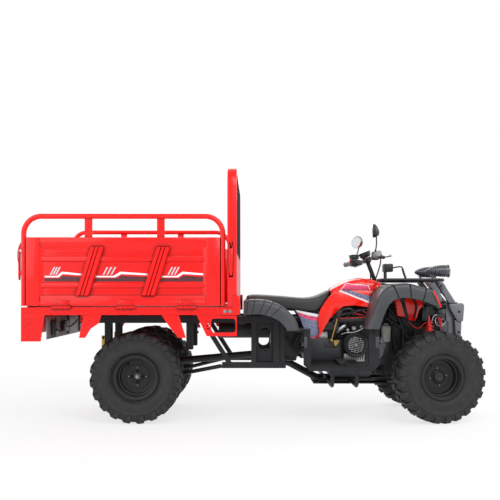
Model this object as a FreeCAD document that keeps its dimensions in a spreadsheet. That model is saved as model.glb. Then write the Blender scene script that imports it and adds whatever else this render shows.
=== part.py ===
"""A farm quad bike: a two-axle machine with a bench seat, handlebar steering, a
stretched rear frame on leaf springs and a pressed-steel cargo bed that tips.

The document keeps its driving dimensions in the sheet Sizes, in millimetres. X runs
forward, Y to the rider's left and Z up. The origin lies on the ground under the middle
of the machine. Each node is one object of the document whose Label names its file.
"""

import FreeCAD, Part

import math
import os

import Sketcher

Vector = FreeCAD.Vector
Rotation = FreeCAD.Rotation
Placement = FreeCAD.Placement

SIZES = {
    # running gear
    "wheelbase": 1900,
    "rear_axle_back": 754,
    "tyre_radius": 290,
    "front_track_half": 360,
    "rear_track_half": 335,
    "front_tyre_half_width": 90,
    "rear_tyre_half_width": 115,
    "front_rim_half_width": 75,
    "rear_rim_half_width": 90,
    "rim_flange_radius": 142,
    "rim_seat_radius": 127,
    "rim_well_radius": 113,
    "rim_wall": 4,
    "rim_disc_thick": 6,
    "front_disc_inset": 85,
    "rear_disc_inset": 90,
    "hub_radius": 34,
    "hub_nose": 24,
    "hub_tail": 30,
    "spindle_radius": 17.5,
    "spindle_reach": 8,
    "tyre_shoulder_drop": 14,
    "tyre_shoulder_in": 12,
    "sidewall_rise": 18,
    "lug_height": 16,
    "front_lug_drop": 0.5,
    "rear_lug_drop": 1.5,
    "front_lug_thick": 28,
    "rear_lug_thick": 24,
    "front_lug_count": 24,
    "rear_lug_count": 20,
    "front_lug_angle": 7,
    "rear_lug_angle": 20,
    "running_gap": 0.05,
    "seat_gap": 0.3,
    "hub_gap": 2,
    # steering
    "steer_rest_angle": 9,
    "kingpin_inset": 68,
    "kingpin_radius": 8,
    "kingpin_tip": 6,
    "knuckle_boss_radius": 19,
    "arm_eye_radius": 17,
    "arm_eye_height": 24,
    "ball_joint_rise": 52,
    "upper_joint_rise": 76,
    "steer_arm_length": 72,
    "steer_arm_thick": 10,
    "steer_arm_width": 26,
    "steer_arm_rise": 6,
    "tie_pin_radius": 6,
    "tie_pin_height": 24,
    "tie_eye_radius": 15,
    "tie_eye_height": 14,
    "tie_rod_radius": 8,
    "tie_eye_gap": 5,
    "tie_eye_play": 4,
    "stem_top_z": 1050,
    "stem_foot_x": 1021,
    "stem_rake_angle": 21,
    "stem_radius": 14,
    "stem_foot_z": 372,
    "pitman_thick": 8,
    "bar_half_width": 385,
    "bar_radius": 11,
    "bar_rise": 62,
    "bar_sweep": 40,
    # front suspension
    "front_frame_half": 80,
    "engine_frame_half": 118,
    "frame_tube_radius": 16,
    "arm_tube_radius": 11,
    "arm_bush_radius": 15,
    "arm_bush_half": 22,
    "lower_arm_spread": 112,
    "upper_arm_spread": 100,
    "shock_top_z": 672,
    "shock_top_y": 120,
    "shock_foot_y": 222,
    "shock_x": 1154,
    "tower_reach": 54,
    "tower_half": 20,
    "shock_seat_radius": 9,
    "shock_cap": 3,
    "shock_spring_radius": 27,
    "shock_body_radius": 18,
    "shock_coil_wire": 5,
    "shock_coil_count": 9,
    # frame
    "frame_rear_x": 153.3,
    "rail_lead": 60,
    "lower_rail_z": 238,
    "upper_rail_z": 728,
    "lower_rail_rear_z": 352,
    "upper_rail_rear_z": 656,
    "rail_outer_half": 278,
    "rail_wide": 30,
    "rail_bottom_z": 627,
    "rail_top_z": 672,
    "rail_tail_x": -1140,
    "rail_nose_x": 153,
    "lower_beam_bottom_z": 335,
    "lower_beam_top_z": 373,
    "lower_beam_tail_x": -219,
    "lower_beam_nose_x": 194,
    "column_one_x": -30,
    "column_one_wide": 34,
    "column_two_x": 111,
    "column_two_wide": 42,
    "column_three_x": 158,
    "column_three_wide": 27,
    "web_thick": 5,
    "web_hole_low_z": 445,
    "web_hole_high_z": 595,
    "brace_top_x": -352,
    "brace_foot_x": -192,
    "brace_wide": 34,
    # cargo bed
    "bed_tail_x": -1413,
    "bed_nose_x": -113,
    "bed_half_width": 600,
    "bed_floor_z": 690,
    "bed_skirt_height": 45,
    "bed_sheet": 3,
    "tread_sheet": 3,
    "tread_inset": 60,
    "bracket_lap": 20,
    "bed_pad_length": 60,
    "rear_pad_x": -830,
    "front_pad_x": -320,
    "bed_pivot_x": -1117,
    "bed_pivot_z": 650,
    "gate_bottom_z": 744,
    "gate_top_z": 1157,
    "gate_frame_thick": 26,
    "gate_sheet": 3,
    "gate_top_rail": 58,
    "gate_bottom_rail": 63,
    "gate_stile": 92,
    "hoop_radius": 15.5,
    "hoop_top_z": 1300,
    "hoop_tail_x": -1416,
    "hoop_nose_x": -185,
    "hoop_corner": 105,
    "headboard_post_x": -173,
    "headboard_post_wide": 57,
    "headboard_post_deep": 32,
    "headboard_top_z": 1592,
    "headboard_corner": 120,
    "headboard_sheet_top_z": 1060,
    "mesh_wire": 4,
    "mesh_half": 498,
    "mesh_column_count": 14,
    "mesh_row_count": 7,
    "hinge_drop": 9,
    # front frame stations
    "bay_rear_x": 428,
    "seat_front_x": 508,
    "waist_rear_x": 793,
    "waist_front_x": 913,
    "frame_nose_x": 1301,
    "frame_bend": 60,
    "brace_tube_radius": 12,
    "front_post_x": 1191,
    "mid_post_x": 1076,
    "bay_post_x": 478,
    # engine and exhaust
    "crankcase_tail_x": 488,
    "crankcase_nose_x": 774,
    "crankcase_bottom_z": 240,
    "crankcase_top_z": 505,
    "crankcase_round": 34,
    "fan_x": 660,
    "fan_z": 479,
    "fan_radius": 82,
    "fan_hub_radius": 26,
    "fan_out_y": 196,
    "fan_in_y": 110,
    "fan_groove": 6,
    "fan_groove_count": 3,
    "fan_spoke_count": 16,
    "barrel_side": 104,
    "barrel_height": 128,
    "barrel_x": 619,
    "barrel_fin": 5,
    "barrel_fin_pitch": 12,
    "barrel_fin_reach": 14,
    "barrel_fin_count": 10,
    "head_height": 58,
    "carb_radius": 27,
    "carb_length": 78,
    "carb_rise": 100,
    "carb_bowl": 44,
    "clutch_case_x": 612,
    "clutch_case_z": 372,
    "clutch_case_radius": 88,
    "clutch_case_reach": 30,
    "flange_wide": 56,
    "flange_high": 40,
    "flange_thick": 8,
    "muffler_radius": 50,
    "muffler_tail_x": -246,
    "muffler_nose_x": 89,
    "muffler_y": -128,
    "muffler_z": 572,
    "exhaust_radius": 16,
    # guards under and beside
    "skid_tail_x": 384,
    "skid_nose_x": 884,
    "skid_half": 142,
    "skid_thick": 4,
    "skid_lip": 8,
    "nerf_y": 430,
    "nerf_half": 14,
    "nerf_bottom_z": 334,
    "nerf_bar_high": 26,
    "nerf_rear_x": 298,
    "nerf_rear_wide": 41,
    "nerf_front_x": 769,
    "nerf_front_wide": 66,
    "nerf_chamfer": 38,
    "nerf_top_reach": 110,
    "nerf_strap": 6,
    "nerf_rear_top_z": 596,
    "nerf_front_top_z": 590,
    "stay_front_x": 631,
    "board_rear_x": 339,
    "board_front_x": 666,
    "board_inner": 165,
    "board_thick": 8,
    "heel_top_z": 524,
    # rear suspension and drive line
    "spring_half": 175,
    "spring_wide": 50,
    "spring_leaf": 8,
    "spring_leaf_count": 4,
    "spring_rear_x": -972,
    "spring_front_x": -436,
    "spring_eye_z": 470,
    "spring_seat_z": 395,
    "hanger_wide": 42,
    "hanger_thick": 6,
    "axle_tube_radius": 36,
    "diff_radius": 92,
    "diff_half": 82,
    "prop_radius": 24,
    "prop_climb": 103,
    "prop_rise": 55,
    "shaft_end_gap": 2.5,
    "rod_radius": 13,
    "rod_front_z": 348,
    "rod_rear_z": 240,
    "rod_half": 120,
    "rod_end_gap": 5,
    "frame_cross_wide": 40,
    # body
    "seat_tail_x": -71,
    "seat_nose_x": 496,
    "seat_half": 150,
    "seat_nose_top_z": 841,
    "body_nose_x": 861,
    "body_half": 150,
    "tank_top_z": 927,
    "side_cover_thick": 8,
    "fender_sheet": 5,
    "front_flare_x": 675,
    "front_flare_length": 472,
    "front_flare_bottom_z": 600,
    "front_flare_height": 286,
    "front_flare_y": 500,
    "rear_flare_x": -78,
    "rear_flare_length": 352,
    "rear_flare_bottom_z": 590,
    "rear_flare_height": 194,
    "rear_flare_y": 480,
    "cowl_tail_x": 917,
    "cowl_nose_x": 1109,
    "cowl_top_z": 850,
    "cowl_half": 158,
    "cowl_round": 14,
    "rack_tube_radius": 11,
    "rack_z": 905,
    "rack_tail_x": 811,
    "rack_nose_x": 1216,
    "rack_half": 300,
    "rack_bend": 60,
    "rack_leg_x": 1171,
    "rack_bar_tail_x": 876,
    "lamp_x": 1104,
    "lamp_nose_x": 1280,
    "lamp_y": 170,
    "lamp_z": 968,
    "lamp_radius": 41,
    "lamp_rib": 4,
    "bull_plate": 40,
    "bull_top_lead": 8,
    "bull_knee_x": 1334,
    "bull_knee_z": 760,
    "bull_block_x": 1256,
    "bull_block_nose_x": 1351,
    "bull_block_bottom_z": 633,
    "bull_block_top_z": 758,
    "bull_leg_x": 1289,
    "bull_leg_nose_x": 1343,
    "bull_leg_bottom_z": 517,
    "winch_z": 633,
    "winch_radius": 38,
    "winch_half": 90,
    "winch_drum_half": 38,
    "winch_flange": 6,
    "lever_x": 496,
    "lever_z": 511,
    "lever_top_x": 544,
    "lever_top_z": 684,
    "lever_radius": 5,
    "lever_knob_radius": 19,
    "lever_y": -215,
    "grip_radius": 17,
    "grip_length": 122,
    "mirror_stem_radius": 4,
    "mirror_half_width": 62,
    "mirror_half_height": 46,
    "mirror_deep": 24,
    "mirror_z": 1206,
    "mirror_y": 300,
    "gauge_radius": 42,
    "gauge_height": 38,
    # bed details
    "corner_plate_wide": 140,
    "corner_plate_foot": 119,
    "corner_plate_bottom_z": 530,
    "tail_panel_thick": 4,
    "tail_panel_bottom_z": 560,
    "rib_wide": 90,
    "rib_lean": 91,
    "rib_groove": 8,
    "rear_rib_x": -1091,
    "front_rib_x": -693,
    "ridge_low_z": 850,
    "ridge_high_z": 1008,
    "ridge_height": 38,
    "ridge_proud": 7,
    "rail_post_wide": 46,
    "rail_post_thick": 6,
    "rear_rail_post_x": -1033,
    "front_rail_post_x": -597,
    "gate_hinge_length": 90,
    "rear_hinge_x": -1216,
    "middle_hinge_x": -827,
    "front_hinge_x": -461,
    "hinge_radius": 8,
    "hinge_ear": 10,
    "hinge_pin_radius": 4,
    "tail_latch_x": -1453,
    "tail_latch_inset": 62,
    "latch_half": 10,
    "latch_low_z": 900,
    "latch_high_z": 1134,
    "tail_hinge_y": 380,
    "guard_rear_x": -1034,
    "guard_front_x": -583,
    "guard_wide": 111,
    "guard_foot_z": 552,
    "guard_thick": 5,
    "step_tail_x": -367,
    "step_nose_x": -116,
    "step_bottom_z": 562,
    "step_thick": 5,
    "step_window_tail_x": -270,
    "step_window_nose_x": -123,
    "step_window_low_z": 584,
    "step_window_top_z": 668,
    "step_window_round": 18,
    "step_slot": 9,
}

doc = FreeCAD.newDocument("QuadBike")
sheet = doc.addObject("Spreadsheet::Sheet", "Sizes")


class Size:
    """A cell of the sheet, or a sum of cells, kept as a number and as an expression."""

    def __init__(self, value, text):
        self.value = float(value)
        self.text = text

    def _join(self, other, sign, flip=False):
        left, right = (as_size(other), self) if flip else (self, as_size(other))
        results = {
            "+": left.value + right.value,
            "-": left.value - right.value,
            "*": left.value * right.value,
            "/": left.value / (right.value or 1),
        }
        return Size(results[sign], f"({left.text} {sign} {right.text})")

    def __add__(self, other):
        return self._join(other, "+")

    def __radd__(self, other):
        return self._join(other, "+", True)

    def __sub__(self, other):
        return self._join(other, "-")

    def __rsub__(self, other):
        return self._join(other, "-", True)

    def __mul__(self, other):
        return self._join(other, "*")

    def __rmul__(self, other):
        return self._join(other, "*", True)

    def __truediv__(self, other):
        return self._join(other, "/")

    def __neg__(self):
        return Size(-self.value, f"(0 - {self.text})")

    def __float__(self):
        return self.value


def as_size(thing):
    """A Size as it is, or a plain number (a zero, a share or a count) as one."""
    return thing if isinstance(thing, Size) else Size(thing, f"{float(thing):g}")


class Cells:
    """Reads the sheet's aliases as Size objects, such as cell.wheelbase."""

    def __getattr__(self, name):
        return Size(SIZES[name], f"Sizes.{name}")


cell = Cells()

for row, (alias, number) in enumerate(SIZES.items(), 1):
    sheet.set(f"A{row}", alias)
    sheet.set(f"B{row}", str(number))
    sheet.setAlias(f"B{row}", alias)
doc.recompute()

gap = cell.seat_gap
kingpin_y = cell.front_track_half - cell.kingpin_inset
bull_top_x = cell.rack_nose_x + cell.bull_top_lead
tube_r = cell.frame_tube_radius
rail_crown_z = cell.upper_rail_z + tube_r + gap
side_cover_y = cell.body_half + gap
crank_half = cell.engine_frame_half - tube_r - gap
seat_base_z = cell.upper_rail_rear_z + tube_r + gap
gate_tail_x = cell.hoop_tail_x + cell.hoop_radius * 2 + gap
gate_nose_x = cell.hoop_nose_x - cell.hoop_radius * 2 - gap
shock_seat_z = cell.tyre_radius - cell.ball_joint_rise
shock_foot_z = shock_seat_z + cell.shock_seat_radius + cell.shock_cap

XZ, YZ, XY = "XZ_Plane", "YZ_Plane", "XY_Plane"
AXES = {"X": Vector(1, 0, 0), "Y": Vector(0, 1, 0), "Z": Vector(0, 0, 1)}
TURNS = {
    "X": Rotation(AXES["Y"], 90),
    "Y": Rotation(AXES["X"], -90),
    "Z": Rotation(),
}
nodes = []


def tie(thing, **sizes):
    """Binds properties of an object to Sizes; at=(x, y, z) binds its place."""
    for name, amount in sizes.items():
        if name == "at":
            for axis, value in zip("xyz", amount):
                thing.setExpression(f"Placement.Base.{axis}", as_size(value).text)
        else:
            thing.setExpression(name, as_size(amount).text)
    return thing


def turn(thing, rotation):
    """Turns an object about its own origin."""
    thing.Placement = Placement(thing.Placement.Base, rotation)
    return thing


def box(name, low, span):
    """A rectangular block from its low corner and its three sides."""
    block = doc.addObject("Part::Box", name)
    return tie(block, Length=span[0], Width=span[1], Height=span[2], at=low)


def rod(name, axis, start, radius, length):
    """A round bar along an axis of the frame, from its start."""
    bar = doc.addObject("Part::Cylinder", name)
    turn(bar, TURNS[axis])
    return tie(bar, Radius=radius, Height=length, at=start)


def fuse(name, *pieces):
    """One solid from pieces that meet."""
    joined = doc.addObject("Part::MultiFuse", name)
    joined.Shapes = list(pieces)
    joined.Refine = True
    return joined


def cut(name, base, *tools):
    """The base less its tools."""
    tool = tools[0] if len(tools) == 1 else group(name + "Tools", *tools)
    less = doc.addObject("Part::Cut", name)
    less.Base = base
    less.Tool = tool
    less.Refine = True
    return less


def group(name, *pieces):
    """Solids that stand apart, kept as one object."""
    held = doc.addObject("Part::Compound", name)
    held.Links = list(pieces)
    return held


def mirror(name, piece):
    """The same piece on the machine's other side."""
    twin = doc.addObject("Part::Mirroring", name)
    twin.Source = piece
    twin.Normal = AXES["Y"]
    return twin


def both(name, piece):
    """A piece and its mirror image as two solids of one object."""
    return group(name, piece, mirror(name + "Twin", piece))


def profile(body, plane, points):
    """A closed outline of straight sides, every corner held by the sheet."""
    sketch = body.newObject("Sketcher::SketchObject", body.Name + "Outline")
    origin = [f for f in body.Origin.OriginFeatures if f.Role == plane][0]
    sketch.AttachmentSupport = [(origin, "")]
    sketch.MapMode = "FlatFace"
    corners = [(as_size(a), as_size(b)) for a, b in points]
    count = len(corners)
    for i, (a, b) in enumerate(corners):
        c, d = corners[(i + 1) % count]
        start, end = Vector(a.value, b.value, 0), Vector(c.value, d.value, 0)
        sketch.addGeometry(Part.LineSegment(start, end), False)
    for i in range(count):
        sketch.addConstraint(Sketcher.Constraint("Coincident", i, 2, (i + 1) % count, 1))
    for i, (a, b) in enumerate(corners):
        for kind, amount in (("DistanceX", a), ("DistanceY", b)):
            held = Sketcher.Constraint(kind, -1, 1, i, 1, amount.value)
            number = sketch.addConstraint(held)
            sketch.setExpression(f"Constraints[{number}]", amount.text)
    return sketch


def plate(name, plane, points, start, thick, rounding=None):
    """An outline given thickness from start along the plane's positive normal."""
    body = doc.addObject("PartDesign::Body", name)
    pad = body.newObject("PartDesign::Pad", name + "Pad")
    pad.Profile = profile(body, plane, points)
    pad.setExpression("Length", as_size(thick).text)
    pad.Reversed = plane == XZ
    if rounding is not None:
        doc.recompute()
        along = {XZ: "Y", YZ: "X", XY: "Z"}[plane]
        names = [
            f"Edge{i}"
            for i, edge in enumerate(pad.Shape.Edges, 1)
            if abs(abs(edge.tangentAt(edge.FirstParameter).dot(AXES[along])) - 1) < 1e-6
        ]
        fillet = body.newObject("PartDesign::Fillet", name + "Fillet")
        fillet.Base = (pad, names)
        fillet.setExpression("Radius", as_size(rounding).text)
    axis = {XZ: 1, YZ: 0, XY: 2}[plane]
    place = [0, 0, 0]
    place[axis] = start
    return tie(body, at=place)


def turned(name, points, centre):
    """A profile of (along, radius) points turned a full circle about a line along Y."""
    body = doc.addObject("PartDesign::Body", name)
    sketch = profile(body, YZ, points)
    spin = body.newObject("PartDesign::Revolution", name + "Turned")
    spin.Profile = sketch
    spin.ReferenceAxis = (sketch, ["H_Axis"])
    spin.Angle = 360
    return tie(body, at=centre)


def point(x, y, z):
    """A Vector from Sizes or numbers."""
    return Vector(float(x), float(y), float(z))


def route(points, bend):
    """A wire of straight runs joined by tangent arcs of one bend radius."""
    edges = []
    last = points[0]
    for before, corner, after in zip(points, points[1:], points[2:]):
        back, on = (before - corner).normalize(), (after - corner).normalize()
        half = back.getAngle(on) / 2
        reach = bend / math.tan(half)
        first, end = corner + back * reach, corner + on * reach
        middle = (back + on).normalize()
        crown = corner + middle * (bend / math.sin(half) - bend)
        edges.append(Part.LineSegment(last, first).toShape())
        edges.append(Part.Arc(first, crown, end).toShape())
        last = end
    edges.append(Part.LineSegment(last, points[-1]).toShape())
    return Part.Wire(edges)


def tube(name, points, radius, bend=0):
    """A round tube along straight runs with tangent bends."""
    spine = route([point(*p) for p in points], float(bend))
    along = (point(*points[1]) - point(*points[0])).normalize()
    ring = Part.Wire(Part.makeCircle(float(radius), point(*points[0]), along))
    thing = doc.addObject("Part::Feature", name)
    thing.Shape = spine.makePipeShell([ring], True, False)
    return thing


def keep(label, thing):
    """Names an object as one of the machine's pieces."""
    thing.Label = label
    nodes.append(thing)
    return thing


def sheet_shape(name, shape):
    """An object whose shape is worked out from the sheet by Part's own functions."""
    thing = doc.addObject("Part::Feature", name)
    thing.Shape = shape
    return thing


# Wheels


def tyre_profile(half_width, rim_half):
    """Half section of a low-pressure tyre, mirrored about its middle plane."""
    bead = rim_half - cell.rim_wall - cell.seat_gap
    side = [
        (bead, cell.rim_seat_radius + cell.seat_gap),
        (bead, cell.rim_flange_radius + cell.rim_wall),
        (half_width * 0.97, cell.rim_flange_radius + cell.sidewall_rise),
        (half_width, cell.tyre_radius * 0.75),
        (half_width - cell.tyre_shoulder_in / 3, cell.tyre_radius * 0.88),
        (half_width - cell.tyre_shoulder_in,
         cell.tyre_radius - cell.tyre_shoulder_drop - cell.lug_height),
        (half_width - cell.tyre_shoulder_in * 2.4, cell.tyre_radius - cell.lug_height),
    ]
    return side + [(-along, radius) for along, radius in reversed(side)]


def lug_profile(half_width, crown_drop, tip_share):
    """Section across one lug, from the sidewall over the shoulder to its tip."""
    top, shoulder = cell.tyre_radius - crown_drop, cell.tyre_shoulder_in
    foot = cell.tyre_radius - cell.lug_height
    tip = half_width * tip_share
    return [
        (half_width - shoulder, foot - shoulder * 2.6),
        (half_width - shoulder / 5, foot - shoulder * 2),
        (half_width - shoulder / 4, foot - shoulder),
        (half_width - shoulder, top - shoulder / 2),
        (half_width - shoulder * 2.4, top),
        (tip, top),
        (tip, foot - shoulder / 2),
        (half_width / 2, foot - shoulder * 1.5),
    ]


def ring_of(shape, count, share=0):
    """Copies of a shape spaced evenly round the Y axis, set on by a share of a pitch."""
    copies = []
    for number in range(count):
        copy = shape.copy()
        copy.rotate(Vector(), AXES["Y"], (number + share) * 360 / count)
        copies.append(copy)
    return copies


def lugged(carcass, lug, count, lean, centre):
    """A tyre with a ring of lugs on each shoulder, one ring half a pitch behind."""
    doc.recompute()
    block = lug.Shape.copy()
    block.rotate(block.CenterOfMass, AXES["Z"], lean)
    other = block.mirror(Vector(), AXES["Y"])
    lugs = ring_of(block, count) + ring_of(other, count, 0.5)
    for one in lugs:
        one.translate(point(*centre))
    return sheet_shape(carcass.Name + "Lugged", carcass.Shape.fuse(lugs))


def rim_profile(half, inset):
    """Section of a pressed wheel: barrel, deep disc and hub with a blind bore."""
    wall, well = cell.rim_wall, half / 3
    face = half - inset + cell.rim_disc_thick / 2
    back = face - cell.rim_disc_thick
    bore = cell.spindle_radius + cell.running_gap
    end = face + cell.spindle_reach
    return [
        (-half, cell.rim_flange_radius),
        (wall - half, cell.rim_flange_radius),
        (wall - half, cell.rim_seat_radius),
        (-well - wall, cell.rim_seat_radius),
        (-well, cell.rim_well_radius),
        (well, cell.rim_well_radius),
        (well + wall, cell.rim_seat_radius),
        (half - wall, cell.rim_seat_radius),
        (half - wall, cell.rim_flange_radius),
        (half, cell.rim_flange_radius),
        (half, cell.rim_seat_radius - wall),
        (well + wall * 2, cell.rim_seat_radius - wall),
        (well + wall, cell.rim_well_radius - wall),
        (face, cell.rim_well_radius - wall),
        (face, cell.hub_radius),
        (face + cell.hub_nose, cell.hub_radius),
        (face + cell.hub_nose, 0),
        (end, 0),
        (end, bore),
        (back - cell.hub_tail, bore),
        (back - cell.hub_tail, cell.hub_radius),
        (back, cell.hub_radius),
        (back, cell.rim_well_radius - wall),
        (-well - wall, cell.rim_well_radius - wall),
        (-well - wall * 2, cell.rim_seat_radius - wall),
        (-half, cell.rim_seat_radius - wall),
    ]


rear_x = -cell.rear_axle_back
front_x = cell.wheelbase - cell.rear_axle_back
hub_z = cell.tyre_radius
steer = float(cell.steer_rest_angle)


TREADS = {
    "front": (cell.front_lug_thick, cell.front_lug_drop, cell.front_lug_count,
              cell.front_lug_angle, 0.38),
    "rear": (cell.rear_lug_thick, cell.rear_lug_drop, cell.rear_lug_count,
             cell.rear_lug_angle, 0.12),
}


def steered(thing, side):
    """Turns a piece of one front corner about its kingpin to the rest angle."""
    pivot = point(front_x, side * kingpin_y, 0)
    place = thing.Placement
    swing = Placement(Vector(), Rotation(AXES["Z"], steer), pivot)
    shape = thing.Shape.copy()
    shape.Placement = swing.multiply(place)
    held = doc.addObject("Part::Feature", thing.Name + "Steered")
    held.Shape = shape
    return held


def wheel(end, side, label, track, half_tyre, half_rim, inset):
    """One tyre and its rim, the disc's dish facing outwards."""
    x = front_x if end == "front" else rear_x
    centre = (x, side * track, hub_z)
    name = f"Tyre{end}{label}".title()
    tyre = turned(name, tyre_profile(half_tyre, half_rim), centre)
    thick, drop, count, lean, tip_share = TREADS[end]
    lug = plate(name + "Lug", YZ, lug_profile(half_tyre, drop, tip_share), thick / -2, thick)
    tyre = lugged(tyre, lug, int(float(count)), float(lean), centre)
    section = [(side * along, radius) for along, radius in rim_profile(half_rim, inset)]
    rim = turned(f"Rim{end}{label}".title(), section, centre)
    doc.recompute()
    if end == "front":
        tyre, rim = steered(tyre, side), steered(rim, side)
    keep(f"tyre_{end}_{label}", tyre)
    keep(f"rim_{end}_{label}", rim)


SIDES = (("left", 1), ("right", -1))
for label, side in SIDES:
    wheel("front", side, label, cell.front_track_half, cell.front_tyre_half_width,
          cell.front_rim_half_width, cell.front_disc_inset)
    wheel("rear", side, label, cell.rear_track_half, cell.rear_tyre_half_width,
          cell.rear_rim_half_width, cell.rear_disc_inset)


def inner_hub(track, half, inset):
    """Distance from the middle plane to the inner end of a wheel's hub."""
    return track + half - inset - cell.rim_disc_thick / 2 - cell.hub_tail


# Front corners: knuckle with its kingpin, spindle and steering arm


def knuckle(label, side):
    """A steering knuckle, made in the straight-ahead place and then steered."""
    y = side * kingpin_y
    inner = inner_hub(cell.front_track_half, cell.front_rim_half_width, cell.front_disc_inset)
    tip = inner + cell.hub_tail + cell.rim_disc_thick + cell.spindle_reach - cell.hub_gap
    beyond = cell.arm_eye_height / 2 + cell.kingpin_tip
    post = rod("Kingpin" + label, "Z", (front_x, y, hub_z - cell.ball_joint_rise - beyond),
               cell.kingpin_radius, cell.ball_joint_rise + cell.upper_joint_rise + beyond * 2)
    boss_half = cell.ball_joint_rise - cell.arm_eye_height / 2 - cell.hub_gap
    boss = rod("KnuckleBoss" + label, "Z", (front_x, y, hub_z - boss_half),
               cell.knuckle_boss_radius, boss_half * 2)
    length = tip - kingpin_y
    start = y if side > 0 else y - length
    spindle = rod("Spindle" + label, "Y", (front_x, start, hub_z), cell.spindle_radius, length)
    collar_end = inner - cell.hub_gap - kingpin_y
    collar = rod("SpindleCollar" + label, "Y",
                 (front_x, y if side > 0 else y - collar_end, hub_z),
                 cell.knuckle_boss_radius * 1.2, collar_end)
    arm_z = hub_z + cell.steer_arm_rise
    arm = box("SteerArm" + label,
              (front_x - cell.steer_arm_length, y - cell.steer_arm_width / 2, arm_z),
              (cell.steer_arm_length, cell.steer_arm_width, cell.steer_arm_thick))
    eye = rod("SteerArmEnd" + label, "Z", (front_x - cell.steer_arm_length, y, arm_z),
              cell.steer_arm_width / 2, cell.steer_arm_thick)
    pin = rod("TiePin" + label, "Z", (front_x - cell.steer_arm_length, y, arm_z),
              cell.tie_pin_radius, cell.steer_arm_thick + cell.tie_pin_height)
    whole = fuse("Knuckle" + label, post, boss, spindle, collar, arm, eye, pin)
    doc.recompute()
    return keep("knuckle_" + label, steered(whole, side))


for label, side in SIDES:
    knuckle(label, side)

# Front suspension arms and struts

bush_y = cell.front_frame_half + cell.frame_tube_radius + cell.arm_bush_radius + cell.seat_gap


def swing_arm(name, rise, spread):
    """A V-shaped arm from two frame bushes to the eye round the kingpin."""
    z = hub_z + rise
    eye_low = z - cell.arm_eye_height / 2
    eye = rod(name + "Eye", "Z", (front_x, kingpin_y, eye_low),
              cell.arm_eye_radius, cell.arm_eye_height)
    hole = rod(name + "Hole", "Z", (front_x, kingpin_y, eye_low),
               cell.kingpin_radius + cell.running_gap, cell.arm_eye_height)
    parts = [eye]
    for number, way in enumerate((1, -1)):
        x = front_x + way * spread
        parts.append(tube(f"{name}Leg{number}",
                          [(x, bush_y, z), (front_x, kingpin_y, z)],
                          cell.arm_tube_radius))
        parts.append(rod(f"{name}Bush{number}", "X", (x - cell.arm_bush_half, bush_y, z),
                         cell.arm_bush_radius, cell.arm_bush_half * 2))
    return cut(name, fuse(name + "Body", *parts), hole)


lower_arm = swing_arm("LowerArmLegs", -cell.ball_joint_rise, cell.lower_arm_spread)
leg_share = ((kingpin_y - cell.shock_foot_y)
             / (kingpin_y - bush_y))
seat_reach = cell.lower_arm_spread * leg_share
lower_arm = fuse("LowerArm", lower_arm,
                 rod("ShockSeat", "X", (front_x - seat_reach, cell.shock_foot_y, shock_seat_z),
                     cell.shock_seat_radius, seat_reach * 2))
upper_arm = swing_arm("UpperArm", cell.upper_joint_rise, cell.upper_arm_spread)
front_arms = keep("front_arms", group("FrontArms", lower_arm, upper_arm,
                                      mirror("LowerArmTwin", lower_arm),
                                      mirror("UpperArmTwin", upper_arm)))


def strut(name, top, foot, body_radius, spring_radius):
    """A damper with the turns of its coil spring between two seats, turned in one."""
    top, foot = point(*top), point(*foot)
    line = foot - top
    length, wire = line.Length, float(cell.shock_coil_wire)
    stem, body, coil = float(body_radius) * 0.6, float(body_radius), float(spring_radius)
    upper, lower = length * 0.12, length * 0.72
    turns = int(float(cell.shock_coil_count))
    pitch = (lower - upper) / (turns + 1)
    section = [(0, 0), (0, stem), (upper, stem), (upper, coil), (upper + wire, coil),
               (upper + wire, body)]
    for number in range(1, turns + 1):
        middle = upper + pitch * number
        section += [(middle - wire, body), (middle - wire / 2, coil),
                    (middle + wire / 2, coil), (middle + wire, body)]
    section += [(lower - wire, body), (lower - wire, coil), (lower, coil), (lower, stem),
                (length, stem), (length, 0)]
    outline = Part.makePolygon([Vector(radius, 0, along) for along, radius in section], True)
    shape = Part.Face(outline).revolve(Vector(), AXES["Z"], 360)
    shape.Placement = Placement(top, Rotation(AXES["Z"], line))
    return sheet_shape(name, shape)


shock = strut("FrontShock",
              (cell.shock_x, cell.shock_top_y, cell.shock_top_z),
              (cell.shock_x, cell.shock_foot_y, shock_foot_z),
              cell.shock_body_radius, cell.shock_spring_radius)
front_shocks = keep("front_shocks", both("FrontShocks", shock))

# Front frame: rails from tube and the braces between them

bend = cell.frame_bend
low_rail = tube("LowRail", [
    (cell.frame_rear_x, cell.engine_frame_half, cell.lower_rail_rear_z),
    (cell.frame_rear_x + cell.rail_lead, cell.engine_frame_half, cell.lower_rail_rear_z),
    (cell.bay_rear_x, cell.engine_frame_half, cell.lower_rail_z),
    (cell.waist_rear_x, cell.engine_frame_half, cell.lower_rail_z),
    (cell.waist_front_x, cell.front_frame_half, cell.lower_rail_z),
    (cell.frame_nose_x, cell.front_frame_half, cell.lower_rail_z),
], tube_r, bend)
high_rail = tube("HighRail", [
    (cell.frame_rear_x, cell.engine_frame_half, cell.upper_rail_rear_z),
    (cell.seat_front_x, cell.engine_frame_half, cell.upper_rail_rear_z),
    (cell.waist_rear_x, cell.engine_frame_half, cell.upper_rail_z),
    (cell.waist_front_x, cell.front_frame_half, cell.upper_rail_z),
    (cell.frame_nose_x, cell.front_frame_half, cell.upper_rail_z),
], tube_r, bend)
frame_rails = keep("frame_rails", group("FrameRails", low_rail, high_rail,
                                        mirror("LowRailTwin", low_rail),
                                        mirror("HighRailTwin", high_rail)))

brace_r = cell.brace_tube_radius


def post(name, x, half):
    """An upright between the lower and the upper rail."""
    low = cell.lower_rail_z + tube_r
    return rod(name, "Z", (x, half, low), brace_r, cell.upper_rail_z - tube_r - low)


def cross(name, x, half, z):
    """A cross tube between the two sides' rails."""
    inner = half - tube_r
    return rod(name, "Y", (x, -inner, z), brace_r, inner * 2)


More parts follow.
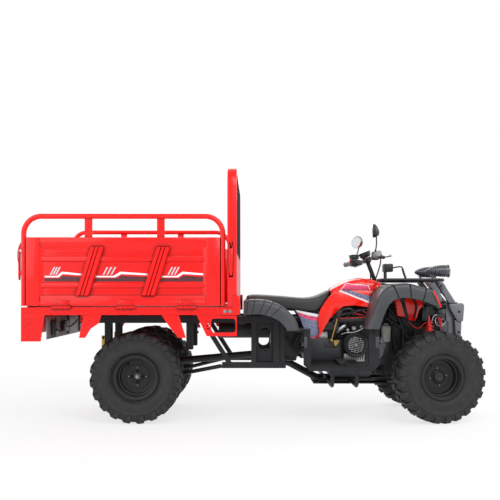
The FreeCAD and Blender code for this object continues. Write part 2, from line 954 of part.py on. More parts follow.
tower = box("ShockTower",
            (cell.shock_x - cell.tower_half, cell.front_frame_half + tube_r + gap,
             cell.shock_top_z + cell.shock_cap),
            (cell.tower_half * 2, cell.tower_reach,
             cell.upper_rail_z + tube_r - cell.shock_top_z - cell.shock_cap))
stem_rake = float(cell.stem_rake_angle)
stem_axis = Rotation(AXES["Y"], -stem_rake).multVec(AXES["Z"])
stem_foot = point(cell.stem_foot_x, 0, cell.stem_foot_z)
stem_length = (float(cell.stem_top_z) - float(cell.stem_foot_z)) / stem_axis.z


def on_stem_axis(height):
    """The stem axis's point at a height above the ground."""
    return stem_foot + stem_axis * ((float(height) - stem_foot.z) / stem_axis.z)


def along_stem(name, radius):
    """A bar along the whole stem, to bore what it passes through."""
    bar = Part.makeCylinder(float(radius), stem_length * 2, stem_foot - stem_axis * stem_length / 2,
                            stem_axis)
    return sheet_shape(name, bar)


carrier_x = on_stem_axis(cell.upper_rail_z).x
carrier = cut("StemCarrier",
              box("StemCarrierBlock",
                  (carrier_x - float(tube_r) * 1.8, -cell.front_frame_half * 1.1,
                   cell.upper_rail_z - tube_r),
                  (tube_r * 3.6, cell.front_frame_half * 2.2, tube_r * 2)),
              high_rail, mirror("HighRailTool", high_rail),
              along_stem("StemBore", cell.stem_radius + cell.running_gap))
front_post = post("FrontPost", cell.front_post_x, cell.front_frame_half)
mid_post = post("MidPost", cell.mid_post_x, cell.front_frame_half)
frame_braces = keep("frame_braces", group(
    "FrameBraces",
    front_post, mid_post, tower, carrier,
    mirror("FrontPostTwin", front_post), mirror("MidPostTwin", mid_post),
    mirror("ShockTowerTwin", tower),
    cross("CrossNoseLow", cell.front_post_x, cell.front_frame_half, cell.lower_rail_z),
    cross("CrossNoseHigh", cell.front_post_x, cell.front_frame_half, cell.upper_rail_z),
    cross("CrossMidLow", cell.mid_post_x, cell.front_frame_half, cell.lower_rail_z),
    cross("CrossMidHigh", cell.mid_post_x, cell.front_frame_half, cell.upper_rail_z),
    cross("CrossBayLow", cell.bay_post_x, cell.engine_frame_half, cell.lower_rail_z),
))

# Rear frame: box rails under the bed, side webs and cross members

rail_in = cell.rail_outer_half - cell.rail_wide
rail = box("RearRail", (cell.rail_tail_x, rail_in, cell.rail_bottom_z),
           (cell.rail_nose_x - cell.rail_tail_x, cell.rail_wide,
            cell.rail_top_z - cell.rail_bottom_z))
stub = rod("PivotStub", "Y", (cell.bed_pivot_x, cell.rail_outer_half, cell.bed_pivot_z),
           cell.hinge_radius, cell.hanger_thick * 2)
pads = [
    box(name, (x, rail_in, cell.rail_top_z),
        (cell.bed_pad_length, cell.rail_wide, cell.bed_floor_z - cell.seat_gap - cell.rail_top_z))
    for name, x in (("PadRear", cell.rear_pad_x), ("PadFront", cell.front_pad_x))
]
rail = fuse("RailWithPivot", rail, stub, *pads)
beam = box("LowerBeam", (cell.lower_beam_tail_x, rail_in, cell.lower_beam_bottom_z),
           (cell.lower_beam_nose_x - cell.lower_beam_tail_x, cell.rail_wide,
            cell.lower_beam_top_z - cell.lower_beam_bottom_z))


def column(name, x, wide):
    """A box column between the lower beam and the rear rail."""
    return box(name, (x, rail_in, cell.lower_beam_top_z),
               (wide, cell.rail_wide, cell.rail_bottom_z - cell.lower_beam_top_z))


column_one = column("ColumnOne", cell.column_one_x, cell.column_one_wide)
column_two = column("ColumnTwo", cell.column_two_x, cell.column_two_wide)
column_three = box("ColumnThree", (cell.column_three_x, rail_in, cell.lower_beam_top_z),
                   (cell.column_three_wide, cell.rail_wide,
                    cell.rail_top_z - cell.lower_beam_top_z))
web_x = cell.column_one_x + cell.column_one_wide
web_wide = cell.column_two_x - web_x
web = box("Web", (web_x, rail_in, cell.lower_beam_top_z),
          (web_wide, cell.web_thick, cell.rail_bottom_z - cell.lower_beam_top_z))
web_radius = web_wide * 0.36
web_middle = web_x + web_wide / 2
slot_low = rod("WebSlotLow", "Y",
               (web_middle, rail_in, cell.web_hole_low_z + web_radius),
               web_radius, cell.web_thick)
slot_high = rod("WebSlotHigh", "Y",
                (web_middle, rail_in, cell.web_hole_high_z - web_radius),
                web_radius, cell.web_thick)
slot_middle = box("WebSlotMiddle",
                  (web_middle - web_radius, rail_in, cell.web_hole_low_z + web_radius),
                  (web_radius * 2, cell.web_thick,
                   cell.web_hole_high_z - cell.web_hole_low_z - web_radius * 2))
web = cut("WebCut", web, slot_low, slot_high, slot_middle)
brace = plate("SideBrace", XZ, [
    (cell.brace_top_x, cell.rail_bottom_z),
    (cell.brace_top_x + cell.brace_wide, cell.rail_bottom_z),
    (cell.brace_foot_x + cell.brace_wide, cell.lower_beam_top_z),
    (cell.brace_foot_x, cell.lower_beam_top_z),
], rail_in, cell.rail_wide)
side_frame = fuse("SideFrame", beam, column_one, column_two, column_three, web, brace)
rear_rails = keep("rear_rails", both("RearRails", rail))
rear_side_frames = keep("rear_side_frames", both("RearSideFrames", side_frame))


def member(name, x, z, wide, high):
    """A box cross member between the two rear rails."""
    return box(name, (x, -rail_in, z), (wide, rail_in * 2, high))


rail_high = cell.rail_top_z - cell.rail_bottom_z
beam_high = cell.lower_beam_top_z - cell.lower_beam_bottom_z
rear_members = keep("rear_crossmembers", group(
    "RearMembers",
    member("TailMember", cell.rail_tail_x, cell.rail_bottom_z, cell.frame_cross_wide,
           rail_high),
    member("RearSpringMember", cell.spring_rear_x - cell.hanger_wide / 2,
           cell.rail_bottom_z, cell.hanger_wide, rail_high),
    member("FrontSpringMember", cell.spring_front_x - cell.hanger_wide / 2,
           cell.rail_bottom_z, cell.hanger_wide, rail_high),
    member("NoseMember", cell.column_two_x, cell.rail_bottom_z, cell.column_two_wide,
           rail_high),
    member("LowMember", cell.column_two_x, cell.lower_beam_bottom_z,
           cell.column_two_wide, beam_high),
))

# Leaf springs, axle and drive line


def arch(name, rear, front, top_z, sag, thick, y, wide):
    """A leaf bent to one arc through its two ends and its seat."""
    rear, front, top_z, sag = float(rear), float(front), float(top_z), float(sag)
    thick, y, wide = float(thick), float(y), float(wide)
    middle = (rear + front) / 2
    top = Part.Arc(Vector(rear, y, top_z), Vector(middle, y, top_z - sag),
                   Vector(front, y, top_z))
    under = Part.Arc(Vector(front, y, top_z - thick),
                     Vector(middle, y, top_z - sag - thick),
                     Vector(rear, y, top_z - thick))
    nose = Part.LineSegment(Vector(front, y, top_z), Vector(front, y, top_z - thick))
    tail = Part.LineSegment(Vector(rear, y, top_z - thick), Vector(rear, y, top_z))
    wire = Part.Wire([top.toShape(), nose.toShape(), under.toShape(), tail.toShape()])
    return Part.Face(wire).extrude(Vector(0, wide, 0))


def leaf_pack():
    """Leaves that shorten downwards under a main leaf, clamped at the axle."""
    span = cell.spring_front_x - cell.spring_rear_x
    sag = cell.spring_eye_z - cell.spring_seat_z
    low_y = cell.spring_half - cell.spring_wide / 2
    shape = None
    count = int(float(cell.spring_leaf_count))
    for number in range(count):
        share = number / (count * 1.4)
        inset = span * share / 2
        rise = sag * (1 - share) * (1 - share)
        top = cell.spring_seat_z - cell.spring_leaf * number + rise
        leaf = arch("Leaf", cell.spring_rear_x + inset, cell.spring_front_x - inset,
                    top, rise, cell.spring_leaf * 1.02, low_y, cell.spring_wide)
        shape = leaf if shape is None else shape.fuse(leaf)
    for x in (cell.spring_rear_x, cell.spring_front_x):
        eye = Part.makeCylinder(float(cell.spring_leaf) * 2, float(cell.spring_wide),
                                point(x, low_y, cell.spring_eye_z), AXES["Y"])
        shape = shape.fuse(eye)
    return sheet_shape("LeafPack", shape.removeSplitter())


leaf = leaf_pack()
leaf_springs = keep("leaf_springs", both("LeafSprings", leaf))

hanger_in = cell.spring_half - cell.spring_wide / 2 - cell.seat_gap - cell.hanger_thick


def hanger(name, x, foot_z):
    """A pair of cheek plates under the rail, one each side of the spring eye."""
    half = cell.hanger_wide / 2
    high = cell.rail_bottom_z - foot_z
    inner = box(name + "Inner", (x - half, hanger_in, foot_z),
                (cell.hanger_wide, cell.hanger_thick, high))
    outer = box(name + "Outer",
                (x - half, cell.spring_half + cell.spring_wide / 2 + cell.seat_gap, foot_z),
                (cell.hanger_wide, cell.hanger_thick, high))
    return inner, outer


eye_drop = cell.spring_eye_z - cell.hanger_wide / 2
rear_hangers = hanger("RearHanger", cell.spring_rear_x, eye_drop)
front_hangers = hanger("FrontHanger", cell.spring_front_x, eye_drop)
hanger_bridges = [
    box(name, (x - cell.hanger_wide / 2, hanger_in, cell.rail_bottom_z - cell.hanger_thick),
        (cell.hanger_wide, cell.spring_wide + gap * 2 + cell.hanger_thick * 2,
         cell.hanger_thick))
    for name, x in (("RearBridge", cell.spring_rear_x), ("FrontBridge", cell.spring_front_x))
]
hanger_one = fuse("HangerOne", *rear_hangers, hanger_bridges[0])
hanger_two = fuse("HangerTwo", *front_hangers, hanger_bridges[1])
spring_hangers = keep("spring_hangers", group(
    "SpringHangers", hanger_one, hanger_two,
    mirror("HangerOneTwin", hanger_one), mirror("HangerTwoTwin", hanger_two)))

inner_rear = inner_hub(cell.rear_track_half, cell.rear_rim_half_width, cell.rear_disc_inset)
rear_tip = (inner_rear + cell.hub_tail + cell.rim_disc_thick + cell.spindle_reach
            - cell.hub_gap)
housing_end = inner_rear - cell.hub_gap
leaf_bottom_z = cell.spring_seat_z - cell.spring_leaf * (cell.spring_leaf_count + 0.1)
axle = fuse(
    "RearAxle",
    rod("AxleTube", "Y", (rear_x, -housing_end, hub_z), cell.axle_tube_radius,
        housing_end * 2),
    rod("AxleSpindles", "Y", (rear_x, -rear_tip, hub_z), cell.spindle_radius,
        rear_tip * 2),
    rod("DiffCase", "X", (rear_x - cell.diff_half, 0, hub_z), cell.diff_radius,
        cell.diff_half * 2),
    box("RodEarLeft", (rear_x - cell.rod_radius, cell.rod_half - cell.rod_radius,
                       cell.rod_rear_z - cell.rod_radius),
        (cell.axle_tube_radius + cell.rod_radius, cell.rod_radius * 2,
         hub_z - cell.rod_rear_z + cell.rod_radius)),
    box("RodEarRight", (rear_x - cell.rod_radius, -cell.rod_half - cell.rod_radius,
                        cell.rod_rear_z - cell.rod_radius),
        (cell.axle_tube_radius + cell.rod_radius, cell.rod_radius * 2,
         hub_z - cell.rod_rear_z + cell.rod_radius)),
    box("SpringSeatLeft",
        (rear_x - cell.hanger_wide, cell.spring_half - cell.spring_wide / 2, hub_z),
        (cell.hanger_wide * 2, cell.spring_wide,
         leaf_bottom_z - hub_z)),
    box("SpringSeatRight",
        (rear_x - cell.hanger_wide, -cell.spring_half - cell.spring_wide / 2, hub_z),
        (cell.hanger_wide * 2, cell.spring_wide,
         leaf_bottom_z - hub_z)),
)
rear_axle = keep("rear_axle", axle)

prop_shaft = keep("prop_shaft", tube("PropShaft", [
    (rear_x + cell.diff_half + cell.shaft_end_gap, 0, hub_z + cell.prop_rise),
    (cell.crankcase_tail_x - cell.shaft_end_gap, 0,
     hub_z + cell.prop_rise + cell.prop_climb)], cell.prop_radius))
torque_rod = tube("TorqueRod", [
    (rear_x + cell.axle_tube_radius + cell.rod_end_gap, cell.rod_half, cell.rod_rear_z),
    (cell.lower_beam_tail_x - cell.rod_end_gap, cell.rail_outer_half - cell.rail_wide / 2,
     cell.rod_front_z)], cell.rod_radius)
torque_rods = keep("torque_rods", both("TorqueRods", torque_rod))

# Engine, exhaust and the plate under them

crankcase = plate("Crankcase", XZ, [
    (cell.crankcase_tail_x, cell.crankcase_bottom_z + cell.crankcase_round),
    (cell.crankcase_tail_x + cell.crankcase_round, cell.crankcase_bottom_z),
    (cell.crankcase_nose_x - cell.crankcase_round, cell.crankcase_bottom_z),
    (cell.crankcase_nose_x, cell.crankcase_bottom_z + cell.crankcase_round),
    (cell.crankcase_nose_x, cell.crankcase_top_z - cell.crankcase_round * 2),
    (cell.crankcase_nose_x - cell.crankcase_round * 2, cell.crankcase_top_z),
    (cell.crankcase_tail_x, cell.crankcase_top_z),
], -crank_half, crank_half * 2)
side_case = rod("SideCase", "Y", (cell.fan_x, -cell.fan_in_y, cell.fan_z - cell.fan_radius),
                cell.fan_radius * 0.9, cell.fan_in_y - crank_half)
barrel = box("Barrel",
             (cell.barrel_x - cell.barrel_side / 2, -cell.barrel_side / 2,
              cell.crankcase_top_z),
             (cell.barrel_side, cell.barrel_side, cell.barrel_height))
head = box("CylinderHead",
           (cell.barrel_x - cell.barrel_side * 0.55, -cell.barrel_side * 0.55,
            cell.crankcase_top_z + cell.barrel_height),
           (cell.barrel_side * 1.1, cell.barrel_side * 1.1, cell.head_height))
fin_half = cell.barrel_side / 2 + cell.barrel_fin_reach
fins = [
    box(f"Fin{number}",
        (cell.barrel_x - fin_half, -fin_half,
         cell.crankcase_top_z + cell.barrel_fin_pitch * (number + 0.5)),
        (fin_half * 2, fin_half * 2, cell.barrel_fin))
    for number in range(int(float(cell.barrel_fin_count)))
]
carb_z = cell.crankcase_top_z + cell.carb_rise
carb = [
    rod("CarbBody", "X", (cell.barrel_x - fin_half - cell.carb_length, 0, carb_z),
        cell.carb_radius, cell.carb_length + cell.barrel_fin_reach * 2),
    rod("CarbBowl", "Z",
        (cell.barrel_x - fin_half - cell.carb_length / 2, 0, carb_z - cell.carb_bowl),
        cell.carb_radius * 0.8, cell.carb_bowl),
]
clutch_case = rod("ClutchCase", "Y", (cell.clutch_case_x, crank_half, cell.clutch_case_z),
                  cell.clutch_case_radius, cell.clutch_case_reach)
exhaust_z = cell.crankcase_top_z + cell.fan_hub_radius * 3
exhaust_flange = box("ExhaustFlange",
                     (cell.barrel_x - cell.flange_wide / 2, -fin_half - cell.flange_thick,
                      exhaust_z - cell.flange_high / 2),
                     (cell.flange_wide, cell.flange_thick * 2, cell.flange_high))
engine = keep("engine", fuse("Engine", crankcase, side_case, barrel, head, clutch_case,
                             exhaust_flange, *fins, *carb))

fan_place = (cell.fan_x, -cell.fan_out_y, cell.fan_z)
fan_deep = cell.fan_out_y - cell.fan_in_y - cell.seat_gap
fan_outline = [(0 - cell.fan_groove, 0), (0 - cell.fan_groove, cell.fan_hub_radius)]
for number in range(int(float(cell.fan_groove_count))):
    ridge = cell.fan_hub_radius + cell.fan_groove * 2 * number
    fan_outline += [(0, ridge), (0, ridge + cell.fan_groove),
                    (cell.fan_groove, ridge + cell.fan_groove),
                    (cell.fan_groove, ridge + cell.fan_groove * 2)]
fan_outline += [(0, cell.fan_radius - cell.fan_groove), (cell.fan_groove, cell.fan_radius),
                (fan_deep, cell.fan_radius), (fan_deep, 0)]
fan_drum = turned("FanDrum", fan_outline, fan_place)
fan_spoke = box("FanSpoke", (cell.fan_groove / -3, 0, cell.fan_hub_radius / 2),
                (cell.fan_groove * 2 / 3, cell.fan_groove * 1.5,
                 cell.fan_radius - cell.fan_groove * 1.5 - cell.fan_hub_radius / 2))
doc.recompute()
spokes = ring_of(fan_spoke.Shape, int(float(cell.fan_spoke_count)))
for spoke in spokes:
    spoke.translate(point(*fan_place))
fan_cover = keep("fan_cover", sheet_shape(
    "FanCover", fan_drum.Shape.fuse(spokes).removeSplitter()))

muffler = fuse(
    "Muffler",
    rod("MufflerCan", "X", (cell.muffler_tail_x, cell.muffler_y, cell.muffler_z),
        cell.muffler_radius, cell.muffler_nose_x - cell.muffler_tail_x),
    tube("ExhaustPipe", [
        (cell.muffler_nose_x - cell.exhaust_radius, cell.muffler_y, cell.muffler_z),
        (cell.muffler_nose_x + cell.exhaust_radius * 12, cell.muffler_y, cell.muffler_z),
        (cell.crankcase_tail_x, cell.muffler_y, exhaust_z),
        (cell.barrel_x, cell.muffler_y, exhaust_z),
        (cell.barrel_x, -fin_half - cell.flange_thick - gap, exhaust_z)],
        cell.exhaust_radius, cell.exhaust_radius * 2.5))
muffler = keep("muffler", muffler)

skid_low = cell.lower_rail_z - tube_r - cell.skid_thick - cell.seat_gap
skid = fuse(
    "SkidPlate",
    box("SkidFloor", (cell.skid_tail_x, -cell.skid_half, skid_low),
        (cell.skid_nose_x - cell.skid_tail_x, cell.skid_half * 2, cell.skid_thick)),
    box("SkidLipLeft", (cell.skid_tail_x, cell.skid_half, skid_low),
        (cell.skid_nose_x - cell.skid_tail_x, cell.skid_thick, cell.skid_lip)),
    box("SkidLipRight", (cell.skid_tail_x, -cell.skid_half - cell.skid_thick, skid_low),
        (cell.skid_nose_x - cell.skid_tail_x, cell.skid_thick, cell.skid_lip)))
skid_plate = keep("skid_plate", skid)

# Foot guards and foot boards

nerf_bar_top = cell.nerf_bottom_z + cell.nerf_bar_high
nerf_in_rear = cell.nerf_rear_x + cell.nerf_rear_wide
nerf_in_front = cell.nerf_front_x - cell.nerf_front_wide
nerf = plate("NerfFrame", XZ, [
    (cell.nerf_rear_x, cell.nerf_rear_top_z),
    (cell.nerf_rear_x, cell.nerf_bottom_z + cell.nerf_chamfer),
    (cell.nerf_rear_x + cell.nerf_chamfer, cell.nerf_bottom_z),
    (cell.nerf_front_x - cell.nerf_chamfer, cell.nerf_bottom_z),
    (cell.nerf_front_x, cell.nerf_bottom_z + cell.nerf_chamfer),
    (cell.nerf_front_x, cell.nerf_front_top_z),
    (nerf_in_front, cell.nerf_front_top_z),
    (nerf_in_front, nerf_bar_top + cell.nerf_chamfer / 2),
    (nerf_in_front - cell.nerf_chamfer / 2, nerf_bar_top),
    (nerf_in_rear, nerf_bar_top),
    (nerf_in_rear, cell.nerf_rear_top_z),
], cell.nerf_y - cell.nerf_half, cell.nerf_half * 2)
nerf_strap = box("NerfStrap",
                 (cell.nerf_rear_x, cell.nerf_y - cell.nerf_top_reach,
                  cell.nerf_rear_top_z - cell.nerf_strap),
                 (cell.nerf_rear_wide, cell.nerf_top_reach, cell.nerf_strap))
stay_start = cell.engine_frame_half + tube_r + cell.seat_gap
nerf_stays = [
    tube(name, [(x, stay_start, cell.lower_rail_z), (x, cell.nerf_y, cell.lower_rail_z),
                (x, cell.nerf_y, cell.nerf_bottom_z + cell.nerf_bar_high / 2)],
         cell.brace_tube_radius, cell.brace_tube_radius * 3)
    for name, x in (("StayRear", cell.bay_post_x), ("StayFront", cell.stay_front_x))
]
foot_guard = fuse("FootGuard", nerf, nerf_strap, *nerf_stays)
foot_guards = keep("foot_guards", both("FootGuards", foot_guard))

board_z = nerf_bar_top + gap
board = fuse(
    "FootBoard",
    box("BoardFloor",
        (cell.board_rear_x, cell.board_inner, board_z),
        (cell.board_front_x - cell.board_rear_x, cell.nerf_y - cell.board_inner,
         cell.board_thick)),
    plate("HeelPlate", YZ, [
        (cell.board_inner, board_z),
        (cell.nerf_y - cell.nerf_half - cell.seat_gap, board_z),
        (cell.nerf_y - cell.nerf_half - cell.seat_gap, cell.heel_top_z),
        (cell.board_inner + cell.board_thick * 6, cell.heel_top_z),
    ], cell.board_rear_x, cell.board_thick))
foot_boards = keep("foot_boards", both("FootBoards", board))

# Gear lever

gear_lever = tube("GearLever", [
    (cell.lever_x, cell.lever_y, cell.lever_z),
    (cell.lever_top_x, cell.lever_y, cell.lever_top_z)], cell.lever_radius)
knob = doc.addObject("Part::Sphere", "LeverKnob")
turn(knob, TURNS["Y"])
tie(knob, Radius=cell.lever_knob_radius, at=(cell.lever_top_x, cell.lever_y, cell.lever_top_z))
lever_foot = rod("LeverShaft", "Y", (cell.lever_x, cell.lever_y - cell.lever_radius * 2,
                                     cell.lever_z),
                 cell.lever_radius * 1.6, -cell.lever_y - crank_half
                 + cell.lever_radius * 2 - cell.seat_gap)
gear_shift = keep("gear_lever", fuse("GearShift", gear_lever, knob, lever_foot))

# Seat, bodywork and mudguards


def curve(points):
    """A smooth line through points of (x, y, z)."""
    line = Part.BSplineCurve()
    line.interpolate([point(*p) for p in points])
    return line.toShape()


def shares_of(shares, x, length, z, height, y):
    """Points at shares of a length and a height from a corner."""
    return [(x + along * length, y, z + up * height) for along, up in shares]


def seat_shape():
    """The long saddle: a dip for the rider between a raised tail and nose."""
    top_shares = ((0, 0.60), (0.12, 0.68), (0.50, 0.55), (0.68, 0.42), (0.86, 0.62), (1, 1))
    x, length = cell.seat_tail_x, cell.seat_nose_x - cell.seat_tail_x
    z = seat_base_z
    height = cell.seat_nose_top_z - z
    top = curve(shares_of(top_shares, x, length, z, height, -cell.seat_half))
    corners = [(x + length, z + height), (x + length, z), (x, z), (x, z + height * 0.60)]
    rest = Part.makePolygon([point(a, -cell.seat_half, c) for a, c in corners])
    face = Part.Face(Part.Wire([top] + rest.Edges))
    solid = face.extrude(point(0, cell.seat_half * 2, 0))
    long_edges = [e for e in solid.Edges
                  if e.BoundBox.YLength < float(gap) and e.BoundBox.ZMax > float(z + cell.hub_gap)
                  and e.BoundBox.XLength > float(length) * 0.9]
    return solid.makeFillet(float(height) * 0.2, long_edges)


seat = keep("seat", sheet_shape("Seat", seat_shape()))


def tank_shape():
    """The painted tank cover between the seat's nose and the steering stem."""
    top_shares = ((0, 0.55), (0.35, 0.86), (0.62, 1.0), (0.85, 0.90), (1, 0.62))
    x = cell.seat_nose_x + cell.seat_gap
    length, z = cell.body_nose_x - x, rail_crown_z
    height = cell.tank_top_z - z
    top = curve(shares_of(top_shares, x, length, z, height, -cell.body_half))
    corners = [(x + length, z + height * 0.62), (x + length, z), (x, z), (x, z + height * 0.55)]
    rest = Part.makePolygon([point(a, -cell.body_half, c) for a, c in corners])
    solid = Part.Face(Part.Wire([top] + rest.Edges)).extrude(point(0, cell.body_half * 2, 0))
    long_edges = [e for e in solid.Edges
                  if e.BoundBox.YLength < float(gap) and e.BoundBox.XLength > float(length) * 0.9
                  and e.BoundBox.ZMax > float(z + cell.hub_gap)]
    return solid.makeFillet(float(height) * 0.25, long_edges)


tank_cover = keep("tank_cover", cut("TankCover", sheet_shape("TankShell", tank_shape()),
                                    along_stem("TankStemHole", cell.stem_radius * 1.5)))

SIDE_COVER_SHARES = ((0, 0), (0.06, 0), (0.32, 0.42), (0.45, 0.60), (0.86, 0.58),
                     (1, 0.72), (0.96, 1.0), (0.30, 0.98), (0.16, 0.62))
cover_x, cover_z = cell.seat_nose_x - cell.fan_radius * 1.2, cell.lever_z
side_cover = plate("SideCover", XZ, [
    (cover_x + a * (cell.body_nose_x - cover_x),
     cover_z + b * (cell.seat_nose_top_z - cover_z))
    for a, b in SIDE_COVER_SHARES
], side_cover_y, cell.side_cover_thick)
side_covers = keep("side_covers", both("SideCovers", side_cover))

FRONT_FLARE_SHARES = ((0, 0), (0.12, 0.48), (0.19, 0.745), (0.30, 0.93), (0.52, 1.0),
                      (0.73, 0.925), (0.88, 0.84), (1.0, 0.47))
FRONT_LIP_SHARES = ((0.18, 0), (0.235, 0.28), (0.318, 0.552), (0.434, 0.66), (0.56, 0.675),
                    (0.75, 0.608), (0.98, 0.46))
REAR_FLARE_SHARES = ((0, 0.96), (0.20, 1.0), (0.46, 0.95), (0.74, 0.72), (0.93, 0.34), (1, 0))
REAR_LIP_SHARES = ((0, 0.50), (0.25, 0.52), (0.45, 0.46), (0.62, 0.32), (0.72, 0.15),
                   (0.77, 0))


def strip(upper, lower, wide):
    """A slab between two smooth lines in one upright plane, given width along Y."""
    a, b = curve(upper), curve(lower)
    ends = [Part.LineSegment(a.Vertexes[i].Point, b.Vertexes[i].Point).toShape()
            for i in (0, -1)]
    face = Part.Face(Part.Wire(Part.sortEdges([a, b] + ends)[0]))
    return face.extrude(Vector(0, float(wide), 0))


def underside(points, thick):
    """A line's points moved by a sheet's thickness to the right of its run."""
    spots = [point(*p) for p in points]
    moved = []
    for i, spot in enumerate(spots):
        along = (spots[min(i + 1, len(spots) - 1)] - spots[max(i - 1, 0)]).normalize()
        moved.append(spot + Vector(along.z, 0, -along.x) * float(thick))
    return [(p.x, p.y, p.z) for p in moved]


def flare(name, shares, lip_shares, corner, span, inner_y, outer_y):
    """A mudguard: a bent sheet over the wheel with a deep lip at its outer edge."""
    (x, z), (length, height) = corner, span
    thick = cell.fender_sheet
    over = shares_of(shares, x, length, z, height, inner_y)
    top = strip(over, underside(over, thick), outer_y - inner_y)
    side = strip(shares_of(shares, x, length, z, height, outer_y - thick),
                 shares_of(lip_shares, x, length, z, height, outer_y - thick), thick)
    return sheet_shape(name, top.fuse(side).removeSplitter())


front_flare = flare("FrontFlare", FRONT_FLARE_SHARES, FRONT_LIP_SHARES,
                    (cell.front_flare_x, cell.front_flare_bottom_z),
                    (cell.front_flare_length, cell.front_flare_height),
                    side_cover_y + cell.side_cover_thick + gap, cell.front_flare_y)
rear_flare = flare("RearFlare", REAR_FLARE_SHARES, REAR_LIP_SHARES,
                   (cell.rear_flare_x, cell.rear_flare_bottom_z),
                   (cell.rear_flare_length, cell.rear_flare_height),
                   cell.seat_half + gap, cell.rear_flare_y)
front_fenders = keep("front_fenders", both("FrontFenders", front_flare))
rear_fenders = keep("rear_fenders", both("RearFenders", rear_flare))

# Nose: cowl, rack, lamps, bull bar and winch

cowl = plate("FrontCowl", XZ, [
    (cell.cowl_tail_x, rail_crown_z),
    (cell.cowl_nose_x, rail_crown_z),
    (cell.cowl_nose_x, rail_crown_z + cell.cowl_half * 0.4),
    (cell.cowl_tail_x, cell.cowl_top_z),
], -cell.cowl_half, cell.cowl_half * 2, cell.cowl_round)
front_cowl = keep("front_cowl", cowl)

rack_loop = tube("RackLoop", [
    (cell.rack_tail_x, cell.rack_half / 2, cell.rack_z),
    (cell.rack_tail_x, cell.rack_half, cell.rack_z),
    (cell.rack_nose_x, cell.rack_half, cell.rack_z),
    (cell.rack_nose_x, -cell.rack_half, cell.rack_z),
    (cell.rack_tail_x, -cell.rack_half, cell.rack_z),
    (cell.rack_tail_x, -cell.rack_half / 2, cell.rack_z)], cell.rack_tube_radius, cell.rack_bend)
rack_bar_radius = cell.rack_tube_radius * 0.7
rack_bar_y = cell.rack_half * 0.45
rack_bars = [
    rod(f"RackBar{number}", "X", (cell.rack_bar_tail_x, y, cell.rack_z),
        rack_bar_radius, cell.rack_nose_x - cell.rack_bar_tail_x)
    for number, y in enumerate((-rack_bar_y, rack_bar_y))
]
rack_crosses = [
    rod(f"RackCross{number}", "Y", (x, -cell.rack_half, cell.rack_z), rack_bar_radius * 0.9,
        cell.rack_half * 2)
    for number, x in enumerate((cell.rack_bar_tail_x, cell.rack_leg_x))
]
rack_legs = [
    tube(f"RackLeg{number}", [
        (cell.rack_leg_x, side * cell.front_frame_half, cell.upper_rail_z),
        (cell.rack_leg_x, side * rack_bar_y, cell.rack_z)], rack_bar_radius)
    for number, side in enumerate((1, -1))
]
front_rack = keep("front_rack", cut(
    "FrontRack", fuse("RackBody", rack_loop, *rack_bars, *rack_crosses, *rack_legs),
    high_rail, mirror("HighRailUnderRack", high_rail)))

lamp_length = cell.lamp_nose_x - cell.lamp_x
lamp = doc.addObject("Part::Cone", "LampPod")
turn(lamp, TURNS["X"])
tie(lamp, Radius1=cell.lamp_radius * 0.6, Radius2=cell.lamp_radius, Height=lamp_length,
    at=(cell.lamp_x, cell.lamp_y, cell.lamp_z))
lamp_stalk = rod("LampStalk", "Z",
                 (cell.rack_leg_x, cell.lamp_y, cell.rack_z + rack_bar_radius * 0.9 + gap),
                 cell.rack_tube_radius * 0.6,
                 cell.lamp_z - cell.rack_z - rack_bar_radius * 0.9 - gap)
lamp_ribs = [
    rod(f"LampRib{number}", "X",
        (cell.lamp_x + lamp_length * share, cell.lamp_y, cell.lamp_z),
        cell.lamp_radius * (0.6 + 0.4 * share) + cell.lamp_rib, cell.lamp_rib)
    for number, share in enumerate((0.12, 0.26, 0.40, 0.54))
]
lamp_bezel = rod("LampBezel", "X",
                 (cell.lamp_nose_x - cell.lamp_rib * 3, cell.lamp_y, cell.lamp_z),
                 cell.lamp_radius + cell.lamp_rib, cell.lamp_rib * 3)
lamp_bowl = rod("LampBowl", "X",
                (cell.lamp_nose_x - cell.lamp_rib * 2, cell.lamp_y, cell.lamp_z),
                cell.lamp_radius - cell.lamp_rib, cell.lamp_rib * 2)
lamp_body = cut("Headlamp", fuse("LampBody", lamp, lamp_stalk, lamp_bezel, *lamp_ribs),
                lamp_bowl)
headlamps = keep("headlamps", both("Headlamps", lamp_body))

bull_half = cell.front_frame_half + tube_r + gap
bull_side = plate("BullSide", XZ, [
    (bull_top_x - cell.bull_plate, (cell.rack_z - cell.rack_tube_radius - gap)),
    (bull_top_x, (cell.rack_z - cell.rack_tube_radius - gap)),
    (cell.bull_knee_x, cell.bull_knee_z),
    (cell.bull_block_nose_x, cell.bull_block_top_z),
    (cell.bull_block_nose_x, cell.bull_block_bottom_z),
    (cell.bull_leg_nose_x, cell.bull_leg_bottom_z),
    (cell.bull_leg_x, cell.bull_leg_bottom_z),
    (cell.bull_leg_x, cell.bull_block_bottom_z),
    (cell.bull_block_x + cell.bull_plate / 2, cell.bull_block_bottom_z),
    (cell.bull_block_x + cell.bull_plate / 2, cell.bull_block_top_z),
    (cell.bull_knee_x - cell.bull_plate, cell.bull_knee_z),
], bull_half, cell.fender_sheet * 4)
bull_bars = [
    rod(name, "Y", (x, -bull_half, z), cell.rack_tube_radius, bull_half * 2)
    for name, x, z in (
        ("BullBarHigh", cell.bull_knee_x - cell.bull_plate / 2, cell.bull_knee_z),
        ("BullBarLow", cell.bull_leg_x + cell.bull_plate / 2,
         cell.bull_leg_bottom_z + cell.bull_plate / 2),
        ("BullBarMiddle", cell.bull_block_nose_x - cell.bull_plate / 2,
         cell.bull_block_bottom_z + cell.bull_plate / 2))
]
bull_bar = keep("bull_bar", fuse("BullBar", bull_side, mirror("BullSideTwin", bull_side),
                                 *bull_bars))

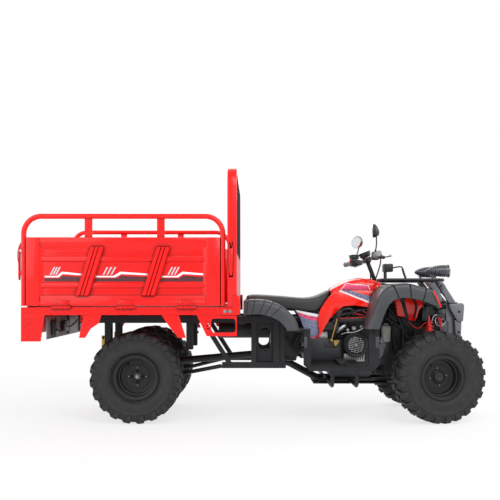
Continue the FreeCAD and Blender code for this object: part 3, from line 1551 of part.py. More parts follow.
winch_x = cell.front_post_x + brace_r + cell.winch_radius + gap
winch = keep("winch", turned("Winch", [
    (-cell.winch_half, 0), (-cell.winch_half, cell.winch_radius * 0.8),
    (-cell.winch_drum_half - cell.winch_flange * 2, cell.winch_radius * 0.8),
    (-cell.winch_drum_half - cell.winch_flange * 2, cell.winch_radius),
    (-cell.winch_drum_half, cell.winch_radius),
    (-cell.winch_drum_half, cell.winch_radius * 0.65),
    (cell.winch_drum_half, cell.winch_radius * 0.65),
    (cell.winch_drum_half, cell.winch_radius),
    (cell.winch_half - cell.winch_flange, cell.winch_radius),
    (cell.winch_half, cell.winch_radius - cell.winch_flange),
    (cell.winch_half, 0)], (winch_x, 0, cell.winch_z)))

# Steering: stem, handlebar, controls and mirrors, turned to the rest angle together

rake = Rotation(AXES["Y"], -stem_rake)
stem_top = stem_foot + stem_axis * stem_length
swung = Placement(Vector(), Rotation(stem_axis, steer), stem_foot)


def swing_with_bars(name, shape):
    """A steering piece turned about the stem to the rest angle."""
    held = shape.copy()
    held.Placement = swung.multiply(held.Placement)
    return sheet_shape(name, held)


def on_stem(back, left, up):
    """A place given from the stem's top: back along the bars, to the left and up."""
    return stem_top + Vector(-float(back), float(left), float(up))


arm_back = rake.multVec(Vector(-1, 0, 0))
stem_shape = Part.makeCylinder(float(cell.stem_radius),
                               stem_length - float(cell.bar_radius * 2.4),
                               stem_foot, stem_axis)
arm_half = float(cell.steer_arm_width) / 2
pitman_reach = float(cell.steer_arm_length) / math.cos(math.radians(float(cell.stem_rake_angle)))
pitman_end = stem_foot + stem_axis * float(cell.pitman_thick) / 2 + arm_back * pitman_reach
pitman = Part.makeBox(pitman_reach, arm_half * 2, float(cell.pitman_thick),
                      Vector(-pitman_reach, -arm_half, 0))
pitman.Placement = Placement(stem_foot, rake)
pin = Part.makeCylinder(float(cell.tie_pin_radius), float(cell.tie_eye_height) * 3.2,
                        pitman_end - stem_axis * float(cell.tie_eye_height) * 3.2, stem_axis)
eye = Part.makeCylinder(arm_half, float(cell.pitman_thick),
                        pitman_end - stem_axis * float(cell.pitman_thick) / 2, stem_axis)
stem_shape = stem_shape.fuse([pitman, pin, eye]).removeSplitter()
steering_stem = keep("steering_stem", swing_with_bars("SteeringStem", stem_shape))

grip_start = cell.bar_half_width - cell.grip_length
bar_points = [
    on_stem(cell.bar_sweep, cell.bar_half_width, 0),
    on_stem(cell.bar_sweep * 0.4, grip_start * 0.85, 0),
    on_stem(0, cell.bar_rise * 1.3, -cell.bar_rise * 0.1),
    on_stem(0, -cell.bar_rise * 1.3, -cell.bar_rise * 0.1),
    on_stem(cell.bar_sweep * 0.4, -grip_start * 0.85, 0),
    on_stem(cell.bar_sweep, -cell.bar_half_width, 0)]
bar = tube("BarStraight", [(p.x, p.y, p.z) for p in bar_points], cell.bar_radius,
           cell.bar_radius * 2)
gauge = Part.makeCylinder(float(cell.gauge_radius), float(cell.gauge_height),
                          stem_top + stem_axis * float(cell.stem_radius), stem_axis)
clamp = Part.makeCylinder(float(cell.bar_radius) * 1.8, float(cell.bar_rise),
                          on_stem(0, -cell.bar_rise / 2, -cell.bar_rise * 0.1), AXES["Y"])
bar_shape = bar.Shape.copy()
dash_shape = clamp.fuse(gauge).cut(bar_shape).cut(stem_shape)
handlebar = keep("handlebar", swing_with_bars("Handlebar", bar_shape))
dashboard = keep("dashboard", swing_with_bars("Dashboard", dash_shape))

control_shapes, mirror_shapes = [], []
for label, side in SIDES:
    end = on_stem(cell.bar_sweep, side * cell.bar_half_width, 0)
    inner = on_stem(cell.bar_sweep * 0.4, side * grip_start * 0.85, 0)
    along = (inner - end).normalize()
    grip = Part.makeCylinder(float(cell.grip_radius), float(cell.grip_length), end, along)
    switch = Part.makeCylinder(float(cell.grip_radius) * 1.3, float(cell.grip_length) * 0.35,
                               end + along * float(cell.grip_length), along)
    control_shapes.append(grip.fuse(switch).cut(bar_shape))
    foot = end + along * float(cell.grip_length) * 1.2
    tip = Vector(foot.x, side * float(cell.mirror_y), float(cell.mirror_z)
                 - float(cell.mirror_half_height))
    stalk = Part.makeCylinder(float(cell.mirror_stem_radius), (tip - foot).Length, foot,
                              (tip - foot))
    glass = Part.makeBox(float(cell.mirror_deep), float(cell.mirror_half_width) * 2,
                         float(cell.mirror_half_height) * 2,
                         tip + Vector(-float(cell.mirror_deep) / 2,
                                      -float(cell.mirror_half_width), 0))
    glass = glass.makeFillet(float(cell.mirror_deep) * 0.4, glass.Edges)
    mirror_shapes.append(stalk.fuse(glass).cut(bar_shape).cut(control_shapes[-1]))
bar_controls = keep("bar_controls", swing_with_bars("BarControls",
                                                    Part.makeCompound(control_shapes)))
mirrors = keep("mirrors", swing_with_bars("Mirrors", Part.makeCompound(mirror_shapes)))

# Tie rods, each held at the stem's arm and loose round the knuckle's pin

rest_swing = Rotation(AXES["Z"], steer)
arm_level = (float(hub_z) + float(cell.steer_arm_rise) + float(cell.steer_arm_thick)
             + float(cell.tie_eye_gap))
held_pin = swung.multVec(pitman_end)
for label, side in SIDES:
    level = -float(cell.tie_eye_height) * (1.0 if side > 0 else 2.2)
    reach = rest_swing.multVec(Vector(-float(cell.steer_arm_length), 0, 0))
    outer = point(front_x, side * kingpin_y, 0) + reach
    outer.z = arm_level
    inner_centre = held_pin + stem_axis * level
    eye_high = float(cell.tie_eye_height)
    inner_eye = Part.makeCylinder(float(cell.tie_eye_radius), eye_high,
                                  inner_centre - stem_axis * eye_high / 2, stem_axis)
    outer_eye = Part.makeCylinder(float(cell.tie_eye_radius), eye_high, outer, AXES["Z"])
    far = outer + Vector(0, 0, eye_high / 2)
    run = far - inner_centre
    shaft = Part.makeCylinder(float(cell.tie_rod_radius) * 0.8, run.Length, inner_centre, run)
    inner_hole = Part.makeCylinder(float(cell.tie_pin_radius + cell.running_gap),
                                   eye_high * 4, inner_centre - stem_axis * eye_high * 2,
                                   stem_axis)
    outer_hole = Part.makeCylinder(float(cell.tie_pin_radius + cell.tie_eye_play), eye_high * 3,
                                   outer - Vector(0, 0, eye_high), AXES["Z"])
    rod_shape = shaft.fuse([inner_eye, outer_eye]).cut(inner_hole).cut(outer_hole)
    keep("tie_rod_" + label, sheet_shape("TieRod" + label.title(), rod_shape.removeSplitter()))

# Cargo bed: floor tray with its skirts, headboard, tail panel and brackets

bed_length = cell.bed_nose_x - cell.bed_tail_x
sheet_t = cell.bed_sheet
skirt_low = cell.bed_floor_z
floor_z = cell.bed_floor_z + cell.bed_skirt_height - sheet_t
bed_top = cell.bed_floor_z + cell.bed_skirt_height
bed_pieces = [
    box("BedPan", (cell.bed_tail_x, -cell.bed_half_width, floor_z),
        (bed_length, cell.bed_half_width * 2, sheet_t)),
    box("TreadSheet", (cell.bed_tail_x + cell.tread_inset,
                       cell.tread_inset - cell.bed_half_width, bed_top),
        (bed_length - cell.tread_inset * 2, (cell.bed_half_width - cell.tread_inset) * 2,
         cell.tread_sheet)),
    box("SkirtTail", (cell.bed_tail_x, -cell.bed_half_width, skirt_low),
        (sheet_t, cell.bed_half_width * 2, cell.bed_skirt_height)),
    box("SkirtNose", (cell.bed_nose_x - sheet_t, -cell.bed_half_width, skirt_low),
        (sheet_t, cell.bed_half_width * 2, cell.bed_skirt_height)),
]
for label, y in (("Left", cell.bed_half_width - sheet_t), ("Right", -cell.bed_half_width)):
    bed_pieces.append(box("Skirt" + label, (cell.bed_tail_x, y, skirt_low),
                          (bed_length, sheet_t, cell.bed_skirt_height)))
for label, y in (("Left", rail_in), ("Right", -cell.rail_outer_half)):
    bed_pieces.append(box("Bearer" + label, (cell.bed_tail_x, y, skirt_low),
                          (bed_length, cell.rail_wide, cell.bed_skirt_height - sheet_t)))
bed_floor = fuse("BedFloor", *bed_pieces)
pivot_hole = rod("PivotHole", "Y", (cell.bed_pivot_x, -cell.bed_half_width, cell.bed_pivot_z),
                 cell.hinge_radius + cell.running_gap, cell.bed_half_width * 2)
ear_in = cell.rail_outer_half + cell.seat_gap
ears = [
    box(name, (cell.bed_pivot_x - cell.hinge_radius * 2, y,
               cell.bed_pivot_z - cell.hinge_radius * 2),
        (cell.hinge_radius * 4, cell.hanger_thick,
         skirt_low - cell.bed_pivot_z + cell.hinge_radius * 2))
    for name, y in (("EarLeft", ear_in), ("EarRight", -ear_in - cell.hanger_thick))
]
bearer_ties = [
    box(name, (cell.bed_pivot_x - cell.hinge_radius * 2, y, skirt_low),
        (cell.hinge_radius * 4, cell.hanger_thick + cell.seat_gap, cell.hanger_thick))
    for name, y in (("EarTieLeft", cell.rail_outer_half),
                    ("EarTieRight", -ear_in - cell.hanger_thick))
]
GATE_HINGES = (("Tail", cell.rear_hinge_x), ("Middle", cell.middle_hinge_x),
               ("Nose", cell.front_hinge_x))
hinge_y = cell.bed_half_width + cell.hinge_radius + gap
hinge_z = cell.gate_bottom_z - cell.hinge_drop
ear_half = cell.hinge_pin_radius * 1.6


def side_hinge(name, x):
    """A hinge pin along the skirt between two ears, ready for a gate's barrel."""
    pin_x = x - cell.hub_gap - cell.hinge_ear
    pieces = [rod("Pin" + name, "X", (pin_x, hinge_y, hinge_z), cell.hinge_pin_radius,
                  cell.gate_hinge_length + (cell.hub_gap + cell.hinge_ear) * 2)]
    for end, ear_x in (("A", pin_x), ("B", x + cell.gate_hinge_length + cell.hub_gap)):
        pieces.append(box("Ear" + end + name,
                          (ear_x, cell.bed_half_width, hinge_z - ear_half),
                          (cell.hinge_ear, cell.hinge_radius + gap + ear_half,
                           ear_half * 2)))
    return pieces


side_pins = [piece for name, x in GATE_HINGES for piece in side_hinge(name, x)]
other_pins = [mirror(piece.Name + "Twin", piece) for piece in side_pins]
tail_hinge_x = cell.bed_tail_x - cell.hinge_radius - gap
tail_hinge_half = cell.gate_hinge_length / 2
TAIL_HINGES = (("Left", cell.tail_hinge_y), ("Right", -cell.tail_hinge_y))
tail_pins = []
for name, y in TAIL_HINGES:
    low = y - tail_hinge_half
    reach = cell.hub_gap + cell.hinge_ear
    tail_pins.append(rod("TailPin" + name, "Y", (tail_hinge_x, low - reach, hinge_z),
                         cell.hinge_pin_radius, cell.gate_hinge_length + reach * 2))
    for end, ear_y in (("A", low - reach), ("B", y + tail_hinge_half + cell.hub_gap)):
        tail_pins.append(box("TailEar" + end + name,
                             (tail_hinge_x - ear_half, ear_y, hinge_z - ear_half),
                             (cell.bed_tail_x - tail_hinge_x + ear_half, cell.hinge_ear,
                              ear_half * 2)))
bed_floor = keep("bed_floor", cut("BedTray", fuse(
    "BedWithEars", bed_floor, *ears, *bearer_ties, *side_pins, *other_pins, *tail_pins),
    pivot_hole))
arch_low = bed_top - cell.headboard_corner * 2


def arch_block(name, inset, rounding):
    """The arch's outline, inset all round, as a block as wide as its posts."""
    half = cell.bed_half_width - inset
    top = cell.headboard_top_z - inset
    return plate(name, YZ, [(-half, arch_low), (half, arch_low), (half, top), (-half, top)],
                 cell.headboard_post_x, cell.headboard_post_wide, rounding)


arch_foot = box("ArchFoot", (cell.headboard_post_x, -cell.bed_half_width, arch_low),
                (cell.headboard_post_wide, cell.bed_half_width * 2, bed_top - arch_low))
head_arch = cut("HeadArch", arch_block("ArchOuter", 0, cell.headboard_corner),
                arch_block("ArchInner", cell.headboard_post_deep,
                           cell.headboard_corner - cell.headboard_post_deep),
                arch_foot)
head_front_x = cell.headboard_post_x + cell.headboard_post_wide
head_in = cell.bed_half_width - cell.headboard_post_deep / 2
head_sheet = box("HeadSheet", (head_front_x - sheet_t, -head_in, bed_top),
                 (sheet_t, head_in * 2, cell.headboard_sheet_top_z - bed_top))
wire = cell.mesh_wire
mesh_columns, mesh_rows = int(float(cell.mesh_column_count)), int(float(cell.mesh_row_count))
mesh_low = cell.headboard_sheet_top_z
mesh_reach = cell.headboard_top_z - cell.headboard_corner - mesh_low
mesh = [
    box(f"MeshColumn{number}",
        (head_front_x - wire, -cell.mesh_half + cell.mesh_half * 2 * number
         / (mesh_columns - 1), mesh_low - wire),
        (wire, wire, cell.headboard_top_z - cell.headboard_post_deep / 2 - mesh_low + wire))
    for number in range(mesh_columns)
]
mesh += [
    box(f"MeshRow{number}",
        (head_front_x - wire * 1.5, -head_in, mesh_low + mesh_reach * (number + 1) / mesh_rows),
        (wire, head_in * 2, wire))
    for number in range(mesh_rows)
]
headboard = keep("headboard", fuse("Headboard", head_arch, head_sheet, *mesh))

corner_plate = plate("CornerPlate", XZ, [
    (cell.bed_tail_x, skirt_low),
    (cell.bed_tail_x + cell.corner_plate_wide, skirt_low),
    (cell.bed_tail_x + cell.corner_plate_foot, cell.corner_plate_bottom_z),
    (cell.bed_tail_x, cell.corner_plate_bottom_z),
], cell.bed_half_width - sheet_t, sheet_t)
tail_cross = box("TailCross",
                 (cell.bed_tail_x, -cell.bed_half_width + sheet_t,
                  cell.tail_panel_bottom_z),
                 (cell.tail_panel_thick, (cell.bed_half_width - sheet_t) * 2,
                  skirt_low - cell.tail_panel_bottom_z))
tail_panel = keep("tail_panel", fuse("TailPanel", corner_plate,
                                     mirror("CornerPlateTwin", corner_plate), tail_cross))


guard_y = cell.bed_half_width - sheet_t - cell.guard_thick
bracket_top = skirt_low + cell.bracket_lap


def guard(name, x):
    """A curved stay plate that hangs under the skirt over the rear tyre."""
    return plate(name, XZ, [
        (x, bracket_top),
        (x + cell.guard_wide, bracket_top),
        (x + cell.guard_wide * 0.80, skirt_low - cell.guard_wide * 0.45),
        (x + cell.guard_wide * 0.35, skirt_low - cell.guard_wide * 0.75),
        (x + cell.guard_wide * 0.05, cell.guard_foot_z),
        (x - cell.guard_wide * 0.28, cell.guard_foot_z),
    ], guard_y, cell.guard_thick)


rear_guard = guard("RearGuard", cell.guard_rear_x)
step_window = plate("StepWindow", XZ, [
    (cell.step_window_tail_x, cell.step_window_top_z),
    (cell.step_window_nose_x, cell.step_window_top_z),
    (cell.step_window_nose_x, cell.step_window_low_z),
    (cell.step_window_tail_x, cell.step_window_low_z),
], guard_y, cell.step_thick, cell.step_window_round)
step_slots = [
    box(f"StepSlot{number}",
        (cell.step_window_tail_x - cell.step_slot * 3,
         guard_y, cell.step_window_low_z + cell.step_slot * 2 * (number + 1)),
        (cell.step_slot * 2, cell.step_thick, cell.step_slot))
    for number in range(3)
]
step_plate = cut("StepPlate", plate("StepSheet", XZ, [
    (cell.step_tail_x, bracket_top),
    (cell.step_nose_x, bracket_top),
    (cell.step_nose_x, cell.step_bottom_z),
    (cell.step_tail_x + cell.corner_plate_wide / 2, cell.step_bottom_z),
], guard_y, cell.step_thick), step_window, *step_slots)
front_guard = plate("FrontGuard", XZ, [
    (cell.guard_front_x, bracket_top),
    (cell.guard_front_x + cell.guard_wide, bracket_top),
    (cell.guard_front_x + cell.guard_wide * 1.45, cell.guard_foot_z),
    (cell.guard_front_x + cell.guard_wide * 1.05, cell.guard_foot_z),
    (cell.guard_front_x + cell.guard_wide * 0.60, skirt_low - cell.guard_wide * 0.70),
], guard_y, cell.guard_thick)
bed_brackets = keep("bed_brackets", group(
    "BedBrackets", rear_guard, front_guard, step_plate,
    mirror("RearGuardTwin", rear_guard), mirror("FrontGuardTwin", front_guard),
    mirror("StepPlateTwin", step_plate)))

# Side gates with their hoops, and the tailgate

gate_out = cell.bed_half_width
gate_in = gate_out - cell.gate_frame_thick
gate_long = gate_nose_x - gate_tail_x
gate_high = cell.gate_top_z - cell.gate_bottom_z
skin_y = gate_out - cell.gate_frame_thick / 2 - cell.gate_sheet / 2
gate_solids = [
    box("GateStileTail", (gate_tail_x, gate_in, cell.gate_bottom_z),
        (cell.gate_stile, cell.gate_frame_thick, gate_high)),
    box("GateStileNose", (gate_nose_x - cell.gate_stile, gate_in, cell.gate_bottom_z),
        (cell.gate_stile, cell.gate_frame_thick, gate_high)),
    box("GateTop", (gate_tail_x, gate_in, cell.gate_top_z - cell.gate_top_rail),
        (gate_long, cell.gate_frame_thick, cell.gate_top_rail)),
    box("GateBottom", (gate_tail_x, gate_in, cell.gate_bottom_z),
        (gate_long, cell.gate_frame_thick, cell.gate_bottom_rail)),
    box("GateSkin", (gate_tail_x, skin_y, cell.gate_bottom_z),
        (gate_long, cell.gate_sheet, gate_high)),
]
for name, z in (("RidgeLow", cell.ridge_low_z), ("RidgeHigh", cell.ridge_high_z)):
    gate_solids.append(box(name, (gate_tail_x + cell.gate_stile, skin_y, z),
                           (gate_long - cell.gate_stile * 2, cell.ridge_proud,
                            cell.ridge_height)))
rib_grooves = []
for name, x in (("RearRib", cell.rear_rib_x), ("FrontRib", cell.front_rib_x)):
    low = cell.gate_bottom_z + cell.gate_bottom_rail
    high = cell.gate_top_z - cell.gate_top_rail
    gate_solids.append(plate(name, XZ, [
        (x, low), (x + cell.rib_wide, low),
        (x + cell.rib_wide + cell.rib_lean, high), (x + cell.rib_lean, high),
    ], skin_y, gate_out - skin_y))
    for number, share in enumerate((0.32, 0.60)):
        foot = x + cell.rib_wide * share
        rib_grooves.append(plate(f"{name}Groove{number}", XZ, [
            (foot, low), (foot + cell.rib_groove, low),
            (foot + cell.rib_groove + cell.rib_lean, high), (foot + cell.rib_lean, high),
        ], gate_out - cell.rib_groove / 2, cell.rib_groove / 2))

for name, x in GATE_HINGES:
    gate_solids.append(rod("Barrel" + name, "X", (x, hinge_y, hinge_z), cell.hinge_radius,
                           cell.gate_hinge_length))
    gate_solids.append(box("Strap" + name, (x, gate_out, hinge_z),
                           (cell.gate_hinge_length, sheet_t,
                            cell.hinge_drop + cell.gate_bottom_rail / 2)))
gate_bores = [
    rod("Bore" + name, "X", (x, hinge_y, hinge_z), cell.hinge_pin_radius + cell.running_gap,
        cell.gate_hinge_length)
    for name, x in GATE_HINGES
]
gate = cut("SideGate", fuse("SideGateBody", *gate_solids), *gate_bores, *rib_grooves)

hoop = tube("Hoop", [
    (cell.hoop_tail_x + cell.hoop_radius, gate_out - cell.hoop_radius, cell.gate_bottom_z),
    (cell.hoop_tail_x + cell.hoop_radius, gate_out - cell.hoop_radius,
     cell.hoop_top_z - cell.hoop_radius),
    (cell.hoop_nose_x - cell.hoop_radius, gate_out - cell.hoop_radius,
     cell.hoop_top_z - cell.hoop_radius),
    (cell.hoop_nose_x - cell.hoop_radius, gate_out - cell.hoop_radius, cell.gate_bottom_z)],
    cell.hoop_radius, cell.hoop_corner)
hoop_posts = [
    box(name, (x, gate_out - cell.hoop_radius - cell.rail_post_thick / 2, cell.gate_top_z),
        (cell.rail_post_wide, cell.rail_post_thick,
         cell.hoop_top_z - cell.hoop_radius - cell.gate_top_z))
    for name, x in (("HoopPostTail", cell.rear_rail_post_x),
                    ("HoopPostNose", cell.front_rail_post_x))
]
side_rail = fuse("SideRail", hoop, *hoop_posts)
keep("side_gate_left", gate)
keep("side_gate_right", mirror("SideGateTwin", gate))
keep("side_rail_left", side_rail)
keep("side_rail_right", mirror("SideRailTwin", side_rail))

tail_half = gate_in - cell.hoop_radius
tail_x = cell.bed_tail_x
tail_frame = [
    box("TailSkin", (tail_x + cell.gate_frame_thick / 2, -tail_half, cell.gate_bottom_z),
        (cell.gate_sheet, tail_half * 2, gate_high)),
    box("TailTop", (tail_x, -tail_half, cell.gate_top_z - cell.gate_top_rail),
        (cell.gate_frame_thick, tail_half * 2, cell.gate_top_rail)),
    box("TailBottom", (tail_x, -tail_half, cell.gate_bottom_z),
        (cell.gate_frame_thick, tail_half * 2, cell.gate_bottom_rail)),
    box("TailStileRight", (tail_x, -tail_half, cell.gate_bottom_z),
        (cell.gate_frame_thick, cell.gate_stile, gate_high)),
    box("TailStileLeft", (tail_x, tail_half - cell.gate_stile, cell.gate_bottom_z),
        (cell.gate_frame_thick, cell.gate_stile, gate_high)),
]
for name, side in SIDES:
    tail_frame.append(box("TailLatch" + name.title(),
                          (cell.tail_latch_x, side * (cell.bed_half_width - cell.tail_latch_inset)
                           - cell.latch_half,
                           cell.latch_low_z),
                          (tail_x - cell.tail_latch_x, cell.latch_half * 2,
                           cell.latch_high_z - cell.latch_low_z)))
tail_bores = []
for name, y in TAIL_HINGES:
    low = y - tail_hinge_half
    tail_frame.append(rod("TailBarrel" + name, "Y", (tail_hinge_x, low, hinge_z),
                          cell.hinge_radius, cell.gate_hinge_length))
    tail_frame.append(box("TailStrap" + name, (tail_x - sheet_t, low, hinge_z),
                          (sheet_t, cell.gate_hinge_length,
                           cell.hinge_drop + cell.gate_bottom_rail / 2)))
    tail_bores.append(rod("TailBore" + name, "Y", (tail_hinge_x, low, hinge_z),
                          cell.hinge_pin_radius + cell.running_gap, cell.gate_hinge_length))
tailgate = keep("tailgate", cut("Tailgate", fuse("TailgateBody", *tail_frame), *tail_bores))

# Check every object and write the pieces

doc.recompute()
failed = [o.Name for o in doc.Objects if "Invalid" in o.State or "Error" in o.State]
broken = [o.Label for o in nodes if o.Shape.isNull() or not o.Shape.isValid()]
if failed or broken:
    raise RuntimeError(f"failed objects: {failed}; broken pieces: {broken}")
os.makedirs("parts", exist_ok=True)
for piece in nodes:
    piece.Shape.exportStep(f"parts/{piece.Label}.step")
print(f"{len(nodes)} pieces written")
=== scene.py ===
"""Farm quad bike with a red tipping cargo bed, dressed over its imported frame.

Lengths are in metres: +X forwards, +Y to the rider's left, +Z up, ground at Z 0.
"""

from __future__ import annotations

import logging
import math
from collections.abc import Iterable, Iterator, Sequence
from contextlib import contextmanager
from dataclasses import dataclass
from enum import Enum

import bmesh
import bpy
from mathutils import Matrix, Vector
from mathutils.geometry import interpolate_bezier


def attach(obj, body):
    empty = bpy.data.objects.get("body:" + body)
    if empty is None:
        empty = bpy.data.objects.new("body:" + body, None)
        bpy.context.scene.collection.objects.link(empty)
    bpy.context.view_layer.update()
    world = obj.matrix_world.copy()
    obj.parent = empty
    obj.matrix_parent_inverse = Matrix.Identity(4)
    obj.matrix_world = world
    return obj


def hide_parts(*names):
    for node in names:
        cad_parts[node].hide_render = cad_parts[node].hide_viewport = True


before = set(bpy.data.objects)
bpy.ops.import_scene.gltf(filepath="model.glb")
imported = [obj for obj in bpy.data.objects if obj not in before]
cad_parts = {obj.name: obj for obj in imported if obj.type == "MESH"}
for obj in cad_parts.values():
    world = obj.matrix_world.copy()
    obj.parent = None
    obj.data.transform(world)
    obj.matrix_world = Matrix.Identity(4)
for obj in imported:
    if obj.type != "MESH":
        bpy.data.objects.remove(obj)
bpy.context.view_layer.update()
LOG = logging.getLogger("farm_quad")

MM = 0.001
SIDES = (("left", 1), ("right", -1))
WHITE = (1.0, 1.0, 1.0, 1.0)
Point = Sequence[float]
Outline = Sequence[tuple[float, float]]


# Finishes


def linear(colour: str) -> tuple[float, float, float, float]:
    """Turns an sRGB hex colour into linear light.

    Args:
        colour: six hex digits with a leading hash.

    Returns:
        Red, green, blue and an alpha of 1.
    """
    parts = [int(colour[at:at + 2], 16) / 255 for at in (1, 3, 5)]
    return (*(c / 12.92 if c <= 0.04045 else ((c + 0.055) / 1.055) ** 2.4 for c in parts), 1.0)


def add_node(tree: bpy.types.NodeTree, kind: str, settings: dict | None = None,
             links: dict | None = None) -> bpy.types.Node:
    """Adds one node, sets its properties and sockets, and links its inputs.

    Args:
        tree: the node tree it goes into.
        kind: the node's Blender type.
        settings: property names or input socket names with their values.
        links: input socket names with the output sockets that feed them.

    Returns:
        The new node.
    """
    node = tree.nodes.new(kind)
    for name, value in (settings or {}).items():
        if isinstance(name, str) and hasattr(node, name):
            setattr(node, name, value)
        else:
            node.inputs[name].default_value = value
    for name, socket in (links or {}).items():
        tree.links.new(socket, node.inputs[name])
    return node


def linked(name: str, data: bpy.types.ID) -> bpy.types.Object:
    """Makes an object that shows some data, and links it to the scene."""
    thing = bpy.data.objects.new(name, data)
    bpy.context.scene.collection.objects.link(thing)
    return thing


class Grain(Enum):
    """The shape of a surface's fine relief."""

    PEBBLED = "moulded, cast or sprayed"
    HIDE = "embossed hide"


# How every finish is mottled and smeared, and darkened with painted shade in its corners, in sockets of
# the shader nodes
CLOUD = {"Detail": 5.0, "Roughness": 0.65}
PORES = {"Detail": 3.0, "Roughness": 0.6}
SMEARED = {"From Min": 0.35, "From Max": 0.7}
GLOSSIEST, DULLEST = 0.85, 1.2
SOFT_FADE = {"From Min": 0.38, "From Max": 0.72, "To Max": 0.75}
HARD_FADE = {"From Min": 0.5, "From Max": 0.54, "To Max": 1.0}
# Painted shade: ambient occlusion darkens the colour in corners and crevices
CORNER = {"samples": 8, "Distance": 0.026}
CORNER_SHADE_RANGE = {"From Min": 0.55, "From Max": 0.96}
COAT_ROUGHNESS, BUMP_STRENGTH = 0.05, 0.6
MIX_SHARE, MIX_A, MIX_B, MIX_COLOUR = 0, 6, 7, 2


@dataclass(frozen=True)
class Finish:
    """One surface finish of the machine."""

    name: str
    colour: str
    roughness: float
    metallic: float = 0.0
    coat: float = 0.0
    ior: float = 1.5
    grain: Grain = Grain.PEBBLED
    grain_mm: float = 2.0
    depth: float = 0.0
    fade: str = ""
    fade_mm: float = 110.0
    hard: bool = False
    # How strongly painted shade darkens the colour in corners
    corner_shade: float = 0.72
    clear: float = 0.0
    painted_glow: float = 0.0

    def material(self) -> bpy.types.Material:
        """The Blender material of this finish, made once."""
        known = bpy.data.materials.get(self.name)
        if known:
            return known
        material = bpy.data.materials.new(self.name)
        material.use_nodes = True
        tree = material.node_tree
        shader = tree.nodes["Principled BSDF"]
        settings = {
            "Base Color": linear(self.colour), "Roughness": self.roughness,
            "Metallic": self.metallic, "Coat Weight": self.coat, "Coat Roughness": COAT_ROUGHNESS,
            "Transmission Weight": self.clear,
        }
        if not self.metallic:
            settings["IOR"] = self.ior
        # A glow in the finish's own colour is painted light, here a painted reflection
        if self.painted_glow:
            settings["Emission Color"] = linear(self.colour)
            settings["Emission Strength"] = self.painted_glow
        for name, value in settings.items():
            shader.inputs[name].default_value = value
        self.texture(tree, shader)
        return material

    def texture(self, tree: bpy.types.NodeTree, shader: bpy.types.Node) -> None:
        """Adds the finish's grain, faded patches, smears and painted shade in its corners.

        Args:
            tree: the material's node tree.
            shader: its Principled shader.
        """
        at = add_node(tree, "ShaderNodeTexCoord").outputs["Object"]
        cloud = add_node(tree, "ShaderNodeTexNoise", {"Scale": 1 / (self.fade_mm * MM), **CLOUD},
                         {"Vector": at}).outputs["Fac"]
        smear = add_node(tree, "ShaderNodeMapRange",
                         {**SMEARED, "To Min": self.roughness * GLOSSIEST,
                          "To Max": min(self.roughness * DULLEST, 1.0)}, {"Value": cloud})
        tree.links.new(smear.outputs["Result"], shader.inputs["Roughness"])
        level = add_node(tree, "ShaderNodeMapRange", HARD_FADE if self.hard else SOFT_FADE,
                         {"Value": cloud})
        faded = add_node(tree, "ShaderNodeMix",
                         {"data_type": "RGBA", MIX_A: linear(self.colour),
                          MIX_B: linear(self.fade or self.colour)},
                         {MIX_SHARE: level.outputs["Result"]})
        if not self.clear:
            # Painted shade: the colour is darkened where ambient occlusion finds a corner or crevice
            corner = add_node(tree, "ShaderNodeAmbientOcclusion", CORNER)
            dark = add_node(tree, "ShaderNodeMapRange",
                            {**CORNER_SHADE_RANGE, "To Min": 1.0 - self.corner_shade},
                            {"Value": corner.outputs["AO"]})
            corner_shaded = add_node(tree, "ShaderNodeMix",
                            {"data_type": "RGBA", "blend_type": "MULTIPLY", MIX_SHARE: 1.0},
                            {MIX_A: faded.outputs[MIX_COLOUR], MIX_B: dark.outputs["Result"]})
            tree.links.new(corner_shaded.outputs[MIX_COLOUR], shader.inputs["Base Color"])
        if self.depth:
            scale = {"Scale": 1 / (self.grain_mm * MM)}
            if self.grain is Grain.HIDE:
                cells = add_node(tree, "ShaderNodeTexVoronoi",
                                 {"feature": "DISTANCE_TO_EDGE", **scale}, {"Vector": at})
            else:
                cells = add_node(tree, "ShaderNodeTexNoise", {**scale, **PORES}, {"Vector": at})
            bump = add_node(tree, "ShaderNodeBump",
                            {"Strength": BUMP_STRENGTH, "Distance": self.depth * MM},
                            {"Height": cells.outputs[0]})
            tree.links.new(bump.outputs["Normal"], shader.inputs["Normal"])


# Stoved enamel over pressed steel: glossy, a hard clean highlight
BED_ENAMEL = Finish("bed_enamel", "#F00A06", 0.34, coat=0.2, ior=1.38, fade="#D60A08", grain_mm=2.5,
                    depth=0.02)
# Spray paint on rolled tube: as glossy as the bed
TUBE_ENAMEL = Finish("tube_enamel", "#F40E08", 0.3, coat=0.2, ior=1.4, fade="#DC0C0A", grain_mm=2.0,
                     depth=0.02)
# Injection-moulded ABS in body colour: glossy with a soft edge to its highlight
BODY_ABS = Finish("body_abs", "#FA1A06", 0.2, coat=0.35, ior=1.42, fade="#F01208", grain_mm=6.0,
                  depth=0.02)
# Textured polypropylene: a pebbled dull grey
FLARE_PP = Finish("flare_polypropylene", "#36383C", 0.46, grain_mm=1.4, depth=0.25, fade="#434549")
# Moulded rubber: dull, a little dusty
TYRE_RUBBER = Finish("tyre_rubber", "#171719", 0.7, grain_mm=3.0, depth=0.3, fade="#363637",
                     fade_mm=42.0)
# Satin black paint on a pressed steel rim
RIM_PAINT = Finish("rim_paint", "#1C1D1F", 0.42, ior=1.4, fade="#232426", grain_mm=2.0, depth=0.03)
# Powder coat on frame tube: an even half gloss
POWDER_COAT = Finish("powder_coat", "#15161A", 0.44, ior=1.4, grain_mm=2.2, depth=0.08,
                     fade="#22232A")
# Oiled forged steel
FORGED_STEEL = Finish("forged_steel", "#2A2B2E", 0.45, metallic=0.6)
# Coated spring wire
SPRING_RED = Finish("spring_red", "#D0121A", 0.3, coat=0.3)
# Sand-cast alloy: dull and slightly rough
CAST_ALLOY = Finish("cast_alloy", "#46484B", 0.5, metallic=0.7, grain_mm=2.5, depth=0.3)
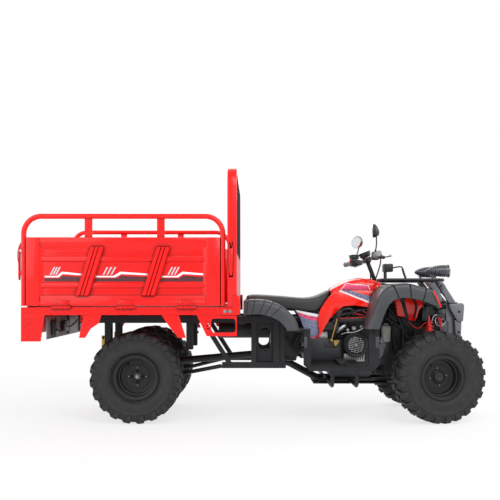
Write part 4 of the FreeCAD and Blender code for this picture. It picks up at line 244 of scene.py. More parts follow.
# Black moulded nylon
BLACK_NYLON = Finish("black_nylon", "#1A1B1E", 0.42, grain_mm=1.6, depth=0.12)
# Heat-proof black paint
STOVE_BLACK = Finish("stove_black", "#1B1B1C", 0.6)
# Bright zinc plate on fasteners
ZINC = Finish("zinc_plate", "#B4B8BC", 0.32, metallic=1.0)
# Vinyl cloth embossed like hide
SEAT_VINYL = Finish("seat_vinyl", "#1E1F22", 0.5, grain=Grain.HIDE, grain_mm=3.0, depth=0.3)
# Lamp lens
CLEAR_PC = Finish("clear_polycarbonate", "#F4F8FF", 0.05, ior=1.58, clear=0.85)
# Black hose rubber
HOSE_RUBBER = Finish("hose_rubber", "#141416", 0.5)
# Painted markings and foil on the gates and covers
DECAL_DARK = Finish("marking_charcoal", "#23262D", 0.35, fade="#8A1A20", fade_mm=9.0)
DECAL_PALE = Finish("marking_pale", "#E9EAF2", 0.32, coat=0.4)
DECAL_BLUE = Finish("marking_navy", "#35507A", 0.32, fade="#C9C2D2", fade_mm=7.0)
DECAL_PINK = Finish("marking_pink", "#F0507C", 0.3, fade="#C03A62", fade_mm=9.0, hard=True)
DECAL_GREY = Finish("marking_grey", "#C6C9D2", 0.32, coat=0.4)
# Yellow passivated zinc on brackets and rods
YELLOW_ZINC = Finish("yellow_zinc", "#B79A5B", 0.35, metallic=0.9)
# Brushed bare alloy
BARE_ALLOY = Finish("bare_alloy", "#B9BBBE", 0.38, metallic=0.9, grain_mm=1.2, depth=0.05)
# Bright chrome plate
CHROME = Finish("chrome_plate", "#D8DADC", 0.12, metallic=1.0)
# Silvered glass, with a faint glow that paints in a white reflection
MIRROR_GLASS = Finish("mirror_glass", "#E9EEF4", 0.04, metallic=1.0, painted_glow=0.25)
# Woven polyester webbing
WEBBING = Finish("polyester_webbing", "#B01820", 0.8, grain_mm=2.0, depth=0.3)
# Amber and red lens plastic
RED_LENS = Finish("red_lens", "#8E0C12", 0.12, ior=1.49, coat=0.5)
AMBER_LENS = Finish("amber_lens", "#D98414", 0.12, ior=1.49, coat=0.5)
# Liquid-crystal gauge window
GAUGE_WINDOW = Finish("gauge_window", "#1D2A2C", 0.08, coat=0.6)
# Lamp reflector
REFLECTOR = Finish("lamp_reflector", "#D5DADF", 0.1, metallic=1.0)
# Grip rubber, half gloss; its mid grey is painted sheen standing in for the strong highlights on the
# grips
GRIP_RUBBER = Finish("grip_rubber", "#8A8C91", 0.38, grain_mm=1.5, depth=0.1)
# Painted lamp shell
LAMP_SHELL = Finish("lamp_shell_paint", "#4C4F58", 0.3, coat=0.3)
# Lighter grey moulding on the bull bar
FENDER_GREY = Finish("bumper_polypropylene", "#6A6C72", 0.42, grain_mm=1.4, depth=0.2)
# Polyethylene of the expansion bottle
TANK_PE = Finish("tank_polyethylene", "#85847F", 0.45, grain_mm=2.0, depth=0.1)
# Stranded wire rope
WIRE_ROPE = Finish("wire_rope", "#6D7074", 0.4, metallic=0.9, grain_mm=1.0, depth=0.3)
# Heel panel moulding
HEEL_PP = Finish("heel_polypropylene", "#2B2C2F", 0.5, grain_mm=1.5, depth=0.2, fade="#333438")
# Dull galvanised sheet
DULL_ZINC = Finish("galvanised_sheet", "#9A9696", 0.5, metallic=0.5, fade="#7E7A7A", fade_mm=20.0)


# Building pieces


MIRROR = Matrix.Scale(-1, 4, Vector((0, 1, 0)))
MERGE = 1e-6


def turned(degrees: float, axis: str) -> Matrix:
    """A turn about one of the three axes."""
    return Matrix.Rotation(math.radians(degrees), 4, axis)


def lined(start: Vector, way: Vector) -> Matrix:
    """Puts the local origin at a spot, with local +Z along a direction."""
    return Matrix.Translation(start) @ way.to_track_quat("Z", "Y").to_matrix().to_4x4()


def ring_spot(radius: float, angle: float, height: float = 0.0) -> Vector:
    """A spot on a circle about the local Z axis."""
    return Vector((radius * math.cos(angle), radius * math.sin(angle), height))


def spaced(start: float, step: float, count: int) -> list[float]:
    """Evenly spaced places along an axis."""
    return [start + number * step for number in range(count)]


def only_verts(geom: Iterable) -> list[bmesh.types.BMVert]:
    """The vertices in what a bmesh operator returned."""
    return [part for part in geom if isinstance(part, bmesh.types.BMVert)]


@dataclass(frozen=True)
class Section:
    """One rounded cross-section of a lofted form, square to the X axis."""

    x: float
    half_width: float
    low: float
    high: float
    square: float = 0.6


class Builder:
    """One bmesh that grows into a finished piece."""

    def __init__(self, name: str, body: str) -> None:
        """Starts an empty piece with its name and the CAD body it moves with."""
        self.name = name
        self.body = body
        self.bm = bmesh.new()

    @property
    def geom(self) -> list:
        """Everything in the bmesh, as its operators want it."""
        return [*self.bm.verts, *self.bm.edges, *self.bm.faces]

    def fresh(self, known: set) -> list:
        """The vertices made since a set of known ones was taken."""
        return [vert for vert in self.bm.verts if vert not in known]

    def place(self, matrix: Matrix, verts: Iterable[bmesh.types.BMVert] | None = None) -> None:
        """Moves the given vertices, or all of them, by a matrix."""
        chosen = self.bm.verts if verts is None else verts
        bmesh.ops.transform(self.bm, matrix=matrix, verts=list(chosen))

    @contextmanager
    def placed(self, matrix: Matrix | None) -> Iterator[None]:
        """Moves what is built inside the with block by a matrix."""
        known = set(self.bm.verts)
        yield
        if matrix is not None:
            self.place(matrix, self.fresh(known))

    def block(self, low: Point, high: Point, bevel: float = 0.0,
              matrix: Matrix | None = None) -> None:
        """Adds a box between two corners, its edges bevelled if asked.

        Args:
            low: one corner.
            high: the opposite corner.
            bevel: edge radius.
            matrix: a turn or shift of the finished box.
        """
        with self.placed(matrix):
            low_v, high_v = Vector(map(min, low, high)), Vector(map(max, low, high))
            made = bmesh.ops.create_cube(self.bm, size=1.0)["verts"]
            self.place(Matrix.Translation((low_v + high_v) / 2)
                       @ Matrix.Diagonal((*(high_v - low_v), 1.0)), made)
            if bevel:
                self.soften(made, bevel)

    def blocks(self, bevel: float, *corners: Point) -> None:
        """Adds boxes of one bevel, each between two corners that follow each other."""
        for low, high in zip(corners[::2], corners[1::2]):
            self.block(low, high, bevel)

    def soften(self, verts: Iterable[bmesh.types.BMVert], width: float, segments: int = 2,
               sharp_degrees: float = 25.0) -> None:
        """Bevels the sharp edges between the given vertices.

        Args:
            verts: the vertices whose edges may be bevelled.
            width: the bevel's width.
            segments: the number of its steps.
            sharp_degrees: edges that bend less than this stay as they are.
        """
        chosen, limit = set(verts), math.radians(sharp_degrees)
        edges = [edge for edge in self.bm.edges if set(edge.verts) <= chosen
                 and edge.is_manifold and edge.calc_face_angle(0.0) > limit]
        bmesh.ops.bevel(self.bm, geom=edges, offset=width, segments=segments, affect="EDGES",
                        profile=0.5, material=-1, clamp_overlap=True)

    def prism(self, outline: Outline, start: float, end: float, bevel: float = 0.0,
              plane: str = "XZ") -> None:
        """Adds a flat outline pulled into a solid.

        Args:
            outline: corners in the plane's two coordinates.
            start: where the solid starts along the third axis.
            end: where it ends.
            bevel: edge radius.
            plane: "XZ", "YZ" or "XY".
        """
        known = set(self.bm.verts)
        third = "XYZ".index((set("XYZ") - set(plane)).pop())
        corners = [Vector(spot[:third] + (start,) + spot[third:]) for spot in outline]
        face = self.bm.faces.new([self.bm.verts.new(corner) for corner in corners])
        pulled = bmesh.ops.extrude_face_region(self.bm, geom=[face])["geom"]
        way = Vector(float(axis == third) for axis in range(3))
        bmesh.ops.translate(self.bm, vec=way * (end - start), verts=only_verts(pulled))
        bmesh.ops.recalc_face_normals(self.bm, faces=self.bm.faces)
        if bevel:
            self.soften(self.fresh(known), bevel)

    def rod(self, start: Point, end: Point, radius: float, end_radius: float | None = None,
            sides: int = 16, bevel: float = 0.0) -> None:
        """Adds a round bar, a cone or a hexagon between two points.

        Args:
            start: centre of the first end.
            end: centre of the other end.
            radius: radius at the start.
            end_radius: radius at the end, if it differs.
            sides: number of sides.
            bevel: radius of the two end edges.
        """
        a, b = Vector(start), Vector(end)
        with self.placed(lined((a + b) / 2, b - a)):
            made = bmesh.ops.create_cone(
                self.bm, cap_ends=True, segments=sides, radius1=radius,
                radius2=radius if end_radius is None else end_radius, depth=(b - a).length)
            if bevel:
                self.soften(made["verts"], bevel, 1, 50.0)

    def lathe(self, outline: Outline, centre: Point = (0, 0, 0), axis: Point = (0, 0, 1),
              sides: int = 48, closed: bool = False) -> None:
        """Spins an outline of (along, radius) points about an axis.

        Args:
            outline: points along the axis with their radii.
            centre: the axis's origin.
            axis: its direction.
            sides: number of steps in a full turn.
            closed: whether the outline's last point joins its first.
        """
        known = set(self.bm.verts)
        verts = [self.bm.verts.new((radius, 0.0, along)) for along, radius in outline]
        pairs = list(zip(verts, verts[1:])) + ([(verts[-1], verts[0])] if closed else [])
        edges = [self.bm.edges.new(pair) for pair in pairs]
        bmesh.ops.spin(self.bm, geom=verts + edges, cent=(0, 0, 0), axis=(0, 0, 1),
                       angle=math.tau, steps=sides, use_merge=True)
        bmesh.ops.remove_doubles(self.bm, verts=self.fresh(known), dist=MERGE)
        self.place(lined(Vector(centre), Vector(axis)), self.fresh(known))

    def pipe(self, points: Sequence[Point], radius: float, steps: int = 2, order: int = 3) -> None:
        """Adds a smooth pipe or cable whose line passes near the points.

        Args:
            points: the control points of its line.
            radius: radius of the pipe.
            steps: how finely its section is rounded.
            order: the spline's order.
        """
        curve = bpy.data.curves.new(self.name + "_line", "CURVE")
        curve.dimensions = "3D"
        curve.bevel_depth = radius
        curve.bevel_resolution = steps
        curve.use_fill_caps = True
        curve.resolution_u = 6
        spline = curve.splines.new("NURBS")
        spline.points.add(len(points) - 1)
        for knot, place in zip(spline.points, points):
            knot.co = (*place, 1.0)
        spline.order_u = min(order, len(points))
        spline.use_endpoint_u = True
        holder = bpy.data.objects.new(self.name + "_line", curve)
        mesh = bpy.data.meshes.new_from_object(holder)
        self.bm.from_mesh(mesh)
        bpy.data.objects.remove(holder)
        bpy.data.curves.remove(curve)
        bpy.data.meshes.remove(mesh)

    def loft(self, sections: Sequence[Section], sides: int = 24,
             matrix: Matrix | None = None) -> None:
        """Bridges rounded sections into one closed form.

        Args:
            sections: the sections from one end to the other.
            sides: points round each section.
            matrix: a turn or shift of the finished form.
        """
        with self.placed(matrix):
            rings = []
            for section in sections:
                ring = bmesh.ops.create_circle(self.bm, segments=sides, radius=1.0)["verts"]
                middle, half = (section.low + section.high) / 2, (section.high - section.low) / 2
                for vert in ring:
                    across, up = (math.copysign(abs(c) ** section.square, c)
                                  for c in (vert.co.x, vert.co.y))
                    vert.co = (section.x, across * section.half_width, middle + up * half)
                rings.append(ring)
            loops = [[edge for edge in self.bm.edges if set(edge.verts) <= set(ring)]
                     for ring in rings]
            for first, second in zip(loops, loops[1:]):
                bmesh.ops.bridge_loops(self.bm, edges=first + second)
            for ring in (rings[0], rings[-1]):
                self.bm.faces.new(ring)

    def repeat(self, verts: Iterable[bmesh.types.BMVert], count: int) -> None:
        """Copies what the given vertices span round the local Z axis.

        Args:
            verts: vertices of the shape to copy.
            count: how many there are in a full turn, the first among them.
        """
        chosen = set(verts)
        geom = [*chosen, *(part for part in (*self.bm.edges, *self.bm.faces)
                           if set(part.verts) <= chosen)]
        bmesh.ops.spin(self.bm, geom=geom, cent=(0, 0, 0), axis=(0, 0, 1), steps=count - 1,
                       angle=math.tau * (count - 1) / count, use_duplicate=True)

    def bolt(self, at: Point, way: Point, radius: float, height: float,
             washer: bool = True) -> None:
        """Adds a hexagon head on a washer.

        Args:
            at: the middle of the surface it sits on.
            way: direction that the head stands out.
            radius: half the head's width.
            height: height of the head.
            washer: whether it has a washer.
        """
        washer_height, washer_radius, edge = radius * 0.25, radius * 1.45, radius * 0.12
        start, out = Vector(at), Vector(way).normalized()
        if washer:
            self.rod(start, start + out * washer_height, washer_radius)
        self.rod(start, start + out * height, radius, sides=6, bevel=edge)

    def mirrored(self) -> "Builder":
        """Adds the same shape on the machine's other side, and returns this builder."""
        copied = bmesh.ops.duplicate(self.bm, geom=self.geom)["geom"]
        self.place(MIRROR, only_verts(copied))
        faces = [part for part in copied if isinstance(part, bmesh.types.BMFace)]
        bmesh.ops.reverse_faces(self.bm, faces=faces)
        return self

    def done(self, finish: Finish, replaces: str = "", slot: str = "", smooth: float = 35.0,
             rounds: int = 0) -> bpy.types.Object:
        """Turns the bmesh into an object that rides on the builder's body.

        Args:
            finish: the finish of the whole piece.
            replaces: the CAD node it stands for, if there is one.
            slot: the record's material slot, if it has one; not used.
            smooth: edges under this angle in degrees are shaded smooth.
            rounds: levels of a subdivision surface that smooths it.

        Returns:
            The object.
        """
        bmesh.ops.remove_doubles(self.bm, verts=self.bm.verts, dist=MERGE)
        bmesh.ops.recalc_face_normals(self.bm, faces=self.bm.faces)
        mesh = bpy.data.meshes.new(self.name)
        self.bm.to_mesh(mesh)
        self.bm.free()
        mesh.materials.append(finish.material())
        for polygon in mesh.polygons:
            polygon.use_smooth = True
        mesh.set_sharp_from_angle(angle=math.radians(smooth))
        thing = linked(self.name, mesh)
        if rounds:
            surface = thing.modifiers.new("rounding", "SUBSURF")
            surface.levels = surface.render_levels = rounds
        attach(thing, self.body)
        if replaces:
            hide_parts(replaces)
        LOG.info("%s: %d faces on %s", self.name, len(mesh.polygons), self.body)
        return thing


@dataclass
class Area:
    """A part of the machine whose pieces move with one CAD body."""

    body: str = "chassis"

    def piece(self, name: str) -> Builder:
        """Starts a piece that moves with the area's body."""
        return Builder(name, self.body)

    def plates(self, name: str, finish: Finish, inner: float, outer: float, *outlines: Outline,
               bevel: float = 0.0, node: str = "", slot: str = "") -> None:
        """Makes one piece of flat upright outlines on both sides of the machine.

        Args:
            name: the piece's name.
            finish: its finish.
            inner: how far from the middle its inner faces stand.
            outer: how far from the middle its outer faces stand.
            outlines: corners in X and Z.
            bevel: edge radius.
            node: the CAD node it stands for, if there is one.
            slot: the record's material slot, if it has one.
        """
        build = self.piece(name)
        for outline in outlines:
            build.prism(outline, inner, outer, bevel)
        build.mirrored().done(finish, node, slot)


def dress(node: str, finish: Finish) -> None:
    """Gives a CAD node's object a finish in place of its plain one."""
    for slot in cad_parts[node].material_slots:
        slot.material = finish.material()


# Wheels


class WheelEnd(Enum):
    """Which axle a wheel is on."""

    FRONT = "front"
    REAR = "rear"


@dataclass
class Wheel:
    """One low-pressure tyre on its pressed steel rim, built on its own axle line."""

    end: WheelEnd
    side_name: str
    side: int
    radius: float = 0.29
    lug_height: float = 0.011
    lug_half_degrees: float = 4.5
    lug_edge: float = 0.0014
    rest_degrees: float = 9.0
    kingpin: tuple[float, float] = (1.146, 0.292)
    rear_x: float = -0.754
    stud_circle: float = 0.055

    def __post_init__(self) -> None:
        """Takes the sizes that differ between the two axles."""
        self.front = self.end is WheelEnd.FRONT
        self.half = 0.09 if self.front else 0.115
        self.rim_half = 0.075 if self.front else 0.09
        self.track = 0.36 if self.front else 0.335
        self.disc = -0.0065 if self.front else 0.0035
        self.lugs = 24 if self.front else 20
        self.chevron = math.radians(4.0 if self.front else 9.0) * self.side
        self.body = f"wheel_{self.end.value}_{self.side_name}"

    @property
    def place(self) -> Matrix:
        """Puts the local axle line, +Z outwards, where the wheel runs."""
        face = turned(-self.side * 90, "X")
        if not self.front:
            return Matrix.Translation((self.rear_x, self.side * self.track, self.radius)) @ face
        x, y = self.kingpin
        pivot = Matrix.Translation((x, self.side * y, self.radius))
        arm = Matrix.Translation((0, self.side * (self.track - y), 0))
        return pivot @ turned(self.rest_degrees, "Z") @ arm @ face

    def name(self, piece: str) -> str:
        """The full name of one of the wheel's pieces."""
        return f"{piece}_{self.end.value}_{self.side_name}"

    def piece(self, name: str) -> Builder:
        """Starts one of the wheel's pieces."""
        return Builder(self.name(name), self.body)

    def tyre(self) -> None:
        """The carcass with its bead, sidewall ring and lugs."""
        build = self.piece("lugged_tyre")
        base = self.radius - self.lug_height
        bead, wall = self.rim_half - 0.0045, self.half
        outer = [(bead, 0.1275), (bead, 0.146), (bead + 0.004, 0.1495), (wall * 0.955, 0.16),
            (wall * 0.972, 0.1655), (wall * 0.96, 0.1675), (wall * 0.978, 0.17), (wall * 0.99, 0.18),
            (wall - 0.001, 0.205), (wall - 0.002, 0.226), (wall - 0.0005, 0.229),
            (wall - 0.0005, 0.233), (wall - 0.004, 0.236), (wall - 0.008, 0.254), (wall - 0.013, 0.268),
            (wall - 0.024, base - 0.002), (wall * 0.45, base), (0.0, base)]
        inner = [(-along, radius) for along, radius in reversed(outer[:-1])]
        build.lathe(outer + inner, sides=64, closed=True)
        for way in (1, -1):
            self.lug_ring(build, way)
        self.centre_blocks(build)
        build.place(self.place)
        build.done(TYRE_RUBBER, self.name("tyre"), "tyre")

    def lug_ring(self, build: Builder, way: int) -> None:
        """One side's ring of lugs from the sidewall over the shoulder to the crown."""
        wall, top = self.half, self.radius
        known = set(build.bm.verts)
        wide = math.radians(self.lug_half_degrees)
        top_wide = wide * 0.85
        spots = ((wall - 0.006, wall - 0.003, 0.238, 0.244, 0.0, 0.75),
            (wall - 0.014, wall - 0.001, 0.256, 0.2605, 0.0, 1.0),
            (wall - 0.02, wall - 0.008, 0.262, top - 0.01, 0.08, 1.0),
            (wall - 0.03, wall - 0.021, 0.268, top - 0.0015, 0.25, 1.0),
            (wall * 0.42, wall * 0.42, 0.268, top - 0.0004, 0.72, 0.85),
            (wall * 0.13, wall * 0.13, 0.268, top, 1.0, 0.75))
        rings = []
        for low_at, high_at, low_radius, high_radius, sweep, share in spots:
            corners = [build.bm.verts.new(ring_spot(radius, self.chevron * sweep + turn * share,
                                                    way * along))
                       for along, radius, turn in (
                           (low_at, low_radius, -wide), (high_at, high_radius, -top_wide),
                           (high_at, high_radius, top_wide), (low_at, low_radius, wide))]
            rings.append([build.bm.edges.new(pair)
                          for pair in zip(corners, corners[1:] + corners[:1])])
        for first, second in zip(rings, rings[1:]):
            bmesh.ops.bridge_loops(build.bm, edges=first + second)
        bmesh.ops.holes_fill(build.bm, edges=rings[0] + rings[-1], sides=4)
        lug = set(build.fresh(known))
        bmesh.ops.recalc_face_normals(build.bm, faces=[
            face for face in build.bm.faces if set(face.verts) <= lug])
        build.soften(lug, self.lug_edge, 1, 50.0)
        lug = build.fresh(known)
        if way != self.side:
            build.place(turned(180 / self.lugs, "Z"), lug)
        build.repeat(lug, self.lugs)

    def centre_blocks(self, build: Builder) -> None:
        """Small blocks along the crown between the lugs' tips."""
        known = set(build.bm.verts)
        wide = 0.01 if self.front else 0.014
        build.block((self.radius - self.lug_height - 0.003, -0.011, -wide),
                    (self.radius - 0.001, 0.011, wide), 0.0015,
                    Matrix.Rotation(self.chevron + math.pi / self.lugs * 0.9, 4, "Z"))
        build.repeat(build.fresh(known), self.lugs)

    def rim(self) -> None:
        """The barrel with rolled lips, its stepped dish and the bolted disc."""
        build = self.piece("pressed_rim")
        half, sheet, face = self.rim_half, 0.003, self.disc
        well = half / 3
        build.lathe([(-half, 0.138), (-half, 0.1415), (-half + 0.0025, 0.142), (-half + sheet, 0.1265),
            (-well - sheet, 0.1265), (-well, 0.113), (well, 0.113), (well + sheet, 0.1265),
            (half - sheet - 0.001, 0.1265), (half - sheet, 0.14), (half - 0.001, 0.142), (half, 0.1405),
            (half - 0.0005, 0.1365), (half - 0.004, 0.1225), (half - 0.016, 0.1215),
            (half - 0.019, 0.1185), (well + sheet * 2, 0.117), (well + sheet, 0.1085),
            (face + 0.008, 0.1075), (face + 0.002, 0.1045), (face, 0.099), (face, 0.0785),
            (face + 0.0025, 0.0765), (face + 0.0025, 0.0465), (face, 0.0445), (face, 0.019),
            (face - 0.005, 0.019), (face - 0.005, 0.1045), (-well, 0.109), (-well - sheet * 2, 0.1225),
            (-half + sheet * 2, 0.1225)], sides=72, closed=True)
        back, hub_low, hub_high = face - 0.0045, 0.019, 0.034
        build.lathe([(back, hub_low), (back, hub_high), (back - 0.03, hub_high),
                     (back - 0.03, hub_low)], sides=32, closed=True)
        valve = ring_spot(0.104, 2.2, face + 0.006)
        build.rod(valve, valve + Vector((0.01, -0.014, 0.024)), 0.0045, 0.003)
        build.place(self.place)
        build.done(RIM_PAINT, self.name("rim"), "rim_black")

    def fixings(self) -> None:
        """The four bolts, the nut over the rear spindle and the hub's cap or plate."""
        studs, hub = self.piece("wheel_bolts"), self.piece("hub_centre")
        face = self.disc + 0.0025
        up = Vector((0, 0, 1))
        quarters = [number * math.pi / 2 for number in range(4)]
        for quarter in quarters:
            at = ring_spot(self.stud_circle, quarter + math.radians(8 if self.front else 0), face)
            studs.bolt(at, up, 0.0052, 0.006, washer=False)
            studs.rod(at, at + up * 0.01, 0.003, sides=10, bevel=0.0008)
        if self.front:
            hub.lathe([(face - 0.002, 0.036), (face + 0.002, 0.036), (face + 0.004, 0.032),
                (face + 0.019, 0.0315), (face + 0.0225, 0.028), (face + 0.024, 0.016),
                (face + 0.022, 0.013), (face + 0.022, 0.0)], sides=40)
        else:
            for low, high, radius, sides, bevel in ((0.006, 0.01, 0.0165, 24, 0.001),
                    (0.01, 0.026, 0.0125, 6, 0.0015), (0.026, 0.032, 0.007, 20, 0.001)):
                studs.rod((0, 0, face + low), (0, 0, face + high), radius, None, sides, bevel)
            plate_half, corner_circle, plate_top = 0.031, 0.033, face + 0.006
            hub.block((-plate_half, -plate_half, face - 0.001), (plate_half, plate_half, plate_top),
                      0.004, turned(45, "Z"))
            for quarter in quarters:
                hub.rod(ring_spot(corner_circle, quarter, face),
                        ring_spot(corner_circle, quarter, plate_top), 0.009, None, 14, 0.001)
        for part, finish in ((studs, ZINC), (hub, BLACK_NYLON if self.front else RIM_PAINT)):
            part.place(self.place)
            part.done(finish)

    def build(self) -> None:
        """Builds the whole wheel."""
        self.tyre()
        self.rim()
        self.fixings()


# Cargo bed


@dataclass
class Gate:
    """A drop-down side of the bed, a framed sheet with ribs, for the CAD node of its body."""

    name: str
    body: str
    low: float
    high: float
    ribs: tuple[float, ...]
    hinges: tuple[float, ...]
    matrix: Matrix
    bottom: float = 0.744
    top: float = 1.157
    thick: float = 0.026
    top_rail: float = 0.058
    bottom_rail: float = 0.063
    stile: float = 0.084
    rib_wide: float = 0.09
    rib_lean: float = 0.091
    ridges: tuple[tuple[float, float], ...] = ((0.85, 0.888), (1.008, 1.046))
    hinge_z: float = 0.735

    def build(self) -> None:
        """Builds the whole gate, drawn along X with +Y outwards."""
        build = Builder(self.name, self.body)
        inner_low, inner_high = self.bottom + self.bottom_rail, self.top - self.top_rail
        with build.placed(self.matrix):
            self.sheet(build, inner_low, inner_high)
        for foot in self.ribs:
            self.rib(build, foot, inner_low, inner_high)
        with build.placed(self.matrix):
            self.barrels(build)
        build.done(BED_ENAMEL, self.body, "bed_red")

    def sheet(self, build: Builder, inner_low: float, inner_high: float) -> None:
        """The rolled rails, the stiles, the skin and its ridges."""
        low, high, out, skin = self.low, self.high, self.thick, self.thick / 2
        field_low, field_high = low + self.stile, high - self.stile

        def across(*outline: tuple[float, float], bevel: float = 0.0) -> None:
            """Adds a profile that runs from stile to stile."""
            build.prism(outline, field_low, field_high, bevel, "YZ")

        build.block((low + 0.01, skin - 0.0015, self.bottom + 0.01),
                    (high - 0.01, skin + 0.0015, self.top - 0.01))
        build.blocks(0.003, (low, 0.0, self.bottom), (field_low, out, self.top),
                     (field_high, 0.0, self.bottom), (high, out, self.top))
        across((0.0, inner_high + 0.002), (out - 0.004, inner_high),
               (out - 0.003, inner_high + 0.022), (out, inner_high + 0.026),
               (out, self.top), (0.0, self.top), bevel=0.002)
        across((0.0, self.bottom), (out, self.bottom), (out, self.bottom + 0.024),
               (out - 0.004, self.bottom + 0.029), (out - 0.004, inner_low),
               (0.0, inner_low - 0.004), bevel=0.002)
        for start, slope in ((field_low, 1), (field_high, -1)):
            build.prism([(start, out - 0.001), (start + slope * 0.022, skin), (start, skin)],
                        inner_low, inner_high, plane="XY")
        across((skin, inner_high), (out - 0.005, inner_high), (skin, inner_high - 0.02))
        for bottom, top in self.ridges:
            across((skin, bottom), (skin + 0.007, bottom + 0.005), (skin + 0.007, top - 0.005),
                   (skin, top), bevel=0.0015)
        for height in (self.ridges[-1][1] + 0.016, self.ridges[0][0] - 0.018):
            across((skin, height - 0.006), (skin + 0.003, height - 0.003),
                   (skin + 0.003, height + 0.003), (skin, height + 0.006))

    def rib(self, build: Builder, foot: float, low: float, high: float) -> None:
        """One slanted box rib with two pressed grooves along it."""
        skin, out, wide = self.thick / 2, self.thick + 0.01, self.rib_wide
        groove = out - 0.0045
        across = [(0.0, skin), (0.006, out - 0.004), (0.01, out), (0.03, out), (0.034, groove),
            (0.038, out), (0.052, out), (0.056, groove), (0.06, out), (wide - 0.01, out),
            (wide - 0.006, out - 0.004), (wide, skin)]
        lean = Matrix.Identity(4)
        lean[0][2] = self.rib_lean / (high - low)
        lean[0][3] = -low * self.rib_lean / (high - low)
        with build.placed(self.matrix @ lean):
            build.prism([(foot + a, b) for a, b in across], low, high, plane="XY")

    def barrels(self, build: Builder) -> None:
        """The hinge barrels under the bottom rail with their strap plates."""
        axis_y = self.thick + 0.0083
        for start in self.hinges:
            for first, last in ((0.0, 0.028), (0.03, 0.06), (0.062, 0.09)):
                build.rod((start + first, axis_y, self.hinge_z),
                          (start + last, axis_y, self.hinge_z), 0.008, bevel=0.001)
            build.block((start, self.thick - 0.001, self.hinge_z),
                        (start + 0.09, self.thick + 0.003, 0.778), 0.001)
            for spot in (0.016, 0.074):
                build.rod((start + spot, self.thick + 0.002, 0.762),
                          (start + spot, self.thick + 0.006, 0.762), 0.005, 0.0035, 12)


@dataclass
class Stripes:
    """A generic slanted stripe along a side gate's flat field, in each of its bays."""

    side_name: str
    matrix: Matrix
    low: float = 0.892
    skin: float = 0.0146
    bays: tuple[tuple[float, float], ...] = ((-1.275, -1.072), (-0.972, -0.674), (-0.574, -0.324))
    bar_shares: tuple[float, ...] = (0.16, 0.24, 0.32)

    def foot_band(self, start: float, end: float) -> list[Outline]:
        """The dark band along a bay's foot."""
        low, long = self.low, end - start
        return [[(start, low), (end + 0.004, low), (end + 0.016, low + 0.026),
                 (start + long * 0.52, low + 0.034), (start + long * 0.45, low + 0.018),
                 (start, low + 0.018)]]

    def pale_stripe(self, start: float, end: float) -> list[Outline]:
        """The pale stripe over it, which steps up half-way."""
        low, long = self.low, end - start
        return [[(start + 0.002, low + 0.024), (start + long * 0.42, low + 0.024),
            (start + long * 0.54, low + 0.044), (end + 0.02, low + 0.036), (end + 0.025, low + 0.046),
            (start + long * 0.52, low + 0.058), (start + long * 0.38, low + 0.033),
            (start + 0.002, low + 0.033)]]

    def slant_marks(self, start: float, end: float) -> list[Outline]:
        """The grey slanted bars above."""
        feet = [start + (end - start) * share for share in self.bar_shares]
        low, high = self.low + 0.04, self.low + 0.086
        return [[(foot, low), (foot + 0.009, low), (foot + 0.034, high), (foot + 0.025, high)]
                for foot in feet]

    def build(self) -> None:
        """Builds the three markings as thin panels on the gate's skin."""
        for drawn, finish, proud in ((self.foot_band, DECAL_DARK, 0.0006),
                                     (self.pale_stripe, DECAL_PALE, 0.001),
                                     (self.slant_marks, DECAL_GREY, 0.0008)):
            build = Builder(f"gate_{drawn.__name__}_{self.side_name}",
                            f"side_gate_{self.side_name}")
            for bay in self.bays:
                for outline in drawn(*bay):
                    build.prism(outline, self.skin, self.skin + proud)
            build.place(self.matrix)
            build.done(finish)


